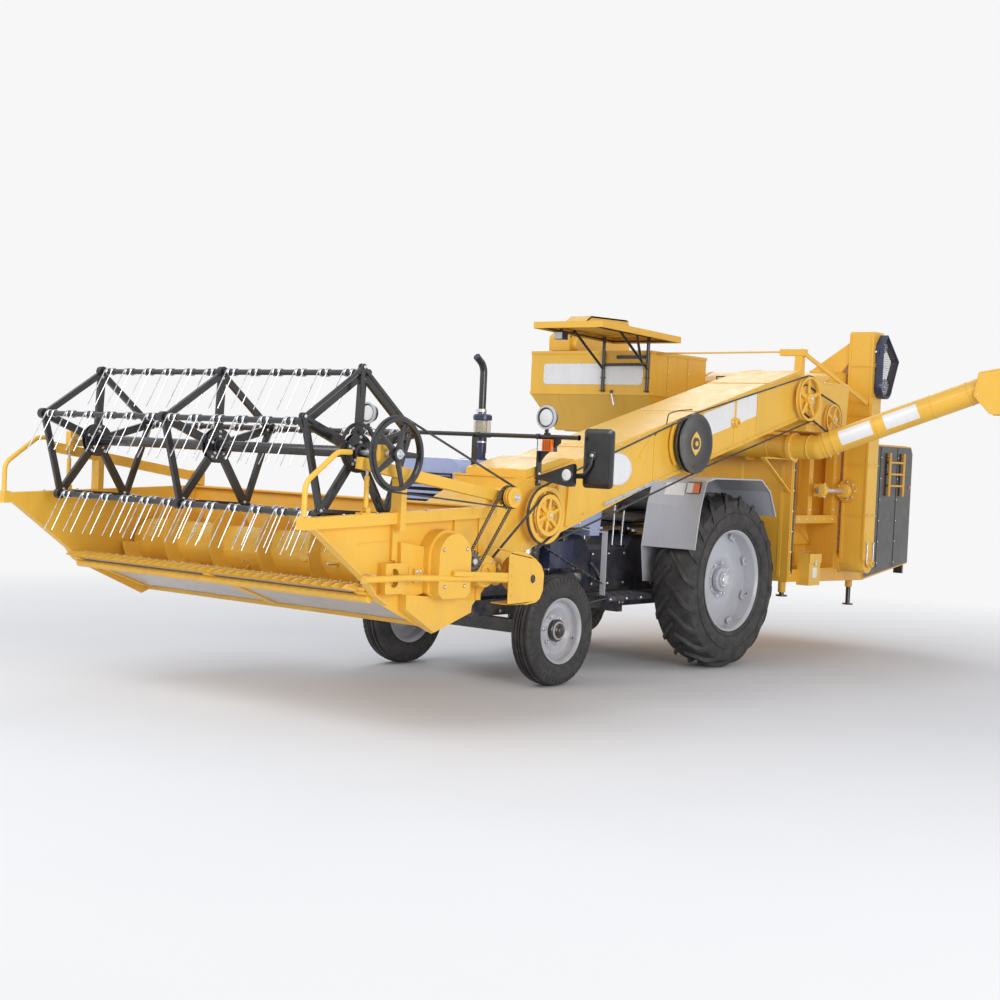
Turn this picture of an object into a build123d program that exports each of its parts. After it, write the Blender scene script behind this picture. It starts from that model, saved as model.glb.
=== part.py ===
# Tractor-mounted combine harvester: a farm tractor that carries a header, a feeder house, a
# grain tank and a threshing unit. All sizes are in millimetres.
# X runs forward, Y to the machine's left, Z up. Heights count from the ground. Lengths count
# from the rear axle and widths from the tractor's centre line, unless a name says otherwise.
import os
from math import acos, atan2, cos, hypot, pi, radians, sin

from build123d import *

os.makedirs("parts", exist_ok=True)

# Place of the rear axle and the tractor's centre line in the part's frame
REAR_AXLE_X = -1030.0
MID_Y = -653.5

# Clearances
SEAT = 0.3
RUNNING = 1.0
SHEET = 5.0

# Wheels
WHEELBASE = 1910.0
FRONT_TRACK = 1345.0
REAR_TRACK = 1470.0
FRONT_TYRE_D = 740.0
FRONT_TYRE_W = 155.0
FRONT_RIM_D = 440.0
REAR_TYRE_D = 1310.0
REAR_TYRE_W = 345.0
REAR_RIM_D = 760.0
REAR_LUG_H = 36.0
FRONT_AXLE_Z = FRONT_TYRE_D / 2
REAR_AXLE_Z = REAR_TYRE_D / 2

# Header
HEADER_LEFT = 1340.0
HEADER_W = 2500.0
HEADER_RIGHT = HEADER_LEFT - HEADER_W
HEADER_BACK_X = 3450.0
CUTTER_X = 4400.0
CUTTER_Z = 800.0
RAIL_FRONT_X = 4920.0
RAIL_FRONT_Z = 1165.0
RAIL_BACK_Z = 1228.0
RAIL = 55.0
AUGER_X = 3830.0
AUGER_Z = 865.0
AUGER_TUBE_D = 300.0
AUGER_FLIGHT_D = 500.0
TROUGH_R = AUGER_FLIGHT_D / 2 + 25.0
FINGER_PITCH = 76.2

# Reel
REEL_X = 4390.0
REEL_Z = 1500.0
REEL_R = 418.0
REEL_LEFT = 1236.0
REEL_W = 2250.0
REEL_BARS = 5
REEL_PHASE = -2.3
REEL_TUBE_D = 60.0
BAR_D = 32.0
TINE_L = 250.0
TINE_LEAN = 28.0
TINE_WIRE = 7.0
REEL_PULLEY_D = 380.0
CAGE_DX = 55.0
CAGE_DZ = 25.0
ARM_PIVOT_X = 3430.0
ARM_PIVOT_Z = 1285.0
ARM_W = 50.0

# Feeder house
FEEDER_LEFT = 1180.0
FEEDER_W = 500.0
FEEDER_FRONT_X = 2890.0
FEEDER_BACK_X = -480.0
FEEDER_SLOPE = 0.2685
FEEDER_TOP_Z = 1588.0
FEEDER_TOP_X = 2129.0
FEEDER_DEPTH = 375.0
LIFT_X = -390.0
LIFT_Z = 2040.0

# Grain tank
TANK_FRONT_X = -300.0
TANK_L = 830.0
TANK_LEFT = -144.0
TANK_W = 1210.0
TANK_TOP_Z = 2405.0
TANK_KNEE_Z = 2045.0
TANK_BOTTOM_Z = 1745.0

# Threshing unit
BODY_FRONT_X = -(REAR_TYRE_D / 2 + 75.0)
BODY_BACK_X = -2860.0
BODY_LEFT = 940.0
BODY_W = 1700.0
BODY_RIGHT = BODY_LEFT - BODY_W
BODY_FLOOR_Z = 600.0
BODY_TOP_Z = 1744.7
DRUM_X = -1480.0
DRUM_Z = 1975.0
DRUM_R = 330.0

# Elevator
ELEVATOR_X = -1500.0
ELEVATOR_L = 160.0
ELEVATOR_RIGHT = 985.0
ELEVATOR_W = 215.0
ELEVATOR_FOOT_Z = 680.0
ELEVATOR_TOP_Z = 2640.0
GUARD_X = ELEVATOR_X - 120.0
GUARD_Z = 2200.0

# Unloading auger
SPOUT_X = -600.0
SPOUT_Z = 1680.0
SPOUT_TUBE_D = 180.0
SPOUT_RING_Y = 1010.0
SPOUT_ELBOW_Y = 1225.0
SPOUT_L = 1290.0
SPOUT_SIDE_DEG = 27.0
SPOUT_TURN_DEG = 55.0


def place(x, y, z):
    "point of the part's frame for a place counted from the rear axle and the centre line"
    return Vector(REAR_AXLE_X + x, MID_Y + y, z)


def side(y):
    "upright plane along the machine: local x forward, local y up, extrusion to the right"
    return Plane(origin=place(0, y, 0), x_dir=(1, 0, 0), z_dir=(0, -1, 0))


def front(x):
    "upright plane across the machine: local x to the left, local y up, extrusion forward"
    return Plane(origin=place(x, 0, 0), x_dir=(0, 1, 0), z_dir=(1, 0, 0))


def level(z):
    "plane parallel to the ground: local x forward, local y to the left, extrusion up"
    return Plane(origin=place(0, 0, z), x_dir=(1, 0, 0), z_dir=(0, 0, 1))


def block(x, y, z, mode=Mode.ADD):
    "box between the pairs x, y and z"
    with BuildSketch(level(z[0])) as outline:
        with Locations(((x[0] + x[1]) / 2, (y[0] + y[1]) / 2)):
            Rectangle(x[1] - x[0], y[1] - y[0])
    extrude(outline.sketch, amount=z[1] - z[0], mode=mode)


def plate(points, left, width, mode=Mode.ADD):
    "profile of (x, z) corners, from its left face over its width to the right"
    with BuildSketch(side(left)) as outline:
        with BuildLine():
            Polyline(*points, close=True)
        make_face()
    extrude(outline.sketch, amount=width, mode=mode)


def disc(centre, left, width, radius, hole=0.0, mode=Mode.ADD):
    "round plate or tube about a crosswise axis through centre (x, z)"
    with BuildSketch(side(left)) as ring:
        with Locations(centre):
            Circle(radius)
            if hole:
                Circle(hole, mode=Mode.SUBTRACT)
    extrude(ring.sketch, amount=width, mode=mode)


def rod(a, b, radius, hole=0.0, mode=Mode.ADD):
    "round bar or tube between two places"
    start, end = place(*a), place(*b)
    with BuildSketch(Plane(origin=start, z_dir=end - start)) as ring:
        Circle(radius)
        if hole:
            Circle(hole, mode=Mode.SUBTRACT)
    extrude(ring.sketch, amount=(end - start).length, mode=mode)


def beam(a, b, width, height, across=(0, 1, 0)):
    "rectangular bar between two places, its width measured along across"
    start, end = place(*a), place(*b)
    with BuildSketch(Plane(origin=start, x_dir=across, z_dir=end - start)) as section:
        Rectangle(width, height)
    extrude(section.sketch, amount=(end - start).length)


def pipe(points, radius, bend):
    "bent round bar through places, with bends of one radius"
    with BuildLine() as path:
        FilletPolyline(*[place(*p) for p in points], radius=bend)
    with BuildSketch(Plane(origin=path.line @ 0, z_dir=path.line % 0)) as ring:
        Circle(radius)
    sweep(ring.sketch, path=path.line)


def band(points, thick):
    "closed outline of a folded sheet: the (x, z) corners and the same moved to their right by thick"
    moved = []
    for i, (x, z) in enumerate(points):
        before = points[i - 1] if i else None
        after = points[i + 1] if i + 1 < len(points) else None
        angles = [atan2(q[1] - p[1], q[0] - p[0])
                  for p, q in ((before, (x, z)), ((x, z), after)) if p is not None and q is not None]
        turn = (angles[-1] - angles[0] + pi) % (2 * pi) - pi
        middle = angles[0] + turn / 2
        reach = thick / cos(turn / 2)
        moved.append((x + reach * sin(middle), z - reach * cos(middle)))
    return list(points) + moved[::-1]


def belt_loop(circles, left, width, thick):
    "belt round two or more circles (x, z, radius), listed so that its outer side turns left"
    outline = []
    for (xa, za, ra), (xb, zb, rb) in zip(circles, circles[1:] + circles[:1]):
        run = atan2(zb - za, xb - xa)
        normal = run - acos((ra - rb) / hypot(xb - xa, zb - za))
        outline.append((normal, (xa, za, ra), (xb, zb, rb)))
    for grow, mode in ((thick, Mode.ADD), (0.0, Mode.SUBTRACT)):
        with BuildSketch(side(left)) as loop:
            with BuildLine():
                for i, (normal, (xa, za, ra), (xb, zb, rb)) in enumerate(outline):
                    start = (xa + (ra + grow) * cos(normal), za + (ra + grow) * sin(normal))
                    end = (xb + (rb + grow) * cos(normal), zb + (rb + grow) * sin(normal))
                    Line(start, end)
                    after = outline[(i + 1) % len(outline)][0]
                    sweep_by = (after - normal) % (2 * pi)
                    middle = normal + sweep_by / 2
                    ThreePointArc(end, (xb + (rb + grow) * cos(middle), zb + (rb + grow) * sin(middle)),
                                  (xb + (rb + grow) * cos(after), zb + (rb + grow) * sin(after)))
            make_face()
        extrude(loop.sketch, amount=width, mode=mode)


def arc_plate(centre, r_in, r_out, start, end, left, width, mode=Mode.ADD):
    "curved sheet about a crosswise axis through centre (x, z), between two angles"
    with BuildSketch(side(left)) as outline:
        with BuildLine():
            CenterArc(centre, r_out, start, end - start)
            if r_in:
                CenterArc(centre, r_in, start, end - start)
            for angle in (start, end):
                w = (cos(radians(angle)), sin(radians(angle)))
                Line((centre[0] + r_in * w[0], centre[1] + r_in * w[1]),
                     (centre[0] + r_out * w[0], centre[1] + r_out * w[1]))
        make_face()
    extrude(outline.sketch, amount=width, mode=mode)


def finish(builder, name):
    "labels a finished piece and writes it"
    builder.part.label = name
    export_step(builder.part, f"parts/{name}.step")


def feeder_top(x):
    return FEEDER_TOP_Z + FEEDER_SLOPE * (FEEDER_TOP_X - x)


# Wheels: a tyre with a hollow carcass on a dished rim with its hub
# name, axle x, axle z, centre y, side (+1 left), tyre diameter, tyre width, rim diameter
WHEELS = [
    ("front_left", WHEELBASE, FRONT_AXLE_Z, FRONT_TRACK / 2, 1, FRONT_TYRE_D, FRONT_TYRE_W, FRONT_RIM_D),
    ("front_right", WHEELBASE, FRONT_AXLE_Z, -FRONT_TRACK / 2, -1, FRONT_TYRE_D, FRONT_TYRE_W, FRONT_RIM_D),
    ("rear_left", 0.0, REAR_AXLE_Z, REAR_TRACK / 2, 1, REAR_TYRE_D, REAR_TYRE_W, REAR_RIM_D),
    ("rear_right", 0.0, REAR_AXLE_Z, -REAR_TRACK / 2, -1, REAR_TYRE_D, REAR_TYRE_W, REAR_RIM_D),
]
HUB_R = 95.0
SPINDLE_R = 24.0


def turned(points, x, y, z, out):
    "solid of revolution about a wheel's axle from (radius, offset outward) corners"
    plane = Plane(origin=place(x, y, z), x_dir=(1, 0, 0), z_dir=(0, 0, 1))
    with BuildSketch(plane) as half:
        with BuildLine():
            Polyline(*[(r, out * w) for r, w in points], close=True)
        make_face()
    revolve(half.sketch, axis=Axis(place(x, y, z), (0, 1, 0)))


for name, x, z, y, out, tyre_d, tyre_w, rim_d in WHEELS:
    tyre_r, rim_r, half_w = tyre_d / 2, rim_d / 2, tyre_w / 2
    bead_r = rim_r - 14
    shoulder = half_w * 0.84
    wall = 16.0 + 0.03 * tyre_d
    with BuildPart() as tyre:
        turned([
            (bead_r, -half_w * 0.80), (rim_r + 2, -half_w * 0.80), (rim_r + 10, -half_w * 0.88),
            ((rim_r + tyre_r) / 2, -half_w),
            (tyre_r - 30, -shoulder), (tyre_r, -half_w * 0.62), (tyre_r, half_w * 0.62),
            (tyre_r - 30, shoulder), ((rim_r + tyre_r) / 2, half_w), (rim_r + 10, half_w * 0.88),
            (rim_r + 2, half_w * 0.80),
            (bead_r, half_w * 0.80), (bead_r, half_w * 0.80 - 16), (tyre_r - wall, half_w * 0.6),
            (tyre_r - wall, -half_w * 0.6), (bead_r, -half_w * 0.80 + 16),
        ], x, y, z, out)
    finish(tyre, f"tyre_{name}")

    seat_r = bead_r - SEAT
    disc_w = half_w * 0.20
    hub_in = 60 if x == 0 else 36
    with BuildPart() as rim:
        turned([
            (rim_r, half_w * 0.80 + 14), (rim_r, half_w * 0.80 + SEAT), (seat_r, half_w * 0.80 + SEAT),
            (seat_r, -half_w * 0.80 - SEAT), (rim_r, -half_w * 0.80 - SEAT), (rim_r, -half_w * 0.80 - 14),
            (rim_r - 6, -half_w * 0.80 - 14), (seat_r - 9, -half_w * 0.80 + 6),
            (seat_r - 9, disc_w - 8), (HUB_R + 60, disc_w + 6), (HUB_R + 12, disc_w - 30),
            (HUB_R, disc_w - 30), (HUB_R, disc_w - hub_in), (SPINDLE_R + RUNNING, disc_w - hub_in),
            (SPINDLE_R + RUNNING, disc_w + 40), (60, disc_w + 40), (68, disc_w), (HUB_R + 8, disc_w - 18),
            (HUB_R + 60, disc_w + 18), (seat_r - 9, disc_w + 4), (seat_r - 9, half_w * 0.80 - 6),
            (rim_r - 6, half_w * 0.80 + 14),
        ], x, y, z, out)
    finish(rim, f"rim_{name}")

# Transaxle: bell housing, gearbox, rear centre housing, trumpet housings and wheel spindles
REAR_HUB_Y = REAR_TRACK / 2 + REAR_TYRE_W * 0.1
with BuildPart() as transaxle:
    with BuildSketch(side(190)) as casting:
        with BuildLine():
            Polyline((-260, 480), (-300, 620), (-300, 860), (-200, 950), (300, 950), (380, 880), (900, 880),
                     (960, 960), (1150, 960), (1150, 500), (960, 500), (900, 540), (360, 540), (280, 470),
                     close=True)
        make_face()
    extrude(casting.sketch, amount=380)
    chamfer(transaxle.edges().filter_by(Axis.X), length=30)
    # trumpet steps: inner end, outer end, radius
    for y0, y1, radius in ((150, 520, 80), (520, 545, 115), (545, REAR_HUB_Y - 62, 45),
                           (REAR_HUB_Y - 62, REAR_HUB_Y + 30, SPINDLE_R)):
        for out in (1, -1):
            rod((0, out * y0, REAR_AXLE_Z), (0, out * y1, REAR_AXLE_Z), radius)
finish(transaxle, "transaxle")

# Engine block
with BuildPart() as engine:
    block((1150 + SEAT, 1800), (-200, 200), (560 + SEAT, 1200))
finish(engine, "engine")

# Main frame: front bolster with radiator and tow lugs, side members, cross members, footboards
TOW_X = 2440.0
TOW_Z = 480.0
TOW_BORE_R = 13.0
FRAME_Y = 330.0
FRAME_W = 60.0
FRAME_Z = (445.0, 545.0)
FRAME_BACK_X = -(REAR_TYRE_D / 2 + 65.0)
FRAME_FRONT_X = 2330.0
LIFT_BASE_X = 2370.0
LIFT_BASE_Z = 520.0
LIFT_BASE_Y = 230.0
LIFT_PIN_R = 14.0
BONNET_W = 560.0
BONNET_TOP_Z = 1480.0
BONNET_BOTTOM_Z = 1000.0
with BuildPart() as main_frame:
    plate([(1800 + SEAT, 560), (1800 + SEAT, 860), (2330, 860), (2360, 820), (2360, 600), (2330, 560)], 200, 400)
    block((2200, 2260), (-230, 230), (860, 1380))
    for left in (62, -34):
        plate([(2330, 620), (2430, 560), (2480, 510), (2470, 450), (2420, 440), (2310, 530)], left, 28)
    disc((TOW_X, TOW_Z), 70, 140, TOW_BORE_R, mode=Mode.SUBTRACT)
    block((2290, FRAME_FRONT_X), (SEAT + FRAME_W - FRAME_Y, FRAME_Y - FRAME_W - SEAT), FRAME_Z)
    block((2280, 2360), (-BONNET_W / 2, BONNET_W / 2), (855, BONNET_BOTTOM_Z - SEAT))
    for out in (1, -1):
        member = sorted((out * (FRAME_Y - FRAME_W), out * FRAME_Y))
        block((FRAME_BACK_X, FRAME_FRONT_X), member, FRAME_Z)
        block((BODY_FRONT_X + SEAT, FRAME_BACK_X + 60), member, (FRAME_Z[1] + SEAT, 1150))
        block((-60, 60), member, (FRAME_Z[1] + SEAT, REAR_AXLE_Z - 80 - SEAT))
        block((520, 1130), sorted((out * (FRAME_Y - 30), out * 560)), (FRAME_Z[1] + SEAT, FRAME_Z[1] + 6))
        block((520, 1130), sorted((out * 554, out * 560)), (FRAME_Z[1] - 30, FRAME_Z[1] + SEAT))
        for face in (LIFT_BASE_Y + 55, LIFT_BASE_Y - 37):
            plate([(2330 + SEAT, 470), (2330 + SEAT, 545), (LIFT_BASE_X, 552), (LIFT_BASE_X + 30, LIFT_BASE_Z),
                   (LIFT_BASE_X, 488)], face if out > 0 else -face + 18, 18)
        rod((LIFT_BASE_X, out * (LIFT_BASE_Y + 57), LIFT_BASE_Z), (LIFT_BASE_X, out * (LIFT_BASE_Y - 57), LIFT_BASE_Z),
            LIFT_PIN_R)
    half = FRAME_Y - FRAME_W - SEAT
    for x0, x1, z0, z1 in ((620, 680, 400, 445), (1290, 1350, 400, 445)):
        block((x0, x1), (-FRAME_Y, FRAME_Y), (z0, z1 - SEAT))
    block((FRAME_BACK_X, FRAME_BACK_X + 60), (-half, half), FRAME_Z)
finish(main_frame, "main_frame")

# Front axle: drop beam on a centre pivot with a kingpin eye at each end
KINGPIN_Y = FRONT_TRACK / 2 - 87.5
KINGPIN_R = 17.0
AXLE_EYE_R = 34.0
with BuildPart() as front_axle:
    with BuildSketch(front(WHEELBASE - 32)) as shape:
        with BuildLine():
            Polyline((-KINGPIN_Y, 440), (-KINGPIN_Y + 60, 440), (155 - KINGPIN_Y, 412), (KINGPIN_Y - 155, 412),
                     (KINGPIN_Y - 60, 440), (KINGPIN_Y, 440), (KINGPIN_Y, 330), (KINGPIN_Y - 60, 330),
                     (KINGPIN_Y - 155, 320), (155 - KINGPIN_Y, 320), (-KINGPIN_Y + 60, 330), (-KINGPIN_Y, 330),
                     close=True)
        make_face()
    extrude(shape.sketch, amount=64)
    for y in (KINGPIN_Y, -KINGPIN_Y):
        rod((WHEELBASE, y, 330), (WHEELBASE, y, 440), AXLE_EYE_R)
        rod((WHEELBASE, y, 300), (WHEELBASE, y, 470), KINGPIN_R + RUNNING, mode=Mode.SUBTRACT)
    block((WHEELBASE - 60, WHEELBASE + 60), (-90, 90), (412, 560 - SEAT))
finish(front_axle, "front_axle")

# Knuckles: kingpin, stub axle and steering arm
FRONT_HUB_Y = FRONT_TRACK / 2 + FRONT_TYRE_W * 0.1
for name, out in (("left", 1), ("right", -1)):
    with BuildPart() as knuckle:
        rod((WHEELBASE, out * KINGPIN_Y, 300), (WHEELBASE, out * KINGPIN_Y, 475), KINGPIN_R)
        block((WHEELBASE - 30, WHEELBASE + 30), sorted((out * (KINGPIN_Y + 36), out * (KINGPIN_Y + 56))), (296, 474))
        for z0 in (296, 446):
            block((WHEELBASE - 30, WHEELBASE + 30), sorted((out * (KINGPIN_Y - 30), out * (KINGPIN_Y + 50))),
                  (z0, z0 + 28))
        rod((WHEELBASE, out * (KINGPIN_Y + 50), FRONT_AXLE_Z), (WHEELBASE, out * (FRONT_HUB_Y + 20), FRONT_AXLE_Z),
            SPINDLE_R)
        beam((WHEELBASE, out * KINGPIN_Y, 460), (WHEELBASE - 170, out * (KINGPIN_Y - 40), 460), 20, 36,
             across=(0, 0, 1))
    finish(knuckle, f"knuckle_{name}")

# Bonnet: a rounded shell open at the bottom and the back, with grille slots in its nose
BONNET_BACK_X = 1000.0
BONNET_NOSE_X = 2460.0
BONNET_CORNER_R = 110.0
with BuildPart() as bonnet:
    for x0, x1, wall, mode in ((BONNET_BACK_X, BONNET_NOSE_X, 0, Mode.ADD),
                               (BONNET_BACK_X - 1, BONNET_NOSE_X - SHEET, SHEET, Mode.SUBTRACT)):
        half, top = BONNET_W / 2 - wall, BONNET_TOP_Z - wall
        with BuildSketch(front(x0)) as section:
            with BuildLine():
                foot = BONNET_BOTTOM_Z - (1 if wall else 0)
                Polyline((-half, foot), (-half, top), (half, top), (half, foot), close=True)
            make_face()
            fillet(section.vertices().sort_by(Axis.Y)[-2:], radius=BONNET_CORNER_R - wall)
        extrude(section.sketch, amount=x1 - x0, mode=mode)
    for i in range(8):
        z = 1060 + 40 * i
        block((BONNET_NOSE_X - SHEET - 1, BONNET_NOSE_X + 1), (-190, 190), (z, z + 22), mode=Mode.SUBTRACT)
finish(bonnet, "bonnet")

# Operator's station: cowl with the fuel tank, steering wheel and seat
with BuildPart() as operator_station:
    plate([(880, 960 + SEAT), (840, 1300), (900, BONNET_TOP_Z), (BONNET_BACK_X - SEAT, BONNET_TOP_Z),
           (BONNET_BACK_X - SEAT, 960 + SEAT)], BONNET_W / 2, BONNET_W)
    rod((880, 0, 1370), (690, 0, 1480), 26)
    with BuildSketch(Plane(origin=place(690, 0, 1480), z_dir=(-0.86, 0, 0.51))) as hand_wheel:
        Circle(210)
        Circle(186, mode=Mode.SUBTRACT)
        Rectangle(390, 24)
        Rectangle(24, 390)
        Circle(40)
    extrude(hand_wheel.sketch, amount=24)
    plate([(-40, 1010), (360, 1010), (370, 1100), (60, 1110), (-20, 1480), (-110, 1470), (-60, 1060)], 230, 460)
    block((80, 240), (-90, 90), (950 + SEAT, 1010))
finish(operator_station, "operator_station")

# Stacks on the bonnet: silencer with its bent outlet pipe, and the air cleaner
EXHAUST_X = 1760.0
EXHAUST_Y = -150.0
EXHAUST_TOP_Z = 2205.0
CLEANER_X = 2120.0
CLEANER_Y = 160.0
with BuildPart() as stacks:
    base = BONNET_TOP_Z + SEAT
    rod((EXHAUST_X, EXHAUST_Y, base), (EXHAUST_X, EXHAUST_Y, base + 40), 22, 19)
    rod((EXHAUST_X, EXHAUST_Y, base + 40), (EXHAUST_X, EXHAUST_Y, base + 330), 42, 19)
    pipe([(EXHAUST_X, EXHAUST_Y, base + 320), (EXHAUST_X, EXHAUST_Y, EXHAUST_TOP_Z - 90),
          (EXHAUST_X + 85, EXHAUST_Y, EXHAUST_TOP_Z)], 27, 60)
    # air cleaner: height above the bonnet from, to, radius
    for z0, z1, radius in ((0, 150, 30), (150, 180, 68), (180, 265, 55), (265, 310, 62)):
        rod((CLEANER_X, CLEANER_Y, base + z0), (CLEANER_X, CLEANER_Y, base + z1), radius)
finish(stacks, "stacks")

# Rear fenders: folded sheet over the wheel with an inner side sheet and its axle bracket
FENDER_OUT = 950.0
FENDER_IN = 490.0
ARCH = REAR_TYRE_D / 2 + 30.0
FENDER_PROFILE = [(ARCH * a, REAR_AXLE_Z + ARCH * b) for a, b in (
    (-0.73, 0.708), (-0.584, 0.985), (-0.38, 1.117), (0.584, 1.117), (0.759, 1.08), (0.854, 0.81), (0.934, 0.358))]
FENDER_FOOT = [(ARCH * a, REAR_AXLE_Z + ARCH * b) for a, b in (
    (0.876, -0.022), (0.482, -0.051), (-0.482, -0.051), (-0.657, 0.153))]
with BuildPart() as fenders:
    for out in (1, -1):
        top_left = FENDER_OUT if out > 0 else -FENDER_IN
        plate(band(FENDER_PROFILE, SHEET), top_left, FENDER_OUT - FENDER_IN)
        sheet_left = FENDER_IN if out > 0 else -FENDER_IN + SHEET
        plate(FENDER_PROFILE + FENDER_FOOT, sheet_left, SHEET)
        block((-60, 60), sorted((out * 440, out * (FENDER_IN - SHEET))), (REAR_AXLE_Z + 80 + SEAT, 790))
    disc((0, REAR_AXLE_Z), FENDER_IN + 10, 2 * FENDER_IN + 20, 80 + SEAT, mode=Mode.SUBTRACT)
finish(fenders, "fenders")

# Header: one welded trough of pan, back wall, beams and skids
PAN_T = 5.0
TROUGH_START = -62.0
TROUGH_END = -172.0
PAN_FRONT = (CUTTER_X + 20, CUTTER_Z - 16)
MOUTH = (700.0, 1000.0)


def on_trough(angle, radius=TROUGH_R):
    "(x, z) at an angle round the auger's axis"
    return (AUGER_X + radius * cos(radians(angle)), AUGER_Z + radius * sin(radians(angle)))


with BuildPart() as header_trough:
    inner, outer = TROUGH_R, TROUGH_R + PAN_T
    with BuildSketch(side(HEADER_LEFT - SHEET - SEAT)) as profile:
        with BuildLine():
            Line(PAN_FRONT, on_trough(TROUGH_START, inner))
            CenterArc((AUGER_X, AUGER_Z), inner, TROUGH_START, TROUGH_END - TROUGH_START)
            Polyline(on_trough(TROUGH_END, inner), (HEADER_BACK_X + PAN_T, RAIL_BACK_Z),
                     (HEADER_BACK_X, RAIL_BACK_Z), on_trough(TROUGH_END, outer))
            CenterArc((AUGER_X, AUGER_Z), outer, TROUGH_START, TROUGH_END - TROUGH_START)
            Polyline(on_trough(TROUGH_START, outer), (PAN_FRONT[0], PAN_FRONT[1] - PAN_T), PAN_FRONT)
        make_face()
    extrude(profile.sketch, amount=HEADER_W - 2 * SHEET - 2 * SEAT)
    for z0, z1 in ((RAIL_BACK_Z - 70, RAIL_BACK_Z), (1010, 1070)):
        block((HEADER_BACK_X - 60, HEADER_BACK_X + 1), (HEADER_RIGHT + SHEET + SEAT, HEADER_LEFT - SHEET - SEAT),
              (z0, z1))
    for y in (HEADER_RIGHT + 60, -560, -60, FEEDER_LEFT - FEEDER_W - 60, FEEDER_LEFT + 60):
        block((HEADER_BACK_X - 50, HEADER_BACK_X + 1), (y - 25, y + 25), (820, RAIL_BACK_Z - 70))
    for y in (LIFT_BASE_Y, -LIFT_BASE_Y):
        for face in (y + 48, y - 30):
            plate([(HEADER_BACK_X - 50, 1020), (HEADER_BACK_X - 50, 880), (3350, 900), (3350, 980)], face, 18)
    block((HEADER_BACK_X - 20, HEADER_BACK_X + 160), (FEEDER_LEFT - FEEDER_W + 30, FEEDER_LEFT - 30), MOUTH,
          mode=Mode.SUBTRACT)
finish(header_trough, "header_trough")

# Header sides: sheet, rail, divider strip, bow, arm pivot, arm rest and the adjuster's foot
SIDE_SHEET = [(RAIL_FRONT_X, RAIL_FRONT_Z), (4443, 829), (4385, 760), (4290, 705), (3880, 530), (3565, 655),
              (HEADER_BACK_X, 760), (HEADER_BACK_X, RAIL_BACK_Z)]
STRIP = SIDE_SHEET[:4]
ARM_OUT = 62.0
ARM_H = 60.0
ARM_FRONT = (4560.0, 1448.0)
PULLEY_Y = HEADER_LEFT + 160
ADJUSTER_OUT = 18.0
ADJUSTER_X = 4455.0
ADJUSTER_Z = 1205.0
ADJUSTER_EYE_Z = 1440.0
ADJUSTER_PIN_R = 5.0


def rail_top(x):
    return RAIL_FRONT_Z + (RAIL_BACK_Z - RAIL_FRONT_Z) * (RAIL_FRONT_X - x) / (RAIL_FRONT_X - HEADER_BACK_X)


def arm_under(x):
    "height of a reel arm's underside, less the seat"
    slope = (ARM_FRONT[1] - ARM_PIVOT_Z) / (ARM_FRONT[0] - ARM_PIVOT_X)
    return ARM_PIVOT_Z + slope * (x - ARM_PIVOT_X) - ARM_H / 2 * hypot(1, slope) - SEAT


with BuildPart() as header_sides:
    for out, face in ((1, HEADER_LEFT), (-1, HEADER_RIGHT)):
        plate(SIDE_SHEET, face if out > 0 else face + SHEET, SHEET)
        rail_left = face - SHEET + RAIL if out > 0 else face + SHEET
        rail = [(RAIL_FRONT_X, RAIL_FRONT_Z), (HEADER_BACK_X, RAIL_BACK_Z)]
        plate(rail + [(x, z - 60) for x, z in reversed(rail)], rail_left, RAIL)
        plate(band(STRIP, 8), rail_left, RAIL)
        y = face + out * 28
        pipe([(4900, y, rail_top(4900) - 2), (4900, y, 1340), (4680, y, 1500), (4590, y, 1500)], 14, 80)
        reach = PULLEY_Y + 24 - face if out > 0 else 100
        rod((ARM_PIVOT_X, face - out * SHEET, ARM_PIVOT_Z), (ARM_PIVOT_X, face + out * reach, ARM_PIVOT_Z), 18)
        plate([(3390, 1160), (3390, 1310), (3470, 1310), (3470, 1160)],
              face + 20 if out > 0 else face, 20)
        plate([(4205, 1100), (4205, arm_under(4205)), (4245, arm_under(4245)), (4245, 1100)],
              face + ARM_OUT + 10 if out > 0 else face, ARM_OUT + 10)
        block((4205, 4245), sorted((face, face + out * 20)), (940, 1110))
        block((ADJUSTER_X - 50, ADJUSTER_X + 50), sorted((face - out * SHEET, face + out * 45)), (1175, 1192))
        for ear in (ADJUSTER_OUT - 20, ADJUSTER_OUT + 14):
            block((ADJUSTER_X - 14, ADJUSTER_X + 14), sorted((face + out * ear, face + out * (ear + 6))),
                  (1190, ADJUSTER_Z + 12))
        rod((ADJUSTER_X, face + out * (ADJUSTER_OUT - 20), ADJUSTER_Z),
            (ADJUSTER_X, face + out * (ADJUSTER_OUT + 20), ADJUSTER_Z), ADJUSTER_PIN_R)
finish(header_sides, "header_sides")

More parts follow.
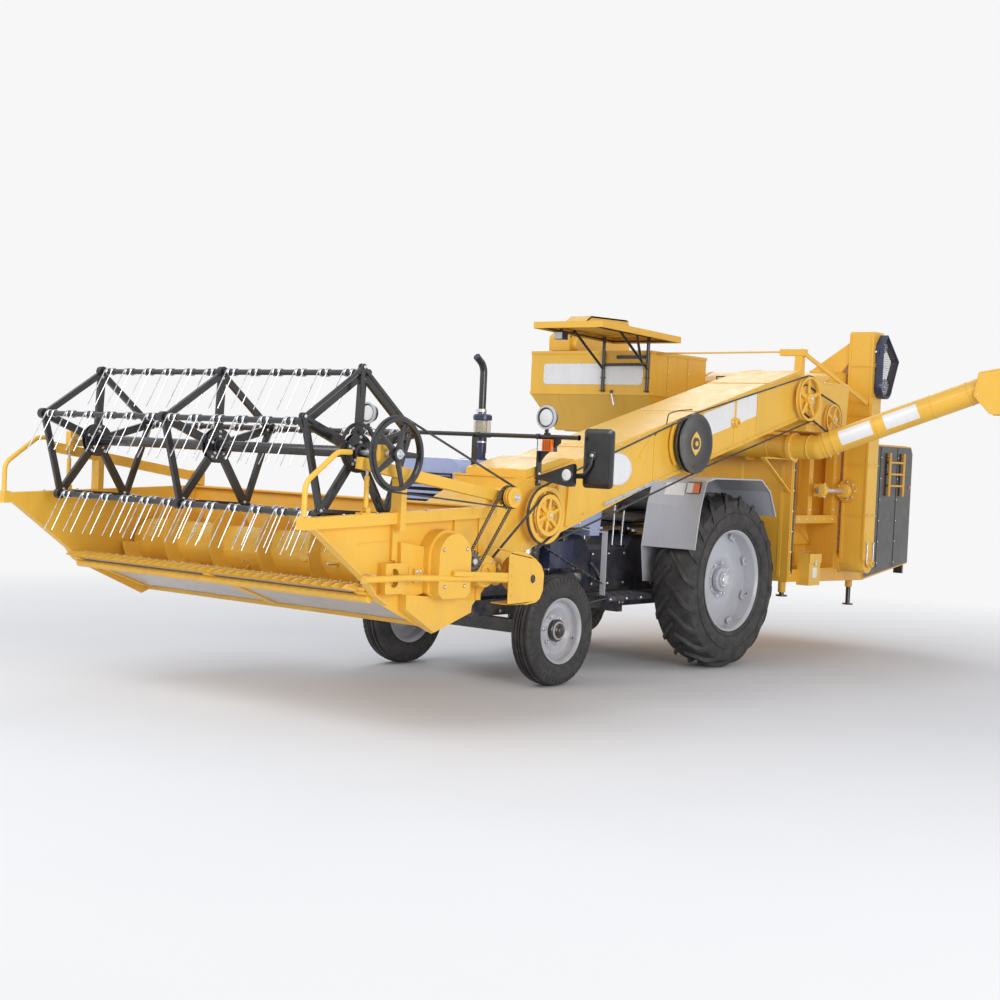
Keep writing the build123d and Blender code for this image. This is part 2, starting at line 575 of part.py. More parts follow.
# Cutter bar: finger bar, knife and pointed fingers, with the round stiffener below
with BuildPart() as cutter_bar:
    cut_left, cut_right = HEADER_LEFT - SHEET - 2, HEADER_RIGHT + SHEET + 2
    block((CUTTER_X - 50, CUTTER_X + 20), (cut_right, cut_left), (CUTTER_Z - 16 + SEAT, CUTTER_Z - 2))
    block((CUTTER_X - 10, CUTTER_X + 40), (cut_right + 4, cut_left - 4), (CUTTER_Z - 6, CUTTER_Z + 2))
    rod((CUTTER_X - 28, cut_right, CUTTER_Z - 62), (CUTTER_X - 28, cut_left, CUTTER_Z - 62), 22)
    for y in (HEADER_LEFT - 43, HEADER_LEFT - HEADER_W / 2, HEADER_RIGHT + 43):
        arc_plate((AUGER_X, AUGER_Z), TROUGH_R + PAN_T + SEAT, TROUGH_R + PAN_T + 12, -104, TROUGH_START - 2, y + 35, 70)
        disc(on_trough(-98, TROUGH_R + PAN_T + 18), y + 36, 72, 20)
        arc_plate((AUGER_X, AUGER_Z), 0, TROUGH_R + PAN_T + SEAT, -120, -40, y + 36, 72, mode=Mode.SUBTRACT)
    count = int((cut_left - cut_right - 40) // FINGER_PITCH)
    first = (cut_left + cut_right - (count - 1) * FINGER_PITCH) / 2
    with BuildSketch(level(CUTTER_Z - 12)) as fingers:
        for i in range(count):
            y = first + i * FINGER_PITCH
            with BuildLine():
                Polyline((CUTTER_X + 10, y - 14), (CUTTER_X + 60, y - 11), (CUTTER_X + 115, y),
                         (CUTTER_X + 60, y + 11), (CUTTER_X + 10, y + 14), close=True)
            make_face()
    extrude(fingers.sketch, amount=20)
finish(cutter_bar, "cutter_bar")

# Header auger: tube with opposed flights that bring the crop to the feeder's mouth
AUGER_LEFT = HEADER_LEFT - SHEET - 12
AUGER_RIGHT = HEADER_RIGHT + SHEET + 12
AUGER_WALL = 6.0
FLIGHT_T = 5.0
FLIGHT_PITCH = 420.0
FEED_MID = FEEDER_LEFT - FEEDER_W / 2


def flight(y, length, pitch, hand):
    "helical flight on the auger's tube from y, over length towards the left"
    base = Plane(origin=place(AUGER_X, y, AUGER_Z), x_dir=(1, 0, 0), z_dir=(0, 1, 0))
    r_in, r_out = AUGER_TUBE_D / 2 - 1, AUGER_FLIGHT_D / 2
    with BuildPart(mode=Mode.PRIVATE) as blade:
        with BuildLine() as path:
            Helix(pitch=pitch, height=length, radius=r_in, lefthand=hand < 0)
        with BuildSketch(Plane(origin=path.line @ 0, z_dir=path.line % 0, x_dir=(1, 0, 0))) as strip:
            with Locations(((r_out - r_in) / 2, 0)):
                Rectangle(r_out - r_in, FLIGHT_T)
        sweep(strip.sketch, path=path.line, is_frenet=True)
    add(base.location * blade.part)


with BuildPart() as auger:
    disc((AUGER_X, AUGER_Z), AUGER_LEFT - 20, AUGER_LEFT - AUGER_RIGHT - 40, AUGER_TUBE_D / 2)
    disc((AUGER_X, AUGER_Z), AUGER_LEFT - 20 - AUGER_WALL, AUGER_LEFT - AUGER_RIGHT - 40 - 2 * AUGER_WALL,
         AUGER_TUBE_D / 2 - AUGER_WALL, mode=Mode.SUBTRACT)
    rod((AUGER_X, HEADER_RIGHT + SHEET + SEAT, AUGER_Z), (AUGER_X, AUGER_RIGHT + 24, AUGER_Z), 22)
    rod((AUGER_X, AUGER_LEFT - 24, AUGER_Z), (AUGER_X, HEADER_LEFT - SHEET - SEAT, AUGER_Z), 22)
    flight(AUGER_RIGHT + 30, FEED_MID - 180 - AUGER_RIGHT - 30, FLIGHT_PITCH, 1)
    flight(FEED_MID + 150, AUGER_LEFT - 30 - FEED_MID - 150, FLIGHT_PITCH, -1)
finish(auger, "auger")

# Side drives on the header's left: stepped round-topped cover, step box, knife drive, guard tube and shield
COVER_X = 3870.0
COVER_Z = 955.0
COVER_FOOT_Z = 735.0
SHIELD = [(3460, 971), (3420, 985), (3300, 968), (3225, 934), (3170, 895), (3146, 850), (3150, 760), (3175, 712),
          (3207, 694), (3300, 684), (3460, 684)]
with BuildPart() as side_drives:
    y = HEADER_LEFT + SEAT
    for left, depth, radius in ((y + 78, 78, 148), (y + 142, 64, 130)):
        with BuildSketch(side(left)) as cover:
            with Locations((COVER_X, COVER_Z)):
                Circle(radius)
            with BuildLine():
                Polyline((COVER_X - radius, COVER_Z), (COVER_X + radius, COVER_Z), (COVER_X + radius, COVER_FOOT_Z + 30),
                         (COVER_X + radius * 0.7, COVER_FOOT_Z), (COVER_X - radius * 0.7, COVER_FOOT_Z),
                         (COVER_X - radius, COVER_FOOT_Z + 30), close=True)
            make_face()
        extrude(cover.sketch, amount=depth)
    plate([(4200, 1038), (4015, 1012), (4002, 760), (4150, 740), (4190, 780)], y + 40, 40)
    plate([(4163, 759), (3790, 726), (3619, 701), (3625, 640), (3928, 545), (4159, 680)], y + 60, 60)
    plate([(4330, 760), (4330, 930), (4180, 930), (4180, 770)], y + 60, 60)
    with BuildSketch(side(y + 61)) as window:
        with Locations((4262, 850)):
            SlotOverall(104, 70, rotation=90)
    extrude(window.sketch, amount=40, mode=Mode.SUBTRACT)
    rod((4262, y + 19, 850), (4262, y + 60, 850), 16)
    pipe([(4500, y + 72, 850), (4200, y + 90, 852), (3960, y + 135, 846), (3640, y + 160, 838),
          (3330, y + 166, 818)], 18, 160)
    rod((4425, y, 860), (4425, y + 74, 860), 14)
    plate(SHIELD, y + 184, 6)
    for x0, x1, z0, z1 in ((3400, 3450, 760, 800), (3240, 3290, 800, 850)):
        block((x0, x1), (y if x0 > 3300 else y + 150, y + 180), (z0, z1))
    disc((3560, 872), y + 50, 50, 92)
    disc((3560, 872), y + 64, 14, 44)
    disc((3600, 905), y + 92, 92, 20)
    disc((3600, 905), y + 90, 14, 62)
finish(side_drives, "side_drives")

# Jackshaft of the reel drive, on the arms' pivot line: belt pulley and chain sprocket
JACK_R = 55.0
with BuildPart() as jackshaft:
    disc((ARM_PIVOT_X, ARM_PIVOT_Z), PULLEY_Y + 20, 40, JACK_R)
    disc((ARM_PIVOT_X, ARM_PIVOT_Z), PULLEY_Y - 20, 22, 24)
    disc((ARM_PIVOT_X, ARM_PIVOT_Z), PULLEY_Y - 30, 10, 70)
    disc((ARM_PIVOT_X, ARM_PIVOT_Z), PULLEY_Y + 21, 64, 18 + RUNNING, mode=Mode.SUBTRACT)
finish(jackshaft, "jackshaft")

# Reel: centre tube with three spiders of five arms and their rim braces
VERTICES = [REEL_PHASE + 360 * k / REEL_BARS for k in range(REEL_BARS)]
SPIDER_T = 24.0
SPIDERS = [REEL_LEFT - 20 - i * (REEL_W - 40) / 2 for i in range(3)]


def reel_point(angle, radius=REEL_R):
    "(x, z) on the reel, its angle counted from straight up towards the front"
    return (REEL_X + radius * sin(radians(angle)), REEL_Z + radius * cos(radians(angle)))


def strut(a, b, width, mode=Mode.ADD):
    "straight bar of a flat frame, drawn in the sketch under construction"
    (xa, za), (xb, zb) = a, b
    with Locations(Location(((xa + xb) / 2, (za + zb) / 2), atan2(zb - za, xb - xa) * 180 / pi)):
        Rectangle(hypot(xb - xa, zb - za), width, mode=mode)


with BuildPart() as reel:
    rod((REEL_X, REEL_LEFT - REEL_W, REEL_Z), (REEL_X, REEL_LEFT, REEL_Z), REEL_TUBE_D / 2, REEL_TUBE_D / 2 - 5)
    for y in (REEL_LEFT, REEL_LEFT - REEL_W + 10):
        disc((REEL_X, REEL_Z), y, 10, REEL_TUBE_D / 2 - 4)
    for y in SPIDERS:
        with BuildSketch(side(y + SPIDER_T / 2)) as spider:
            with Locations((REEL_X, REEL_Z)):
                Circle(75)
            for angle in VERTICES:
                strut(reel_point(angle, 40), reel_point(angle, REEL_R - 18), 46)
                strut(reel_point(angle, REEL_R - 10), reel_point(angle + 360 / REEL_BARS, REEL_R - 10), 36)
                with Locations(reel_point(angle)):
                    Circle(BAR_D / 2 + 10)
            with Locations(*[reel_point(angle) for angle in VERTICES]):
                Circle(BAR_D / 2 + RUNNING, mode=Mode.SUBTRACT)
            with Locations((REEL_X, REEL_Z)):
                Circle(REEL_TUBE_D / 2 + SEAT, mode=Mode.SUBTRACT)
        extrude(spider.sketch, amount=SPIDER_T)
finish(reel, "reel")

# Reel shaft ends with the drive pulley on the left
SHAFT_R = 17.0
PULLEY_SPOKES = 5


def pulley_face(centre, radius, rim, bore, spokes):
    "spoked wheel drawn in the sketch under construction"
    x, z = centre
    with Locations(centre):
        Circle(radius)
        Circle(radius - rim, mode=Mode.SUBTRACT)
        Circle(bore + 22)
    for k in range(spokes):
        w = (cos(2 * pi * k / spokes + 0.4), sin(2 * pi * k / spokes + 0.4))
        strut((x + (bore + 14) * w[0], z + (bore + 14) * w[1]),
              (x + (radius - rim + 4) * w[0], z + (radius - rim + 4) * w[1]), 24)


with BuildPart() as reel_drive:
    rod((REEL_X, REEL_LEFT + SEAT, REEL_Z), (REEL_X, PULLEY_Y + 30, REEL_Z), SHAFT_R)
    with BuildSketch(side(PULLEY_Y + 16)) as wheel:
        pulley_face((REEL_X, REEL_Z), REEL_PULLEY_D / 2, 34, SHAFT_R, PULLEY_SPOKES)
    extrude(wheel.sketch, amount=32)
    rod((REEL_X, REEL_LEFT - REEL_W - SEAT, REEL_Z), (REEL_X, HEADER_RIGHT - 110, REEL_Z), SHAFT_R)
finish(reel_drive, "reel_drive")

# Tine bars: tube, coils, hanging spring tines and the crank of the control ring
TINE_PAIRS = 6
CRANK_Y = REEL_LEFT + 24
for k, angle in enumerate(VERTICES):
    x, z = reel_point(angle)
    lean = (sin(radians(TINE_LEAN)), -cos(radians(TINE_LEAN)))
    tilt = Plane(origin=place(x, 0, z), x_dir=(0, 1, 0), z_dir=(lean[1], 0, -lean[0]))
    with BuildPart() as tine_bar:
        rod((x, REEL_LEFT - REEL_W - 5, z), (x, CRANK_Y + 5, z), BAR_D / 2)
        with BuildSketch(tilt.offset(-BAR_D / 2 - 3)) as coils:
            for bay in range(2):
                for i in range(TINE_PAIRS):
                    y = SPIDERS[bay] - (i + 0.5) * (SPIDERS[0] - SPIDERS[1]) / TINE_PAIRS
                    with Locations((y, 0)):
                        Rectangle(52, 40)
                    for dy in (-30, 30):
                        with Locations((y + dy, -TINE_L / 2)):
                            Rectangle(TINE_WIRE, TINE_L)
        extrude(coils.sketch, amount=TINE_WIRE)
        beam((x, CRANK_Y, z), (x + CAGE_DX, CRANK_Y, z + CAGE_DZ), 10, 26)
        rod((x + CAGE_DX, CRANK_Y - 5, z + CAGE_DZ), (x + CAGE_DX, CRANK_Y + 26, z + CAGE_DZ), 8)
    finish(tine_bar, f"tine_bar_{k + 1}")

# Control ring: the offset pentagon that keeps the tines hanging
with BuildPart() as reel_cage:
    hub = (REEL_X + CAGE_DX, REEL_Z + CAGE_DZ)
    points = [(x + CAGE_DX, z + CAGE_DZ) for x, z in (reel_point(angle) for angle in VERTICES)]
    with BuildSketch(side(CRANK_Y + 22)) as cage:
        for a, b in zip(points, points[1:] + points[:1]):
            strut(a, b, 20)
            strut(a, (a[0] + (hub[0] - a[0]) * 0.7, a[1] + (hub[1] - a[1]) * 0.7), 20)
        with Locations(*points):
            Circle(18)
        with Locations(hub):
            Circle(132)
            Circle(112, mode=Mode.SUBTRACT)
        with Locations(*points):
            Circle(8 + RUNNING, mode=Mode.SUBTRACT)
    extrude(cage.sketch, amount=10)
finish(reel_cage, "reel_cage")

# Reel arms: box tubes from the header's back corners to the shaft's bearings
for name, face, out in (("left", HEADER_LEFT, 1), ("right", HEADER_RIGHT, -1)):
    y = face + out * ARM_OUT
    with BuildPart() as reel_arm:
        with BuildSketch(side(y + ARM_W / 2)) as arm:
            strut((ARM_PIVOT_X, ARM_PIVOT_Z), ARM_FRONT, ARM_H)
            with Locations((ARM_PIVOT_X, ARM_PIVOT_Z)):
                Circle(42)
            with Locations((REEL_X, REEL_Z)):
                Circle(45)
                Rectangle(90, 90)
            with Locations((ARM_PIVOT_X, ARM_PIVOT_Z)):
                Circle(18 + RUNNING, mode=Mode.SUBTRACT)
            with Locations((REEL_X, REEL_Z)):
                Circle(SHAFT_R + RUNNING, mode=Mode.SUBTRACT)
        extrude(arm.sketch, amount=ARM_W)
        for ear in (ADJUSTER_OUT - 20, ADJUSTER_OUT + 14):
            block((ADJUSTER_X - 16, ADJUSTER_X + 16), sorted((face + out * ear, face + out * (ear + 6))),
                  (ADJUSTER_EYE_Z - 14, ADJUSTER_EYE_Z + 14))
        block((ADJUSTER_X - 16, ADJUSTER_X + 16), sorted((face + out * (ADJUSTER_OUT - 20), face + out * ARM_OUT)),
              (ADJUSTER_EYE_Z + 14, ADJUSTER_EYE_Z + 20))
    finish(reel_arm, f"reel_arm_{name}")

# Reel adjusters: a barrel on each side rail and the screw that lifts the arm
with BuildPart() as adjuster_barrels:
    for out, face in ((1, HEADER_LEFT), (-1, HEADER_RIGHT)):
        y = face + out * ADJUSTER_OUT
        disc((ADJUSTER_X, ADJUSTER_Z), y + 12, 24, 11, ADJUSTER_PIN_R + SEAT)
        rod((ADJUSTER_X, y, ADJUSTER_Z + 8), (ADJUSTER_X, y, ADJUSTER_EYE_Z - 60), 13)
        rod((ADJUSTER_X, y, ADJUSTER_Z + 60), (ADJUSTER_X, y, ADJUSTER_EYE_Z - 59), 8 + RUNNING, mode=Mode.SUBTRACT)
finish(adjuster_barrels, "adjuster_barrels")
with BuildPart() as adjuster_screws:
    for out, face in ((1, HEADER_LEFT), (-1, HEADER_RIGHT)):
        y = face + out * ADJUSTER_OUT
        rod((ADJUSTER_X, y, ADJUSTER_Z + 70), (ADJUSTER_X, y, ADJUSTER_EYE_Z - 8), 8)
        disc((ADJUSTER_X, ADJUSTER_EYE_Z), y + 12, 24, 11)
finish(adjuster_screws, "adjuster_screws")

# Reel belt between the reel's pulley and the jackshaft
BELT_W = 14.0
BELT_T = 9.0
with BuildPart() as reel_belt:
    belt_loop([(ARM_PIVOT_X, ARM_PIVOT_Z, JACK_R + SEAT), (REEL_X, REEL_Z, REEL_PULLEY_D / 2 + SEAT)],
              PULLEY_Y + BELT_W / 2, BELT_W, BELT_T)
finish(reel_belt, "reel_belt")

# Feeder house: inclined duct of bent sheets between two side sheets, with its neck to the header's back wall
GUIDE_X = 1190.0
GUIDE_Z = feeder_top(GUIDE_X) - FEEDER_DEPTH / 2
DRIVE_X = 2800.0
DRIVE_Z = 1171.0
BACK_TOP = feeder_top(FEEDER_BACK_X + 160)


def mitre(before, corner, after):
    "line across a sheet's thickness at a corner between two others, a little longer than the sheet"
    normals = []
    for (xa, za), (xb, zb) in ((before, corner), (corner, after)):
        run = hypot(xb - xa, zb - za)
        normals.append(((za - zb) / run, (xb - xa) / run))
    (ax, az), (bx, bz) = normals
    reach = SHEET / (1 + ax * bx + az * bz)
    dx, dz = (ax + bx) * reach, (az + bz) * reach
    return (corner[0] - dx * 0.2, corner[1] - dz * 0.2), (corner[0] + dx * 1.2, corner[1] + dz * 1.2)


with BuildPart() as feeder_house:
    duct = [(HEADER_BACK_X - SEAT, 690), (HEADER_BACK_X - SEAT, 1010 - SEAT), (HEADER_BACK_X - 61, 1010 - SEAT), (3300, 1190),
            (FEEDER_FRONT_X, feeder_top(FEEDER_FRONT_X)), (FEEDER_BACK_X + 160, BACK_TOP),
            (FEEDER_BACK_X, BACK_TOP - 110), (FEEDER_BACK_X, 1880),
            (FEEDER_BACK_X + 80, feeder_top(FEEDER_BACK_X + 80) - FEEDER_DEPTH),
            (1673, feeder_top(1673) - FEEDER_DEPTH), (FEEDER_FRONT_X, 950), (3300, 720)]
    with BuildSketch(side(FEEDER_LEFT - SHEET - SEAT)) as sheets:
        with BuildLine():
            Polyline(*duct, close=True)
        make_face()
        offset(amount=-SHEET, kind=Kind.INTERSECTION, mode=Mode.SUBTRACT)
        for k, corner in enumerate(duct):
            strut(*mitre(duct[k - 1], corner, duct[(k + 1) % len(duct)]), SEAT, mode=Mode.SUBTRACT)
    extrude(sheets.sketch, amount=FEEDER_W - 2 * (SHEET + SEAT))
    for x0, heights in ((HEADER_BACK_X - 30, MOUTH), (FEEDER_BACK_X - 1, (1900, 2100))):
        block((x0, x0 + 31), (FEEDER_LEFT - FEEDER_W, FEEDER_LEFT), heights, mode=Mode.SUBTRACT)
    for left in (FEEDER_LEFT, FEEDER_LEFT - FEEDER_W + SHEET):
        plate(duct, left, SHEET)
    disc((LIFT_X, LIFT_Z), FEEDER_LEFT + 1, FEEDER_W + 2, SHAFT_R + RUNNING, mode=Mode.SUBTRACT)
    for x, z, reach in ((DRIVE_X, DRIVE_Z, 112), (GUIDE_X, GUIDE_Z, 95)):
        rod((x, FEEDER_LEFT + SEAT, z), (x, FEEDER_LEFT + reach, z), SHAFT_R)
        disc((x, z), FEEDER_LEFT + 40, 40 - SEAT, 45)
finish(feeder_house, "feeder_house")

SECOND_X = -850.0
SECOND_Z = 1905.0
REAR_GROOVE_R = 100.0
# Belt pulleys on the feeder's left side: name, x, z, left face, width, radius, rim, spokes
PULLEYS = [
    ("drive_pulley", DRIVE_X, DRIVE_Z, FEEDER_LEFT + 108, 60, 172, 26, 5),
    ("top_pulley", LIFT_X, LIFT_Z, FEEDER_LEFT + 76, 36, 168, 20, 6),
    ("second_pulley", SECOND_X, SECOND_Z, FEEDER_LEFT + 40, 30, 120, 18, 5),
]
for name, x, z, left, width, radius, rim_w, spokes in PULLEYS:
    with BuildPart() as pulley:
        with BuildSketch(side(left)) as wheel:
            pulley_face((x, z), radius, rim_w, SHAFT_R + RUNNING, spokes)
            with Locations((x, z)):
                Circle(SHAFT_R + RUNNING, mode=Mode.SUBTRACT)
        extrude(wheel.sketch, amount=width)
        if name == "top_pulley":
            disc((x, z), left - width, 20, REAR_GROOVE_R, SHAFT_R + RUNNING)
    finish(pulley, name)
with BuildPart() as guide_pulley:
    disc((GUIDE_X, GUIDE_Z), FEEDER_LEFT + 92, 48, 190, SHAFT_R + RUNNING)
    disc((GUIDE_X, GUIDE_Z), FEEDER_LEFT + 92, 6, 204, SHAFT_R + RUNNING)
finish(guide_pulley, "guide_pulley")

# Feeder belts: from the top pulley to the guide pulley and on to the drive pulley
with BuildPart() as feeder_belts:
    belt_loop([(LIFT_X, LIFT_Z, 168 + SEAT), (GUIDE_X, GUIDE_Z, 190 + SEAT)], FEEDER_LEFT + 64, BELT_W, BELT_T)
    belt_loop([(GUIDE_X, GUIDE_Z, 190 + SEAT), (DRIVE_X, DRIVE_Z, 172 + SEAT)], FEEDER_LEFT + 84, BELT_W, BELT_T)
finish(feeder_belts, "feeder_belts")

# Lamp bar on the feeder's front end: posts, cross tube, lamps, indicator and mirror
BAR_X = 2800.0
BAR_Z = 1640.0
with BuildPart() as lamp_bar:
    block((BAR_X - 20, BAR_X + 20), (FEEDER_LEFT + SEAT, FEEDER_LEFT + 12), (1345, BAR_Z))
    block((BAR_X - 20, BAR_X + 20), (FEEDER_LEFT - FEEDER_W - 12, FEEDER_LEFT - FEEDER_W - SEAT), (1300, BAR_Z))
    rod((BAR_X, -330, BAR_Z), (BAR_X, 1480, BAR_Z), 14)
    for y in (1240, -240):
        rod((BAR_X, y, BAR_Z + 10), (BAR_X, y, BAR_Z + 50), 8)
        rod((BAR_X - 40, y, BAR_Z + 115), (BAR_X + 25, y, BAR_Z + 115), 72)
    block((BAR_X - 30, BAR_X + 30), (1190, 1300), (BAR_Z - 90, BAR_Z - 10))
    with BuildSketch(front(BAR_X + 10)) as pod:
        with BuildLine():
            Polyline((1192, 1395), (1480, 1490), (1480, 1345), close=True)
        make_face()
    extrude(pod.sketch, amount=40)
    block((BAR_X - 60, BAR_X - 35), (1480, 1700), (1345, 1700))
    block((BAR_X - 36, BAR_X + 12), (1470, 1500), (1400, 1430))
finish(lamp_bar, "lamp_bar")

# Header lift cylinders: barrels on the main frame and rods with their eyes
EYE_X = 3380.0
EYE_Z = 940.0
CYLINDER = (EYE_X - LIFT_BASE_X, EYE_Z - LIFT_BASE_Z)
CYLINDER_L = hypot(*CYLINDER)


def along_cylinder(reach, y):
    return (LIFT_BASE_X + CYLINDER[0] * reach / CYLINDER_L, y, LIFT_BASE_Z + CYLINDER[1] * reach / CYLINDER_L)


with BuildPart() as lift_barrels:
    for y in (LIFT_BASE_Y, -LIFT_BASE_Y):
        disc((LIFT_BASE_X, LIFT_BASE_Z), y + 25, 50, 26, LIFT_PIN_R + SEAT)
        rod(along_cylinder(22, y), along_cylinder(620, y), 35)
        rod(along_cylinder(120, y), along_cylinder(621, y), 20 + RUNNING, mode=Mode.SUBTRACT)
finish(lift_barrels, "lift_barrels")
with BuildPart() as lift_rods:
    for y in (LIFT_BASE_Y, -LIFT_BASE_Y):
        rod(along_cylinder(420, y), along_cylinder(CYLINDER_L - 15, y), 20)
        disc((EYE_X, EYE_Z), y + 25, 50, 24)
finish(lift_rods, "lift_rods")

# Grain tank: box over a hopper, open at the top, on a bracket over the threshing body
with BuildPart() as grain_tank:
    back = TANK_FRONT_X - TANK_L
    mid_x, mid_y = (back + TANK_FRONT_X) / 2, TANK_LEFT - TANK_W / 2
    block((back, TANK_FRONT_X), (TANK_LEFT - TANK_W, TANK_LEFT), (TANK_KNEE_Z, TANK_TOP_Z))
    for wall, mode in ((0, Mode.ADD), (SHEET, Mode.SUBTRACT)):
        with BuildSketch(level(TANK_KNEE_Z)) as upper:
            with Locations((mid_x, mid_y)):
                Rectangle(TANK_L - 2 * wall, TANK_W - 2 * wall)
        with BuildSketch(level(TANK_BOTTOM_Z + wall)) as lower:
            with Locations((mid_x, mid_y)):
                Rectangle(340 - 2 * wall, TANK_W - 220 - 2 * wall)
        loft([upper.sketch, lower.sketch], mode=mode)
    block((back + SHEET, TANK_FRONT_X - SHEET), (TANK_LEFT - TANK_W + SHEET, TANK_LEFT - SHEET),
          (TANK_KNEE_Z, TANK_TOP_Z + 1), mode=Mode.SUBTRACT)
    disc((SPOUT_X, SPOUT_Z), TANK_LEFT + 1, TANK_W + 2, SPOUT_TUBE_D / 2 + SEAT, mode=Mode.SUBTRACT)
finish(grain_tank, "grain_tank")

# Canopy: shallow tray with turned-down lips, and the tube frame that holds it
CANOPY_BACK = -480.0
CANOPY_FRONT = 600.0
CANOPY_LEFT = 20.0
CANOPY_W = 660.0
CANOPY_Z = 2500.0
with BuildPart() as canopy:
    tray = [(CANOPY_BACK, CANOPY_Z - 25), (CANOPY_BACK, CANOPY_Z + 25), (CANOPY_FRONT, CANOPY_Z + 60),
            (CANOPY_FRONT, CANOPY_Z + 10)]
    plate(tray, CANOPY_LEFT, CANOPY_W)
    hollow = [(CANOPY_BACK + SHEET, CANOPY_Z - 40), (CANOPY_BACK + SHEET, CANOPY_Z + 20),
              (CANOPY_FRONT - SHEET, CANOPY_Z + 55), (CANOPY_FRONT - SHEET, CANOPY_Z - 5)]
    plate(hollow, CANOPY_LEFT - SHEET, CANOPY_W - 2 * SHEET, mode=Mode.SUBTRACT)
finish(canopy, "canopy")
FRAME_TUBE_R = 15.0


def canopy_under(x):
    "height of the tray's underside"
    return CANOPY_Z + 20 + 35 * (x - CANOPY_BACK - SHEET) / (CANOPY_FRONT - CANOPY_BACK - 2 * SHEET)


with BuildPart() as canopy_frame:
    x = TANK_FRONT_X + FRAME_TUBE_R + SEAT
    for y in (-595, -160):
        rod((x, y, 2070), (x, y, canopy_under(x - FRAME_TUBE_R) - 2 * SEAT), FRAME_TUBE_R)
        rod((x, y, 2250), (x + 420, y, canopy_under(x + 420) - 20), 12)
    rod((x, -595, 2290), (x, -160, 2290), 12)
    block((x - 14, CANOPY_FRONT - 60), (-175, -145), (canopy_under(x) - 30, canopy_under(x - 14) - SEAT))
finish(canopy_frame, "canopy_frame")

# Threshing body: sheet-metal housing on posts, open bay with channels on its left side
BAY_DEPTH = 260.0
BAY_X = (-1480.0, BODY_FRONT_X - 70.0)
BAY_Z = (720.0, 1690.0)
CROSS_X = ELEVATOR_X - ELEVATOR_L / 2
CROSS_Z = ELEVATOR_FOOT_Z + 90
FAR_X = -1150.0
FAR_LEFT = -1060.0
SHAFT_Y = 1030.0
SHAFT_Z = 1350.0
STAND_R = 20.0
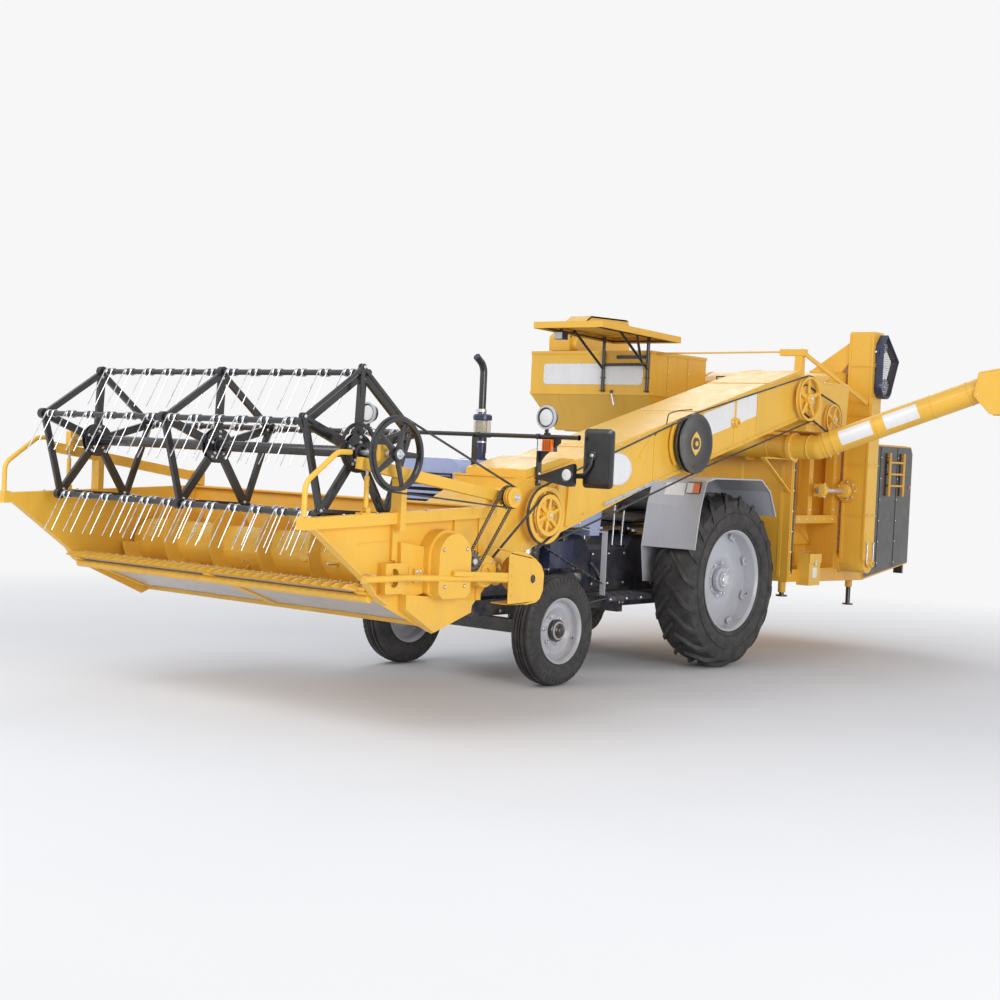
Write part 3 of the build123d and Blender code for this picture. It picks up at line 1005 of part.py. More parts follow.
# name: x, y, height of the foot's top
STANDS = {"front": (BODY_FRONT_X - 35.0, 880.0, 520.0), "rear": (-1950.0, 850.0, 400.0)}
with BuildPart() as body_shell:
    body = [(BODY_FRONT_X, BODY_FLOOR_Z + 25), (BODY_FRONT_X, BODY_TOP_Z), (BODY_BACK_X + 40, BODY_TOP_Z),
            (BODY_BACK_X, BODY_TOP_Z - 60), (BODY_BACK_X, BODY_FLOOR_Z + 120), (-2000, BODY_FLOOR_Z)]
    plate(body, BODY_LEFT, BODY_W)
    with BuildSketch(side(BODY_LEFT - SHEET)) as inside:
        with BuildLine():
            Polyline(*body, close=True)
        make_face()
        offset(amount=-SHEET, kind=Kind.INTERSECTION)
    extrude(inside.sketch, amount=BODY_W - 2 * SHEET, mode=Mode.SUBTRACT)
    block(BAY_X, (BODY_LEFT - SHEET - 1, BODY_LEFT + 1), BAY_Z, mode=Mode.SUBTRACT)
    bay_in = BODY_LEFT - BAY_DEPTH
    for x0, x1, y0, y1, z0, z1 in (
            (BAY_X[0] - SHEET, BAY_X[1] + SHEET, bay_in - SHEET, bay_in, BAY_Z[0] - SHEET, BAY_Z[1] + SHEET),
            (BAY_X[0] - SHEET, BAY_X[0], bay_in, BODY_LEFT, BAY_Z[0] - SHEET, BAY_Z[1] + SHEET),
            (BAY_X[1], BAY_X[1] + SHEET, bay_in, BODY_LEFT, BAY_Z[0] - SHEET, BAY_Z[1] + SHEET),
            (BAY_X[0], BAY_X[1], bay_in, BODY_LEFT, BAY_Z[0] - SHEET, BAY_Z[0]),
            (BAY_X[0], BAY_X[1], bay_in, BODY_LEFT, BAY_Z[1], BAY_Z[1] + SHEET)):
        block((x0, x1), (y0, y1), (z0, z1))
    rod((CROSS_X, BODY_LEFT - SHEET, CROSS_Z), (CROSS_X, ELEVATOR_RIGHT - SEAT, CROSS_Z), 88)
    rod((FAR_X - ELEVATOR_L / 2, FAR_LEFT + SEAT, CROSS_Z), (FAR_X - ELEVATOR_L / 2, BODY_RIGHT + SHEET, CROSS_Z), 88)
    # channels across the bay, with the two bearings and the flanged shaft on them
    block(BAY_X, (BODY_LEFT - 35, BODY_LEFT + 15), (1085, 1148))
    for x in (-1010, -1410):
        block((x - 65, x), (BODY_LEFT - 73, BODY_LEFT), (1147, BAY_Z[1]))
        block((x - 60, x - 5), (BODY_LEFT, SHAFT_Y), (SHAFT_Z - 42, SHAFT_Z + 42))
        rod((x - 60, SHAFT_Y, SHAFT_Z), (x - 5, SHAFT_Y, SHAFT_Z), 42)
    rod((-1494, SHAFT_Y, SHAFT_Z), (-985, SHAFT_Y, SHAFT_Z), 22)
    rod((-1494, SHAFT_Y, SHAFT_Z), (-1480, SHAFT_Y, SHAFT_Z), 91)
    # rear side panel with its ladder
    plate([(-1990, 655), (-1990, BODY_TOP_Z - 4), (BODY_BACK_X + 44, BODY_TOP_Z - 4), (BODY_BACK_X + 10, BODY_TOP_Z - 60),
           (BODY_BACK_X + 10, BODY_FLOOR_Z + 126), (-2020, 612)], BODY_LEFT + 8, 9)
    for x in (-2370, -2640):
        rod((x, BODY_LEFT + 30, 1310), (x, BODY_LEFT + 30, 1680), 13)
        for z in (1340, 1650):
            rod((x, BODY_LEFT, z), (x, BODY_LEFT + 30, z), 10)
    for z in (1400, 1500, 1600):
        rod((-2370, BODY_LEFT + 30, z), (-2640, BODY_LEFT + 30, z), 9)
    for x, y, z in STANDS.values():
        rod((x, y, BODY_FLOOR_Z - 60), (x, y, BODY_FLOOR_Z + 60), STAND_R + 10)
        rod((x, y, BODY_FLOOR_Z - 61), (x, y, BODY_FLOOR_Z + 61), STAND_R + RUNNING, mode=Mode.SUBTRACT)
finish(body_shell, "body_shell")

# Drum housing over the body, with the inlet duct from the feeder and the lift shaft
DRUM_LEFT = BODY_LEFT + 20
DRUM_W = BODY_W - 80
LID_START = 42.0
LID_END = 85.0


with BuildPart() as drum_housing:
    inlet_x = FEEDER_BACK_X - 40
    inlet = [(inlet_x, 1800), (inlet_x, 2190), (DRUM_X + DRUM_R - 40, 2190), (DRUM_X + DRUM_R - 2, 1800)]
    plate(inlet, FEEDER_LEFT - 20, FEEDER_W - 40)
    for grow, mode in ((-SEAT, Mode.SUBTRACT), (0.0, Mode.ADD), (SHEET, Mode.SUBTRACT)):
        with BuildSketch(side(DRUM_LEFT - grow)) as drum:
            with Locations((DRUM_X, DRUM_Z)):
                Circle(DRUM_R - grow)
            with Locations((DRUM_X, (DRUM_Z + BODY_TOP_Z + SEAT) / 2)):
                Rectangle(2 * (DRUM_R - grow), DRUM_Z - BODY_TOP_Z - SEAT - 2 * grow)
            with Locations((DRUM_X, BODY_TOP_Z + SEAT + grow - 150)):
                Rectangle(2 * DRUM_R + 10, 300, mode=Mode.SUBTRACT)
        extrude(drum.sketch, amount=DRUM_W - 2 * grow, mode=mode)
    arc_plate((DRUM_X, DRUM_Z), DRUM_R - 20, DRUM_R + 1, LID_START + 4, LID_END - 4, DRUM_LEFT - 40, DRUM_W - 80, Mode.SUBTRACT)
    # cheeks that carry the lift shaft on both sides of the feeder's end
    for y0, y1 in ((FEEDER_LEFT - 20 + SEAT, FEEDER_LEFT + 17), (FEEDER_LEFT - FEEDER_W - 17, FEEDER_LEFT - FEEDER_W + 20 - SEAT)):
        block((inlet_x - 160, inlet_x), (y0, y1), (1860, 2180))
    for left in (FEEDER_LEFT + 17, FEEDER_LEFT - FEEDER_W - 5):
        plate([(inlet_x + SEAT, 1850), (inlet_x + SEAT, 2186), (LIFT_X - 30, 2122), (LIFT_X + 45, 2064),
               (LIFT_X + 45, 2010)], left, 12)
    disc((LIFT_X, LIFT_Z), FEEDER_LEFT + 20, FEEDER_W + 40, SHAFT_R + SEAT, mode=Mode.SUBTRACT)
    rod((LIFT_X, FEEDER_LEFT - FEEDER_W - 30, LIFT_Z), (LIFT_X, FEEDER_LEFT + 82, LIFT_Z), SHAFT_R)
    rod((SECOND_X, FEEDER_LEFT - 20 + SEAT, SECOND_Z), (SECOND_X, FEEDER_LEFT + 46, SECOND_Z), SHAFT_R)
    # post with its head, the strut to the elevator and the tie to the tank
    plate([(-760, 2190 + SEAT), (-755, 2391), (-705, 2391), (-690, 2190 + SEAT)], 990, 60)
    beam((-720, 1000, 2410), (ELEVATOR_X + 12, ELEVATOR_RIGHT + ELEVATOR_W - 30, 2060), 14, 32)
    rod((-720, 800, 2420), (TANK_FRONT_X - 60, TANK_LEFT + SEAT + 3, 2385), 7)
    block((-760 - SEAT, -700 + SEAT), (795 - SEAT, 1010 + SEAT), (2390 - SEAT, 2440), mode=Mode.SUBTRACT)
    block((-760, -700), (795, 1010), (2390, 2440))
finish(drum_housing, "drum_housing")

# Inspection lid over the drum, hinged along its top edge
LID_IN = DRUM_R + SEAT
with BuildPart() as drum_lid:
    arc_plate((DRUM_X, DRUM_Z), LID_IN, LID_IN + SHEET, LID_START, LID_END, DRUM_LEFT - 25, DRUM_W - 50)
    hinge = (DRUM_X + (LID_IN + 12) * cos(radians(LID_END)), DRUM_Z + (LID_IN + 12) * sin(radians(LID_END)))
    for y in (DRUM_LEFT - 200, DRUM_LEFT - DRUM_W / 2 + 50, DRUM_LEFT - DRUM_W + 300):
        disc(hinge, y, 100, 10)
finish(drum_lid, "drum_lid")

# Belt from the top pulley's shaft back to the second pulley
with BuildPart() as rear_belt:
    belt_loop([(SECOND_X, SECOND_Z, 120 + SEAT), (LIFT_X, LIFT_Z, REAR_GROOVE_R + SEAT)], FEEDER_LEFT + 37,
              BELT_W, BELT_T)
finish(rear_belt, "rear_belt")

# Elevators: the left one with foot, head and chute to the drum, the right one with its head over the tank
FAR_HEAD_Z = TANK_TOP_Z + 15.0
FAR_HEAD = [(FAR_X - ELEVATOR_L, FAR_HEAD_Z), (FAR_X - ELEVATOR_L, 2690), (FAR_X - ELEVATOR_L + 60, 2750), (-720, 2738),
            (-610, 2668), (-430, 2540), (-430, FAR_HEAD_Z)]
with BuildPart() as elevators:
    back = ELEVATOR_X - ELEVATOR_L
    # front face, right face, top, left face of the foot's bearing
    for front_x, right, top, bearing in (
            (ELEVATOR_X, ELEVATOR_RIGHT, ELEVATOR_TOP_Z, ELEVATOR_RIGHT + ELEVATOR_W + 12),
            (FAR_X, FAR_LEFT - ELEVATOR_W, FAR_HEAD_Z - SEAT, FAR_LEFT - ELEVATOR_W + 1)):
        leg_back = front_x - ELEVATOR_L
        block((leg_back, front_x), (right, right + ELEVATOR_W), (ELEVATOR_FOOT_Z + 90, top))
        disc((front_x - ELEVATOR_L / 2, ELEVATOR_FOOT_Z + 90), right + ELEVATOR_W, ELEVATOR_W, ELEVATOR_L / 2)
        block((leg_back + SHEET, front_x - SHEET), (right + SHEET, right + ELEVATOR_W - SHEET),
              (ELEVATOR_FOOT_Z + 90, top - SHEET), mode=Mode.SUBTRACT)
        disc((front_x - ELEVATOR_L / 2, ELEVATOR_FOOT_Z + 90), bearing, 13, 34)
    plate(FAR_HEAD, FAR_LEFT, ELEVATOR_W)
    disc((-520, 2475), FAR_LEFT + 50, 50 - SEAT, 62)
    block((FAR_X - 1, TANK_FRONT_X - TANK_L - SEAT), (FAR_LEFT - 150, FAR_LEFT - 60), (2180, 2260))
    with BuildSketch(front(back + 10)) as chute:
        with BuildLine():
            Polyline((ELEVATOR_RIGHT + 1, 2560), (ELEVATOR_RIGHT + 1, 2400), (850, 2240), (640, 2240),
                     (640, 2330), close=True)
        make_face()
    extrude(chute.sketch, amount=ELEVATOR_L - 20)
    disc((DRUM_X, DRUM_Z), DRUM_LEFT + 10, DRUM_W, DRUM_R + SEAT, mode=Mode.SUBTRACT)
    # gusset at the strut's lower end, and the chain wheels of the head's drive
    outer = ELEVATOR_RIGHT + ELEVATOR_W
    plate([(ELEVATOR_X - 110, 2062), (ELEVATOR_X, 2062), (ELEVATOR_X, 1960), (ELEVATOR_X - 150, 1945)], outer + 6, 7)
    for x, z, radius in ((GUARD_X, GUARD_Z, 62), (GUARD_X + 30, GUARD_Z + 320, 36)):
        disc((x, z), outer + 46, 47, 14)
        disc((x, z), outer + 44, 10, radius)
finish(elevators, "elevators")

# Chain guard on the elevator's head: a teardrop band
with BuildPart() as guards:
    for inset, mode in ((0.0, Mode.ADD), (SHEET, Mode.SUBTRACT)):
        with BuildSketch(side(ELEVATOR_RIGHT + ELEVATOR_W + 70 + inset)) as guard:
            with Locations((GUARD_X, GUARD_Z)):
                Circle(95)
            with BuildLine():
                Polyline((GUARD_X + 92, GUARD_Z - 25), (GUARD_X + 90, GUARD_Z + 340), (GUARD_X + 20, GUARD_Z + 420),
                         (GUARD_X - 200, GUARD_Z + 220), (GUARD_X - 90, GUARD_Z - 25), close=True)
            make_face()
            offset(amount=-inset)
        extrude(guard.sketch, amount=70 - SEAT + 2 * inset, mode=mode)
finish(guards, "guards")

# Unloading auger: fixed crosswise tube with its swivel ring
with BuildPart() as unloading_tube:
    r = SPOUT_TUBE_D / 2
    rod((SPOUT_X, -760, SPOUT_Z), (SPOUT_X, SPOUT_RING_Y, SPOUT_Z), r, r - SHEET)
    rod((SPOUT_X, SPOUT_RING_Y - 14, SPOUT_Z), (SPOUT_X, SPOUT_RING_Y, SPOUT_Z), r + 22, r - SHEET)
    for y in (600, -100):
        plate([(BODY_FRONT_X + SEAT, 1560), (BODY_FRONT_X + SEAT, 1700), (SPOUT_X, SPOUT_Z - r + 2),
               (SPOUT_X - 20, SPOUT_Z - r - 20)], y, 20)
    beam((BODY_FRONT_X + SEAT, 915, SPOUT_Z - r - 4), (SPOUT_X + 280, 915, SPOUT_Z - r - 4), 40, 12)
    beam((SPOUT_X + 280, 915, SPOUT_Z - r - 6), (BODY_FRONT_X + SEAT + 3.2, 915, 1330), 40, 12)
finish(unloading_tube, "unloading_tube")

# Unloading boom: elbow, tube and spout box on the swivel ring
BOX_W = 230.0
SWIVEL_GAP = 0.5
turn, side_lean = radians(SPOUT_TURN_DEG), radians(SPOUT_SIDE_DEG)
BOOM_DIR = (-sin(side_lean) * cos(turn), cos(side_lean), sin(side_lean) * sin(turn))
with BuildPart() as unloading_boom:
    r = SPOUT_TUBE_D / 2
    elbow = (SPOUT_X, SPOUT_ELBOW_Y, SPOUT_Z)
    tip = tuple(c + SPOUT_L * w for c, w in zip(elbow, BOOM_DIR))
    for radius, mode in ((r, Mode.ADD), (r - SHEET, Mode.SUBTRACT)):
        inset = r - radius
        rod((SPOUT_X, SPOUT_RING_Y + SWIVEL_GAP - inset, SPOUT_Z), elbow, radius, mode=mode)
        rod(elbow, tuple(c + (SPOUT_L + inset) * w for c, w in zip(elbow, BOOM_DIR)), radius, mode=mode)
        with Locations(place(*elbow)):
            Sphere(radius, mode=mode)
    rod((SPOUT_X, SPOUT_RING_Y + SWIVEL_GAP, SPOUT_Z), (SPOUT_X, SPOUT_RING_Y + 19, SPOUT_Z), r + 22, r - SHEET)
    flat = hypot(BOOM_DIR[0], BOOM_DIR[1])
    along = (BOOM_DIR[0] / flat, BOOM_DIR[1] / flat, 0)
    across = (along[1], -along[0], 0)
    for wall, mode in ((0, Mode.ADD), (SHEET, Mode.SUBTRACT)):
        with BuildSketch(Plane(origin=place(*tip), x_dir=along, z_dir=across).offset(wall - BOX_W / 2)) as box:
            with BuildLine():
                Polyline((-30 + wall, 115 - wall), (190 - wall, 160 - wall), (265 - wall, 30),
                         (230 - wall, -190 - 2 * wall), (60 + wall, -190 - 2 * wall), (-60 + wall, -60), close=True)
            make_face()
        extrude(box.sketch, amount=BOX_W - 2 * wall, mode=mode)
    rod(elbow, tuple(c + (SPOUT_L + 60) * w for c, w in zip(elbow, BOOM_DIR)), r - SHEET, mode=Mode.SUBTRACT)
finish(unloading_boom, "unloading_boom")

# Parking stands: legs with feet that slide in sleeves on the body
for name, (x, y, z) in STANDS.items():
    with BuildPart() as stand:
        rod((x, y, z), (x, y, z + z + 150), STAND_R)
        rod((x, y, z - 12), (x, y, z), 45)
    finish(stand, f"stand_{name}")

# Toolbox on the body's front corner
with BuildPart() as toolbox:
    block((BODY_FRONT_X - 330, BODY_FRONT_X - 150), (BODY_LEFT + SEAT, BODY_LEFT + 110), (600, 850))
finish(toolbox, "toolbox")
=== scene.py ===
"""Outer pieces and finishes of a tractor-mounted combine harvester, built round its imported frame."""

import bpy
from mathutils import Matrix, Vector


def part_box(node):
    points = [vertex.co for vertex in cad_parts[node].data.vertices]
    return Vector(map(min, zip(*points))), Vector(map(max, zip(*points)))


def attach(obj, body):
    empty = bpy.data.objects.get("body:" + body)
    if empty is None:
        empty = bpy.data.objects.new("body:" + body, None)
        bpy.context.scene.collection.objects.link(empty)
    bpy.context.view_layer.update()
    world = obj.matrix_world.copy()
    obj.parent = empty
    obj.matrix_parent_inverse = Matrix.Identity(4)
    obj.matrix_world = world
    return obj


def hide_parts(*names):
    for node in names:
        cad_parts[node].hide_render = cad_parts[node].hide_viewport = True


bl_info = {
    "name": "Tractor-mounted combine harvester",
    "version": (1, 0, 0),
    "blender": (4, 5, 0),
    "location": "View3D > Sidebar > Harvester",
    "description": "Adds outer pieces, finishes and the studio of a tractor-mounted combine harvester",
    "category": "Add Mesh",
}

from math import acos, atan2, cos, hypot, pi, radians, sin

import bmesh
import bpy
from bpy.props import FloatProperty, FloatVectorProperty, IntProperty, PointerProperty
from mathutils import Matrix, Vector

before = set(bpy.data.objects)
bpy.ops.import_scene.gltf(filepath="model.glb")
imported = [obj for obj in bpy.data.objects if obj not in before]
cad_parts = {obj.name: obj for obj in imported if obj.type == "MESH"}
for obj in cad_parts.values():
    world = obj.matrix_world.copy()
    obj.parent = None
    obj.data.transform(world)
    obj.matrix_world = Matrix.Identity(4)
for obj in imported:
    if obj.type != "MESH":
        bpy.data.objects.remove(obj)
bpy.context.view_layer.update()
AHEAD, ACROSS, UP = (1, 0, 0), (0, 1, 0), (0, 0, 1)
CHAIN_PITCH = 25.4
KNIFE_PITCH = 76.2
SHAFT_HOLE = 17.6

# Places count in millimetres from the rear axle, the tractor's centre line and the ground
REAR_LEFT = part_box("tyre_rear_left")
REAR_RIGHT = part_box("tyre_rear_right")
AXLE_X = (REAR_LEFT[0].x + REAR_LEFT[1].x) / 2
CENTRE_Y = (REAR_LEFT[0].y + REAR_RIGHT[1].y) / 2


def at(x, y, z):
    "place in the row frame, in metres"
    return Vector((AXLE_X + x / 1000, CENTRE_Y + y / 1000, z / 1000))


# Shape building


class Form:
    "mesh under construction, in millimetres from the rear axle, with a finish for each face"

    def __init__(self):
        self.verts = []
        self.faces = []
        self.marks = []

    def add(self, verts, faces, mark=0):
        base = len(self.verts)
        self.verts += [tuple(v) for v in verts]
        self.faces += [[base + i for i in f] for f in faces]
        self.marks += [mark] * len(faces)

    def box(self, x, y, z, mark=0):
        "box between the pairs x, y and z"
        corners = [(a, b, c) for c in z for b in y for a in x]
        self.add(corners, [(0, 2, 3, 1), (4, 5, 7, 6), (0, 1, 5, 4), (2, 6, 7, 3), (0, 4, 6, 2),
                           (1, 3, 7, 5)], mark)

    def prism(self, outline, depth, mark=0):
        "flat outline of places carried along the vector depth"
        n = len(outline)
        low = [Vector(p) for p in outline]
        high = [p + Vector(depth) for p in low]
        faces = [list(range(n))[::-1], list(range(n, 2 * n))]
        faces += [(i, (i + 1) % n, n + (i + 1) % n, n + i) for i in range(n)]
        normal = Vector((0, 0, 0))
        for i in range(n):
            normal += low[i].cross(low[(i + 1) % n])
        if normal.dot(Vector(depth)) < 0:
            faces = [f[::-1] for f in faces]
        self.add(low + high, faces, mark)

    def side_plate(self, outline, y, thick, mark=0):
        "plate of (x, z) corners whose left face is at y"
        self.prism([(x, y - thick, z) for x, z in outline], (0, thick, 0), mark)

    def loop(self, sections, closed=False, mark=0):
        "skin over sections of equally many points"
        n = len(sections[0])
        verts = [p for s in sections for p in s]
        faces = []
        count = len(sections)
        for k in range(count if closed else count - 1):
            for i in range(n):
                a, b = k * n + i, k * n + (i + 1) % n
                c, d = ((k + 1) % count) * n + (i + 1) % n, ((k + 1) % count) * n + i
                faces.append((a, b, c, d))
        if not closed:
            faces.append(list(range(n))[::-1])
            faces.append([(count - 1) * n + i for i in range(n)])
        self.add(verts, faces, mark)

    def lathe(self, profile, centre, axis=ACROSS, steps=48, mark=0):
        "closed (radius, along) profile turned about an axis through centre"
        w = Vector(axis).normalized()
        u = w.orthogonal().normalized()
        v = w.cross(u)
        c = Vector(centre)
        sections = []
        for k in range(steps):
            turn = 2 * pi * k / steps
            out = u * cos(turn) + v * sin(turn)
            sections.append([c + out * r + w * h for r, h in profile])
        self.loop(sections, closed=True, mark=mark)

    def disc(self, centre, axis, radius, thick, hole=0.0, edge=1.5, steps=32, mark=0):
        "round plate or ring centred on a place"
        h, e = thick / 2, min(edge, thick / 3, radius / 4)
        profile = [(hole, -h), (radius - e, -h), (radius, -h + e), (radius, h - e), (radius - e, h),
                   (hole, h)]
        if hole == 0:
            profile = [(0.01, -h)] + profile[1:5] + [(0.01, h)]
        self.lathe(profile, centre, axis, steps, mark)

    def rod(self, a, b, radius, sides=16, mark=0):
        "round bar between two places"
        a, b = Vector(a), Vector(b)
        self.disc((a + b) / 2, b - a, radius, (b - a).length, 0.0, 1.2, sides, mark)

    def tube(self, points, radius, sides=12, mark=0, section=None, up=None):
        "bar with a round or given section along places"
        pts = [Vector(p) for p in points]
        run = (pts[1] - pts[0]).normalized()
        side = Vector(up).cross(run).normalized() if up else run.orthogonal().normalized()
        shape = section or [(radius * cos(2 * pi * i / sides), radius * sin(2 * pi * i / sides))
                            for i in range(sides)]
        sections = []
        for i, p in enumerate(pts):
            before = (p - pts[i - 1]).normalized() if i else run
            after = (pts[i + 1] - p).normalized() if i + 1 < len(pts) else before
            tangent = (before + after).normalized()
            side = (side - tangent * side.dot(tangent)).normalized()
            lift = tangent.cross(side)
            stretch = 1 / max(0.5, tangent.dot(after))
            bend = after - before
            if bend.length > 1e-6 and section:
                bend.normalize()
                sections.append([p + side * a * (1 + (stretch - 1) * abs(side.dot(bend)))
                                 + lift * b * (1 + (stretch - 1) * abs(lift.dot(bend))) for a, b in shape])
            else:
                sections.append([p + side * a + lift * b for a, b in shape])
        self.loop(sections, mark=mark)

    def beam(self, a, b, width, height, up=UP, mark=0):
        "rectangular bar between two places, its height measured along up"
        half_w, half_h = width / 2, height / 2
        self.tube([a, b], 0, mark=mark, up=up,
                  section=[(-half_w, -half_h), (half_w, -half_h), (half_w, half_h), (-half_w, half_h)])

    def bolt(self, place, axis, size=9.0, head=6.0, mark=0):
        "hexagon head with its washer, standing on a face"
        w = Vector(axis).normalized()
        p = Vector(place)
        self.disc(p + w, w, size * 1.35, 2.0, steps=14, mark=mark)
        self.lathe([(0.01, 1.5), (size, 1.5), (size, head), (size * 0.8, head + 1.2), (0.01, head + 1.2)], p,
                   w, 6, mark)

    def bolts(self, places, axis, size=9.0, head=6.0, mark=0):
        for p in places:
            self.bolt(p, axis, size, head, mark)

    def ball(self, centre, radii, rings=10, steps=20, mark=0):
        "ellipsoid about a place"
        c = Vector(centre)
        verts = [c + Vector((0, 0, -radii[2]))]
        for i in range(1, rings):
            lat = -pi / 2 + pi * i / rings
            for k in range(steps):
                lon = 2 * pi * k / steps
                verts.append(c + Vector((radii[0] * cos(lat) * cos(lon), radii[1] * cos(lat) * sin(lon),
                                         radii[2] * sin(lat))))
        verts.append(c + Vector((0, 0, radii[2])))
        faces = [(0, 1 + (k + 1) % steps, 1 + k) for k in range(steps)]
        for i in range(rings - 2):
            for k in range(steps):
                a, b = 1 + i * steps + k, 1 + i * steps + (k + 1) % steps
                faces.append((a, b, b + steps, a + steps))
        top = len(verts) - 1
        base = 1 + (rings - 2) * steps
        faces += [(base + k, base + (k + 1) % steps, top) for k in range(steps)]
        self.add(verts, faces, mark)


def rounded(points, radius, steps=5):
    "places of a bent bar with its corners rounded to one radius"
    pts = [Vector(p) for p in points]
    out = [pts[0]]
    for before, p, after in zip(pts, pts[1:], pts[2:]):
        u, v = (before - p).normalized(), (after - p).normalized()
        angle = u.angle(v)
        if angle > pi - 0.02:
            out.append(p)
            continue
        reach = min(radius / max(0.05, abs(sin(angle / 2) / cos(angle / 2))), (before - p).length * 0.48,
                    (after - p).length * 0.48)
        start, end = p + u * reach, p + v * reach
        for i in range(steps + 1):
            t = i / steps
            out.append(start * (1 - t) ** 2 + p * 2 * t * (1 - t) + end * t ** 2)
    out.append(pts[-1])
    return out


def on_circle(centre, radius, angle):
    "(x, z) at an angle round a centre (x, z), counted in degrees from forward to up"
    return (centre[0] + radius * cos(radians(angle)), centre[1] + radius * sin(radians(angle)))


def place_form(name, form, finishes, body, bevel=1.5, crease=32.0, replaces=()):
    "makes an object of a form, gives it the finishes named and lets it ride on a body"
    mesh = bpy.data.meshes.new(name)
    mesh.from_pydata([at(*v) for v in form.verts], [], form.faces)
    for word in finishes.split():
        mesh.materials.append(FINISH[word])
    mesh.polygons.foreach_set("material_index", form.marks)
    mesh.polygons.foreach_set("use_smooth", [True] * len(form.faces))
    mesh.set_sharp_from_angle(angle=radians(crease))
    mesh.update()
    piece = bpy.data.objects.new(name, mesh)
    bpy.context.scene.collection.objects.link(piece)
    if bevel:
        round_edges(piece, bevel, 1)
    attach(piece, body)
    if replaces:
        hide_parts(*replaces)
    return piece


def round_edges(piece, width, segments=2):
    "small rounding on a piece's sharp edges"
    bevel = piece.modifiers.new("edges", "BEVEL")
    bevel.width = width / 1000
    bevel.segments = segments
    bevel.limit_method = "ANGLE"
    bevel.angle_limit = radians(40)
    bevel.harden_normals = True
    return bevel


# Finishes


class Finish:
    "procedural material under construction"

    def __init__(self, name, colour, rough, metal=0.0, coat=0.0):
        self.material = bpy.data.materials.new(name)
        self.material.use_nodes = True
        self.tree = self.material.node_tree
        self.shader = self.tree.nodes["Principled BSDF"]
        self.shader.inputs["Metallic"].default_value = metal
        self.shader.inputs["Roughness"].default_value = rough
        self.shader.inputs["Coat Weight"].default_value = coat
        self.shader.inputs["Coat Roughness"].default_value = 0.12
        self.shader.inputs["Base Color"].default_value = (*colour, 1)
        self.colour = colour
        self.out = None
        self.coords = self.node("ShaderNodeTexCoord").outputs["Object"]

    def node(self, kind, **values):
        node = self.tree.nodes.new(kind)
        for key, value in values.items():
            setattr(node, key, value)
        return node

    def link(self, a, b):
        self.tree.links.new(a, b)

    def noise(self, scale, detail=3.0, rough=0.55, stretch=None):
        node = self.node("ShaderNodeTexNoise")
        node.inputs["Scale"].default_value = scale
        node.inputs["Detail"].default_value = detail
        node.inputs["Roughness"].default_value = rough
        source = self.coords
        if stretch:
            mapping = self.node("ShaderNodeMapping")
            mapping.inputs["Scale"].default_value = stretch
            self.link(source, mapping.inputs["Vector"])
            source = mapping.outputs["Vector"]
        self.link(source, node.inputs["Vector"])
        return node.outputs["Fac"]

    def remap(self, value, low, high, to_low=0.0, to_high=1.0):
        node = self.node("ShaderNodeMapRange")
        for key, number in (("From Min", low), ("From Max", high), ("To Min", to_low), ("To Max", to_high)):
            node.inputs[key].default_value = number
        self.link(value, node.inputs["Value"])
        return node.outputs["Result"]

    def times(self, a, b):
        node = self.node("ShaderNodeMath", operation="MULTIPLY")
        for socket, value in zip(node.inputs, (a, b)):
            if isinstance(value, float):
                socket.default_value = value
            else:
                self.link(value, socket)
        return node.outputs[0]

    def tint(self, colour, amount):
        "mixes a colour over what there is by an amount from a texture"
        node = self.node("ShaderNodeMix", data_type="RGBA")
        self.link(amount, node.inputs["Factor"])
        if self.out:
            self.link(self.out, node.inputs["A"])
        else:
            node.inputs["A"].default_value = (*self.colour, 1)
        node.inputs["B"].default_value = (*colour, 1)
        self.out = node.outputs["Result"]

    def height(self):
        node = self.node("ShaderNodeSeparateXYZ")
        self.link(self.coords, node.inputs[0])
        return node.outputs["Z"]

    def bump(self, height, strength, distance):
        node = self.node("ShaderNodeBump")
        node.inputs["Strength"].default_value = strength
        node.inputs["Distance"].default_value = distance
        self.link(height, node.inputs["Height"])
        if self.shader.inputs["Normal"].is_linked:
            self.link(self.shader.inputs["Normal"].links[0].from_socket, node.inputs["Normal"])
        self.link(node.outputs["Normal"], self.shader.inputs["Normal"])

    def roughness(self, value):
        self.link(value, self.shader.inputs["Roughness"])

    def done(self):
        if self.out:
            self.link(self.out, self.shader.inputs["Base Color"])
        return self.material


def paint(name, colour, rough=0.34, dust=0.35, waves=0.5, coat=0.35):
    "sprayed paint on sheet metal, with dust low down, faint streaks and small chips"
    f = Finish(name, colour, rough, coat=coat)
    deep = tuple(c * 0.78 for c in colour)
    f.tint(deep, f.remap(f.noise(2.3, 4), 0.35, 0.75, 0.0, 0.35))
    streaks = f.remap(f.noise(6.0, 5, 0.65, (1, 1, 0.12)), 0.5, 0.8, 0.0, 0.28)
    f.tint(tuple(c * 0.62 + 0.02 for c in colour), streaks)
    low = f.remap(f.height(), 0.25, 1.1, 1.0, 0.0)
    f.tint((0.33, 0.25, 0.16), f.times(f.times(low, f.remap(f.noise(9.0, 6, 0.7), 0.4, 0.75)), dust))
    f.tint((0.30, 0.23, 0.16), f.remap(f.noise(55.0, 2, 0.5), 0.735, 0.76, 0.0, 0.55))
    f.roughness(f.remap(f.noise(14.0, 4), 0.3, 0.75, rough - 0.08, rough + 0.16))
    f.bump(f.noise(420.0, 1), 0.04, 0.0006)
    f.bump(f.noise(2.6, 1), waves, 0.006)
    return f.done()


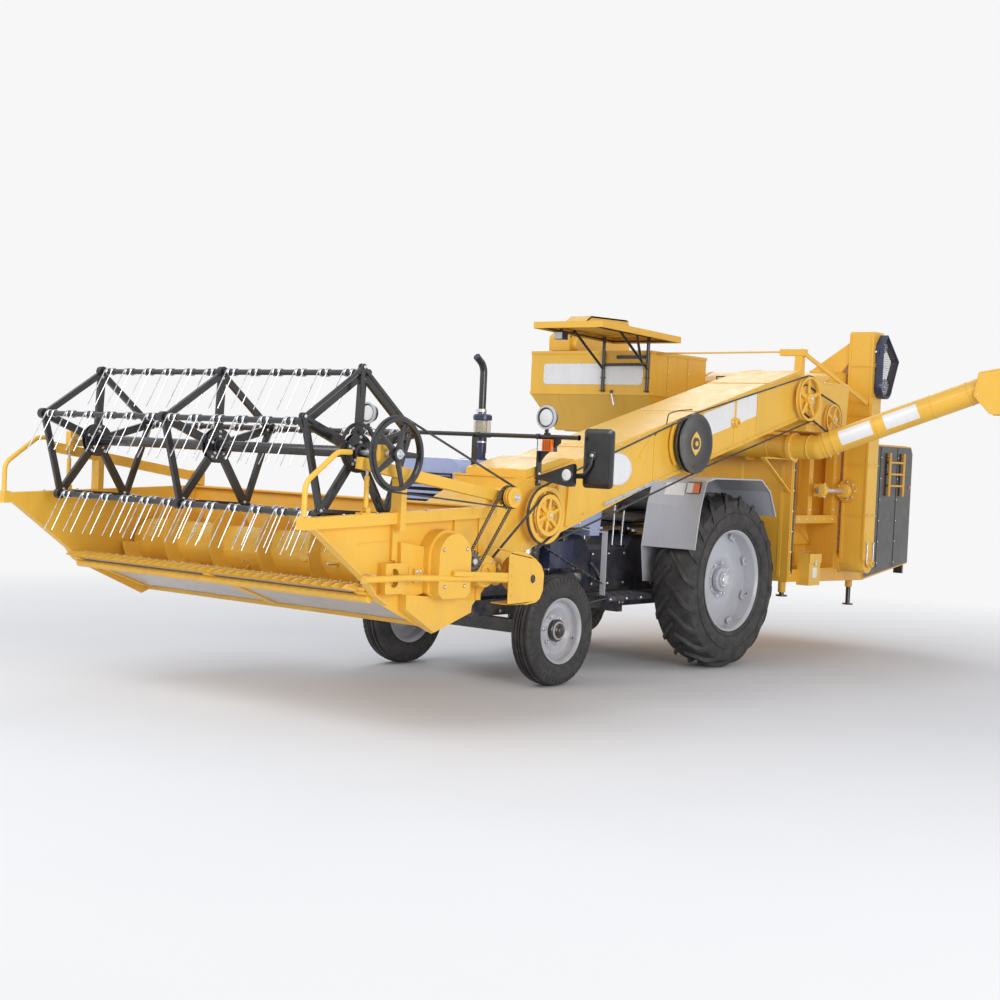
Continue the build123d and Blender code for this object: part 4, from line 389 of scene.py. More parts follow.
def bare_metal(name, colour, rough=0.32, rust=0.25):
    "worn bright steel with fine scratches and specks of rust"
    f = Finish(name, colour, rough, metal=0.92)
    f.tint(tuple(c * 0.6 for c in colour), f.remap(f.noise(18.0, 5), 0.4, 0.8, 0.0, 0.6))
    f.tint((0.22, 0.10, 0.04), f.times(f.remap(f.noise(40.0, 5, 0.7), 0.55, 0.75), rust))
    f.roughness(f.remap(f.noise(30.0, 4), 0.3, 0.7, rough - 0.08, rough + 0.2))
    f.bump(f.noise(300.0, 2, 0.5, (1, 0.1, 1)), 0.08, 0.0005)
    return f.done()


def rubber(name, colour, dust=0.3, rough=0.72):
    "black rubber with a dusty bloom"
    f = Finish(name, colour, rough)
    f.tint((0.19, 0.17, 0.145), f.times(f.remap(f.noise(11.0, 6, 0.7), 0.35, 0.75), dust))
    f.tint(tuple(c * 0.5 for c in colour), f.remap(f.noise(3.0, 3), 0.5, 0.8, 0.0, 0.5))
    f.roughness(f.remap(f.noise(20.0, 4), 0.3, 0.7, rough - 0.14, rough + 0.12))
    f.bump(f.noise(160.0, 3), 0.18, 0.0012)
    return f.done()


def plastic(name, colour, rough=0.3, coat=0.2):
    "moulded plastic or vinyl with a fine grain"
    f = Finish(name, colour, rough, coat=coat)
    f.tint(tuple(c * 0.75 for c in colour), f.remap(f.noise(5.0, 3), 0.45, 0.8, 0.0, 0.4))
    f.roughness(f.remap(f.noise(24.0, 3), 0.3, 0.7, rough - 0.06, rough + 0.12))
    f.bump(f.noise(260.0, 2), 0.1, 0.0006)
    return f.done()


def clear(name, colour, alpha=0.35):
    "clear bowl or lens"
    f = Finish(name, colour, 0.06, coat=0.5)
    f.shader.inputs["Transmission Weight"].default_value = 0.0
    f.shader.inputs["Alpha"].default_value = alpha
    f.tint(tuple(min(1.0, c * 1.2) for c in colour), f.remap(f.noise(8.0, 2), 0.4, 0.7, 0.0, 0.5))
    return f.done()


def colour_property(name, note, default):
    "property that holds a paint colour"
    return FloatVectorProperty(name=name, description=note, subtype="COLOR", size=3, min=0, max=1,
                               default=default)


def length_property(name, note, default, low, high):
    "property that holds a length in millimetres"
    return FloatProperty(name=name, description=f"{note} in millimetres", default=default, min=low, max=high)


class HarvesterColours(bpy.types.PropertyGroup):
    "paint colours of the machine"
    yellow: colour_property("Yellow", "Paint of the harvesting unit", (0.87, 0.50, 0.055))
    # darker copy of the yellow: painted shade on the inner and rear sheets
    shaded_yellow_colour: colour_property("Shaded yellow", "Paint of inner and rear sheets", (0.80, 0.42, 0.04))
    black: colour_property("Black", "Paint of reel, frames and pulleys", (0.012, 0.012, 0.014))
    navy: colour_property("Navy", "Paint of the chain guards", (0.02, 0.03, 0.09))
    bonnet: colour_property("Bonnet", "Paint of the tractor's bonnet", (0.42, 0.50, 0.80))
    silver: colour_property("Silver", "Paint of rims and fenders", (0.50, 0.51, 0.55))
    casting: colour_property("Castings", "Paint of engine, gearbox and axles", (0.022, 0.030, 0.055))
    # darker copy of the yellow: painted shade under the header
    pan: colour_property("Pan", "Underside of the header", (0.80, 0.42, 0.035))


class HarvesterSizes(bpy.types.PropertyGroup):
    "sizes of the outer pieces"
    lug_height: length_property("Lug height", "Height of the rear tyres' lugs", 34.0, 10.0, 50.0)
    lug_pairs: IntProperty(name="Lug pairs", description="Lugs on each half of a rear tyre", default=19,
                           min=12, max=28)
    tine_wire: length_property("Tine wire", "Thickness of the spring tines", 6.0, 3.0, 12.0)
    tine_length: length_property("Tine length", "Length of a spring tine", 250.0, 150.0, 350.0)
    chain_pitch: length_property("Chain pitch", "Pitch of the drive chains", CHAIN_PITCH, 12.7, 50.8)
    edge: length_property("Edge rounding", "Rounding of sheet edges", 1.2, 0.2, 4.0)


FINISH = {}


def mix_finishes(colours):
    "makes every finish once"
    yellow, dark, black = tuple(colours.yellow), tuple(colours.shaded_yellow_colour), tuple(colours.black)
    FINISH.update({
        "yellow": paint("yellow_paint", yellow, 0.42, coat=0.12),
        # darker copy of the yellow for the inner and rear sheets: painted shade
        "yellow_rear": paint("yellow_paint_rear", dark, 0.42, coat=0.12),
        # pan: darker yellow copy, painted shade under the header, with heavy dust towards the bottom
        "pan": paint("pan_painted_shade_and_dust", tuple(colours.pan), 0.45, dust=0.8),
        "black": paint("black_paint", black, 0.3, dust=0.25, coat=0.5),
        "navy": paint("navy_paint", tuple(colours.navy), 0.32),
        "bonnet": paint("bonnet_paint", tuple(colours.bonnet), 0.22, dust=0.2, coat=0.7),
        "silver": paint("silver_paint", tuple(colours.silver), 0.36, dust=0.5, waves=0.2),
        "casting": paint("casting_paint", tuple(colours.casting), 0.5, dust=0.6, coat=0.1),
        "pan_grey": paint("pan_grey_sheet", (0.52, 0.48, 0.46), 0.42, dust=0.5, waves=0.8),
        "white": paint("white_paint", (0.82, 0.82, 0.82), 0.3, dust=0.3, waves=0.1),
        "red": plastic("red_lens", (0.55, 0.012, 0.008), 0.16, 0.8),
        "orange": plastic("orange_lens", (0.85, 0.17, 0.01), 0.16, 0.8),
        "steel": bare_metal("bright_steel", (0.62, 0.63, 0.65)),
        "zinc": bare_metal("zinc_plate", (0.72, 0.74, 0.78), 0.26, 0.08),
        "chain": bare_metal("oiled_chain", (0.20, 0.17, 0.14), 0.38, 0.5),
        "wire": bare_metal("tine_wire", (0.70, 0.72, 0.76), 0.24, 0.05),
        "tyre": rubber("tyre_rubber", (0.022, 0.022, 0.024), 0.28, 0.62),
        "belt": rubber("belt_rubber", (0.03, 0.03, 0.03), 0.5, 0.8),
        "hose": rubber("hose_rubber", (0.015, 0.015, 0.016), 0.2, 0.55),
        "vinyl": plastic("seat_vinyl", (0.02, 0.02, 0.022), 0.42, 0.15),
        "plastic": plastic("black_plastic", (0.016, 0.016, 0.018), 0.35),
        "mirror": bare_metal("mirror_glass", (0.86, 0.87, 0.88), 0.05, 0.0),
        "lens": plastic("lamp_lens", (0.72, 0.74, 0.76), 0.08, 1.0),
        "bowl": clear("clear_bowl", (0.62, 0.56, 0.42), 0.45),
    })


# Finish: the nodes of the frame that wear it
NODES = {
    "casting": "transaxle engine main_frame",
    "black": "front_axle stacks canopy_frame knuckle_left knuckle_right lamp_bar jackshaft guide_pulley "
             "reel reel_drive reel_cage stand_front stand_rear tine_bar_1 tine_bar_2 tine_bar_3 tine_bar_4 "
             "tine_bar_5",
    "bonnet": "bonnet",
    "plastic": "operator_station",
    "silver": "fenders rim_front_left rim_front_right rim_rear_left rim_rear_right",
    "yellow": "grain_tank canopy drum_housing drum_lid elevators unloading_tube unloading_boom toolbox "
              "feeder_house header_sides cutter_bar side_drives auger drive_pulley top_pulley second_pulley "
              "reel_arm_left reel_arm_right adjuster_barrels lift_barrels",
    # the threshing body's shell wears the darker yellow copy: painted shade
    "yellow_rear": "body_shell",
    "navy": "guards",
    "belt": "rear_belt feeder_belts reel_belt",
    "pan": "header_trough",
    "steel": "adjuster_screws lift_rods",
    "tyre": "tyre_front_left tyre_front_right tyre_rear_left tyre_rear_right",
}
NODE_FINISH = {node: word for word, nodes in NODES.items() for node in nodes.split()}


class HARVESTER_OT_finishes(bpy.types.Operator):
    "Mixes the finishes and paints the frame's own nodes"
    bl_idname = "harvester.finishes"
    bl_label = "Finishes"

    def execute(self, context):
        mix_finishes(context.scene.harvester_colours)
        edge = context.scene.harvester_sizes.edge
        for name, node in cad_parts.items():
            node.data.materials.clear()
            node.data.materials.append(FINISH[NODE_FINISH[name]])
            weld = node.modifiers.new("weld", "WELD")
            weld.merge_threshold = 0.00002
            round_edges(node, edge)
        return {"FINISHED"}


# Wheels: tyres and the fittings of their rims


def wheel_sizes(name):
    "centre, tyre radius, half width, rim radius and outward side of a wheel, from its nodes"
    low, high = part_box(f"tyre_{name}")
    rim_low, rim_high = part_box(f"rim_{name}")
    radius = (high.z - low.z) * 500
    centre = (((low.x + high.x) / 2 - AXLE_X) * 1000, ((low.y + high.y) / 2 - CENTRE_Y) * 1000, radius)
    side = 1 if name.endswith("left") else -1
    return centre, radius, (high.y - low.y) * 500, (rim_high.z - rim_low.z) * 500, side


def profile_of(half, flank, crown, inside):
    "closed (radius, along) profile of a tyre: a flank on both sides of the crown, and the inside"
    left = [(r, -half * share) for r, share in flank]
    right = [(r, half * share) for r, share in flank[::-1] + inside]
    return left + crown + right + [(r, -half * share) for r, share in inside[::-1]]


def rear_tyre(form, centre, radius, half, rim, sizes):
    "carcass with chevron lugs"
    lug = sizes.lug_height
    tread = radius - lug
    flank = [(rim - 15, 0.79), (rim - 2, 0.82), (rim + 12, 0.90), (rim + 60, 0.985), (rim + 110, 1),
             (tread - 70, 0.965), (tread - 25, 0.89), (tread, 0.62)]
    outline = profile_of(half, flank, [(tread + 6, 0)], [(rim - 15, 0.74), (tread - 40, 0.7)])
    form.lathe(outline, centre, ACROSS, 96)
    for side in (1, -1):
        for r, w, h in ((rim + 34, half * 0.945, 5), (rim + 128, half, 4)):
            ring = [(r - 5, side * (w - 3)), (r - 2, side * (w + h)), (r + 3, side * (w + h)),
                    (r + 6, side * (w - 3))]
            form.lathe(ring if side > 0 else ring[::-1], centre, ACROSS, 96)
    count = sizes.lug_pairs
    c = Vector(centre)
    for side in (1, -1):
        for k in range(count):
            start = 2 * pi * (k + (0.5 if side < 0 else 0.0)) / count
            sections = []
            for i in range(9):
                t = i / 8
                along = side * (-0.05 * half + t * 1.045 * half)
                turn = start - 0.36 * t ** 1.25
                drop = 0.0 if t < 0.62 else (t - 0.62) ** 2 * 300
                base = tread - 6 - drop * 1.6 - 12 * t
                top = min(radius, base + lug + 6 + 4 * t) - (30 * max(0, t - 0.8))
                half_wide = (19 + 9 * t) / radius
                pair = []
                for edge, r in ((-1.35, base - 6), (-0.78, top), (0.78, top), (1.35, base - 6)):
                    a = turn + edge * half_wide + 0.06 * (r - base) / radius
                    pair.append(c + Vector((r * cos(a), along, r * sin(a))))
                sections.append(pair if side > 0 else pair[::-1])
            form.loop(sections)


def front_tyre(form, centre, radius, half, rim):
    "carcass with circumferential ribs and notched shoulders"
    flank = [(rim - 15, 0.78), (rim - 2, 0.80), (rim + 10, 0.90), (rim + 45, 1), (radius - 66, 1),
             (radius - 42, 0.96), (radius - 20, 0.88)]
    ribs = []
    for low, high in ((-0.84, -0.55), (-0.44, -0.16), (-0.07, 0.07), (0.16, 0.44), (0.55, 0.84)):
        crown = radius - 16 * max(abs(low), abs(high)) ** 2
        ribs += [(radius - 19, low * half - 1), (crown, low * half + 2), (crown, high * half - 2),
                 (radius - 19, high * half + 1)]
    outline = profile_of(half, flank, ribs, [(rim - 15, 0.73), (radius - 40, 0.6)])
    form.lathe(outline, centre, ACROSS, 96)
    c = Vector(centre)
    count = 54
    for side in (1, -1):
        for k in range(count):
            turn = 2 * pi * (k + (0.5 if side < 0 else 0)) / count
            sections = []
            for along, top, low in ((0.83, radius - 11, radius - 30), (0.97, radius - 30, radius - 50),
                                    (1.005, radius - 50, radius - 66)):
                pair = []
                for edge in (-0.34, 0.34):
                    a = turn + edge * 2 * pi / count
                    pair += [(a, top), (a, low)] if edge < 0 else [(a, low), (a, top)]
                pts = [c + Vector((r * cos(a), side * along * half, r * sin(a))) for a, r in pair]
                sections.append(pts if side < 0 else pts[::-1])
            form.loop(sections)


def rim_details(form, centre, rim, half, side, rear):
    "hub, bolts, rim clamps and valve on a rim's outer face"
    x, y, z = centre
    disc = y + side * half * 0.20
    out = (0, side, 0)
    if rear:
        form.disc((x, disc + side * 20, z), out, 92, 36, 0, 4, 40, 1)
        form.disc((x, disc + side * 44, z), out, 62, 24, 0, 5, 32, 1)
        form.disc((x, disc + side * 60, z), out, 40, 12, 0, 4, 24, 2)
        for k in range(8):
            px, pz = on_circle((x, z), 128, 45 * k + 12)
            form.disc((px, disc - side * 8, pz), out, 21, 10, 0, 2, 16, 2)
            form.bolt((px, disc - side * 4, pz), out, 15, 16, 2)
        for k in range(8):
            a = 45 * k + 22
            px, pz = on_circle((x, z), rim - 60, a)
            qx, qz = on_circle((x, z), rim - 16, a)
            form.beam((px, disc + side * 22, pz), (qx, disc + side * 30, qz), 62, 12, ACROSS, 0)
            form.bolt(((px + qx) / 2, disc + side * 27, (pz + qz) / 2), out, 12, 12, 2)
        for k in range(5):
            px, pz = on_circle((x, z), 44, 72 * k)
            form.bolt((px, disc + side * 56, pz), out, 8, 7, 2)
    else:
        form.disc((x, disc + side * 14, z), out, 74, 40, 0, 6, 36, 1)
        form.disc((x, disc + side * 40, z), out, 50, 26, 0, 10, 32, 1)
        form.ball((x, disc + side * 54, z), (36, 16, 36), mark=1)
        for k in range(6):
            px, pz = on_circle((x, z), 96, 60 * k + 8)
            form.bolt((px, disc - side * 12, pz), out, 11, 14, 2)
        for k in range(4):
            px, pz = on_circle((x, z), 30, 90 * k + 30)
            form.bolt((px, disc + side * 50, pz), out, 5, 6, 2)
    a = radians(200)
    valve = rim - 34
    form.rod((x + valve * cos(a), disc + side * half * 0.3, z + valve * sin(a)),
             (x + (valve - 34) * cos(a), disc + side * (half * 0.3 + 22), z + (valve - 34) * sin(a)), 4.5, 8,
             3)


class HARVESTER_OT_wheels(bpy.types.Operator):
    "Builds the four tyres with their tread, and the hubs, bolts and valves of the rims"
    bl_idname = "harvester.wheels"
    bl_label = "Wheels"

    def execute(self, context):
        sizes = context.scene.harvester_sizes
        for name in ("front_left", "front_right", "rear_left", "rear_right"):
            centre, radius, half, rim, side = wheel_sizes(name)
            rear = name.startswith("rear")
            tyre = Form()
            if rear:
                rear_tyre(tyre, centre, radius, half, rim, sizes)
            else:
                front_tyre(tyre, centre, radius, half, rim)
            place_form(f"tread_{name}", tyre, "tyre", f"wheel_{name}", 2.0 if rear else 0.8,
                       38, [f"tyre_{name}"])
            hub = Form()
            rim_details(hub, centre, rim, half, side, rear)
            place_form(f"hub_{name}", hub, f"silver {'silver' if rear else 'black'} zinc hose",
                       f"wheel_{name}", 0.8)
        return {"FINISHED"}


# Reel: five tine bars on three spiders, hung between two arms
REEL_X, REEL_Z, REEL_R = 4390.0, 1500.0, 418.0
REEL_LEFT, REEL_RIGHT = 1236.0, -1014.0
REEL_PHASE = -2.3
REEL_BARS = 5
SPIDER_Y = (1216.0, 111.0, -994.0)
BAR_R = 16.0
CAGE_SHIFT = (55.0, 25.0)
CRANK_Y = 1260.0
TINE_LEAN = 28.0
TINE_PAIRS = 6


def bar_place(k, radius=REEL_R):
    "(x, z) of a tine bar"
    a = radians(REEL_PHASE + 72 * k)
    return (REEL_X + radius * sin(a), REEL_Z + radius * cos(a))


def tine_pair(form, x, y, z, length, wire):
    "two spring tines with their coils round the bar, from one wire"
    down = Vector((sin(radians(TINE_LEAN)), 0, -cos(radians(TINE_LEAN))))
    out = Vector((cos(radians(TINE_LEAN)), 0, sin(radians(TINE_LEAN))))
    middle = Vector((x, y, z))
    coil = BAR_R + wire / 2 + 1.5
    path = []
    for side in (-1, 1):
        half = [middle + out * coil + down * length + Vector((0, side * 37, 0)),
                middle + out * coil + down * (length * 0.5) + Vector((0, side * 35, 0))]
        turns, steps = 2.5, 26
        for i in range(steps + 1):
            a = 2 * pi * turns * i / steps
            half.append(middle + out * (coil * cos(a)) - down * (coil * sin(a))
                        + Vector((0, side * (34 - (wire + 1.2) * turns * i / steps), 0)))
        half.append(half[-1] + down * 10 - out * 3 + Vector((0, -side * 6, 0)))
        path.append(half)
    form.tube(path[0] + path[1][::-1], wire / 2, 5, 1)
    form.bolt(middle - out * (coil - 2), -out, 6, 5, 2)


def pulley(form, centre, y, width, radius, hub, spokes, spoke_w, grooves=1, phase=20.0, rim=22.0):
    "cast belt pulley with tapered spokes, its middle plane at y"
    x, z = centre
    pitch = width / grooves
    profile = [(radius - rim, -width / 2), (radius - 2, -width / 2)]
    for g in range(grooves):
        start = -width / 2 + g * pitch
        profile += [(radius, start + 2), (radius, start + 4), (radius - 12, start + pitch * 0.36),
                    (radius - 12, start + pitch * 0.64), (radius, start + pitch - 4),
                    (radius, start + pitch - 2)]
    profile += [(radius - 2, width / 2), (radius - rim, width / 2), (radius - rim - 3, width * 0.2),
                (radius - rim - 3, -width * 0.2)]
    form.lathe(profile, (x, y, z), ACROSS, 56)
    form.disc((x, y, z), ACROSS, hub, width + 14, SHAFT_HOLE, 3, 32)
    for k in range(spokes):
        a = radians(phase + 360 * k / spokes)
        u, v = Vector((cos(a), 0, sin(a))), Vector((-sin(a), 0, cos(a)))
        c = Vector((x, y, z))
        sections = []
        for r, w, t in ((hub - 6, spoke_w * 0.62, 9), (radius - rim + 2, spoke_w * 0.42, 7)):
            p = c + u * r
            sections.append([p - v * w - Vector((0, t * 0.4, 0)), p - Vector((0, t, 0)),
                             p + v * w - Vector((0, t * 0.4, 0)), p + v * w + Vector((0, t * 0.4, 0)),
                             p + Vector((0, t, 0)), p - v * w + Vector((0, t * 0.4, 0))])
        form.loop(sections)


def key_hub(form, centre, y, out, radius=30, mark=0):
    "shaft end with its nut and washer in front of a pulley"
    x, z = centre
    form.disc((x, y + out * 4, z), ACROSS, radius, 8, steps=24, mark=mark)
    form.bolt((x, y + out * 8, z), (0, out, 0), 15, 14, mark)
    form.rod((x, y + out * 8, z), (x, y + out * 30, z), 9, 12, mark)


def roller_chain(form, path, pitch, y, mark=0):
    "roller chain along a closed (x, z) path"
    pts = [Vector((x, 0, z)) for x, z in path]
    lengths = [(b - a).length for a, b in zip(pts, pts[1:] + pts[:1])]
    total = sum(lengths)
    count = max(4, 2 * round(total / pitch / 2))
    step = total / count
    pins = []
    i, walked = 0, 0.0
    for k in range(count):
        want = k * step
        while want > walked + lengths[i]:
            walked += lengths[i]
            i += 1
        a, b = pts[i], pts[(i + 1) % len(pts)]
        pins.append(a + (b - a) * ((want - walked) / lengths[i]))
    for k, a in enumerate(pins):
        b = pins[(k + 1) % count]
        u = (b - a).normalized()
        v = Vector((-u.z, 0, u.x))
        gap = 6.0 if k % 2 else 8.6
        for side in (-1, 1):
            outline = []
            for end, turn in ((a, 180), (b, 0)):
                for angle in (-60, 0, 60):
                    w = radians(turn + angle)
                    outline.append(end + u * (pitch * 0.42 * cos(w)) + v * (pitch * 0.36 * sin(w)))
            outline = [p + Vector((0, y + side * gap - 1, 0)) for p in outline]
            form.prism(outline, (0, 2, 0), mark)
        form.rod(a + Vector((0, y - 10.5, 0)), a + Vector((0, y + 10.5, 0)), pitch * 0.22, 8, mark)


def sprocket(form, centre, y, teeth, thick=8, hub=26, mark=0):
    "toothed chain wheel"
    x, z = centre
    radius = CHAIN_PITCH / (2 * sin(pi / teeth))
    outline = []
    for k in range(teeth):
        for share, r in ((-0.30, radius - CHAIN_PITCH * 0.30), (-0.12, radius + CHAIN_PITCH * 0.32),
                         (0.12, radius + CHAIN_PITCH * 0.32), (0.30, radius - CHAIN_PITCH * 0.30)):
            a = 2 * pi * (k + 0.5 + share) / teeth
            outline.append((x + r * cos(a), z + r * sin(a)))
    form.side_plate(outline, y + thick / 2, thick, mark)
    form.disc((x, y, z), ACROSS, hub, thick + 22, SHAFT_HOLE, 2, 24, mark)
    return radius


def round_path(circles, steps=10):
    "closed (x, z) path that wraps circles (x, z, radius), its outer side to the left"
    out = []
    tangents = []
    for (xa, za, ra), (xb, zb, rb) in zip(circles, circles[1:] + circles[:1]):
        run = atan2(zb - za, xb - xa)
        tangents.append(run - acos((ra - rb) / hypot(xb - xa, zb - za)))
    for i, (x, z, r) in enumerate(circles):
        start, end = tangents[i - 1], tangents[i]
        turn = (end - start) % (2 * pi)
        for k in range(steps + 1):
            a = start + turn * k / steps
            out.append((x + r * cos(a), z + r * sin(a)))
    return out


def ring_plate(form, outer, inner, y, thick, mark=0):
    "plate between two (x, z) outlines of equally many corners, its left face at y"
    sections = [[(a[0], y - thick, a[1]), (a[0], y, a[1]), (b[0], y, b[1]), (b[0], y - thick, b[1])]
                for a, b in zip(outer, inner)]
    form.loop(sections, closed=True, mark=mark)


def belt_run(form, path, y, width, thick, mark=0):
    "belt along a closed (x, z) path, its middle at y"
    outer = []
    for i, (x, z) in enumerate(path):
        (xa, za), (xb, zb) = path[i - 1], path[(i + 1) % len(path)]
        run = hypot(xb - xa, zb - za)
        outer.append((x + (zb - za) / run * thick, z - (xb - xa) / run * thick))
    ring_plate(form, outer, path, y + width / 2, width, mark)


class HARVESTER_OT_reel(bpy.types.Operator):
    "Builds the tine bars with their spring tines, and the hubs, bearings and pulley of the reel"
    bl_idname = "harvester.reel"
    bl_label = "Reel"

    def execute(self, context):
        sizes = context.scene.harvester_sizes
        for k in range(REEL_BARS):
            x, z = bar_place(k)
            bar = Form()
            bar.rod((x, REEL_RIGHT - 5, z), (x, CRANK_Y + 5, z), BAR_R, 20)
            for bay in range(2):
                step = (SPIDER_Y[0] - SPIDER_Y[1]) / TINE_PAIRS
                for i in range(TINE_PAIRS):
                    tine_pair(bar, x, SPIDER_Y[bay] - (i + 0.5) * step, z, sizes.tine_length, sizes.tine_wire)
            cx, cz = x + CAGE_SHIFT[0], z + CAGE_SHIFT[1]
            bar.beam((x, CRANK_Y, z), (cx, CRANK_Y, cz), 10, 30, ACROSS)
            for px, pz in ((x, z), (cx, cz)):
                bar.disc((px, CRANK_Y, pz), ACROSS, 19, 14, steps=20)
            bar.rod((cx, CRANK_Y, cz), (cx, CRANK_Y + 28, cz), 8, 12, 2)
            bar.bolt((cx, CRANK_Y + 26, cz), ACROSS, 7, 6, 2)
            place_form(f"tines_{k + 1}", bar, "black wire zinc", f"tine_bar_{k + 1}",
                       0, 40, [f"tine_bar_{k + 1}"])
        hubs = Form()
        for y in SPIDER_Y:
            for side in (-1, 1):
                hubs.disc((REEL_X, y + side * 16, REEL_Z), ACROSS, 98, 8, 31, 2, 40)
                for i in range(5):
                    for r in (52, 80):
                        px, pz = on_circle((REEL_X, REEL_Z), r, 90 - REEL_PHASE - 72 * i)
                        hubs.bolt((px, y + side * 20, pz), (0, side, 0), 7, 6, 1)
            hubs.disc((REEL_X, y, REEL_Z), ACROSS, 46, 70, 31, 3, 32)
            for i in range(REEL_BARS):
                x, z = bar_place(i)
                hubs.disc((x, y, z), ACROSS, 31, 38, BAR_R + 0.8, 3, 24, 2)
                ix, iz = bar_place(i, REEL_R - 34)
                for side in (-1, 1):
                    hubs.bolt((ix, y + side * 12, iz), (0, side, 0), 7, 6, 1)
        place_form("reel_hubs", hubs, "black zinc plastic", "reel", 0.8)
        drive = Form()
        drive.rod((REEL_X, REEL_LEFT + 1, REEL_Z), (REEL_X, 1530, REEL_Z), 17, 24, 1)
        drive.rod((REEL_X, REEL_RIGHT - 1, REEL_Z), (REEL_X, -1270, REEL_Z), 17, 24, 1)
        pulley(drive, (REEL_X, REEL_Z), 1500, 34, 190, 38, 5, 30, phase=38)
        key_hub(drive, (REEL_X, REEL_Z), 1517, 1, 26, 1)
        place_form("reel_pulley", drive, "black zinc", "reel", 1.0, 32,
                   ["reel_drive"])
        return {"FINISHED"}


# Header: side sheets at these left faces, with the drives outside the left one
HEADER_LEFT, HEADER_RIGHT = 1340.0, -1160.0
AUGER = (3830.0, 865.0)
TROUGH_OUT = 280.0
JACK = (3430.0, 1285.0)
LOWER_SPROCKET = (3700.0, 930.0)
SHIELD_PULLEY = (3280.0, 850.0)
DRIVE = (2800.0, 1171.0)
COVER_X, COVER_Z = 3870, 955
WINDOW_X, WINDOW_Z = 4262, 850
DRUM_X, DRUM_Z = 3560, 872
RING_X, RING_Z = 3600, 905
BELT_Y, FIRST_BELT_Y = 1277, 1251
PAN_FRONT = (4420.0, 779.0)
PULLEY_Y = 1500.0
RAIL_FRONT, RAIL_BACK, RAIL_LOW, RAIL_HIGH = 4920, 3450, 1165, 1228


def pan_line(drop):
    "(x, z) places under the pan, a distance below its sheet"
    front = (PAN_FRONT[0] - 6, PAN_FRONT[1] - drop)
    arc = [on_circle(AUGER, TROUGH_OUT + drop, -62 - 6 * i) for i in range(8)]
    return [front, ((front[0] + arc[0][0]) / 2, (front[1] + arc[0][1]) / 2)] + arc


def strip_under(form, y, width, top, bottom, mark=0):
    "sheet or strap that follows the pan's underside"
    form.side_plate(pan_line(top) + pan_line(bottom)[::-1], y + width / 2, width, mark)


def rail_top(x):
    "height of the side sheets' top rail"
    return RAIL_LOW + (RAIL_HIGH - RAIL_LOW) * (RAIL_FRONT - x) / (RAIL_FRONT - RAIL_BACK)


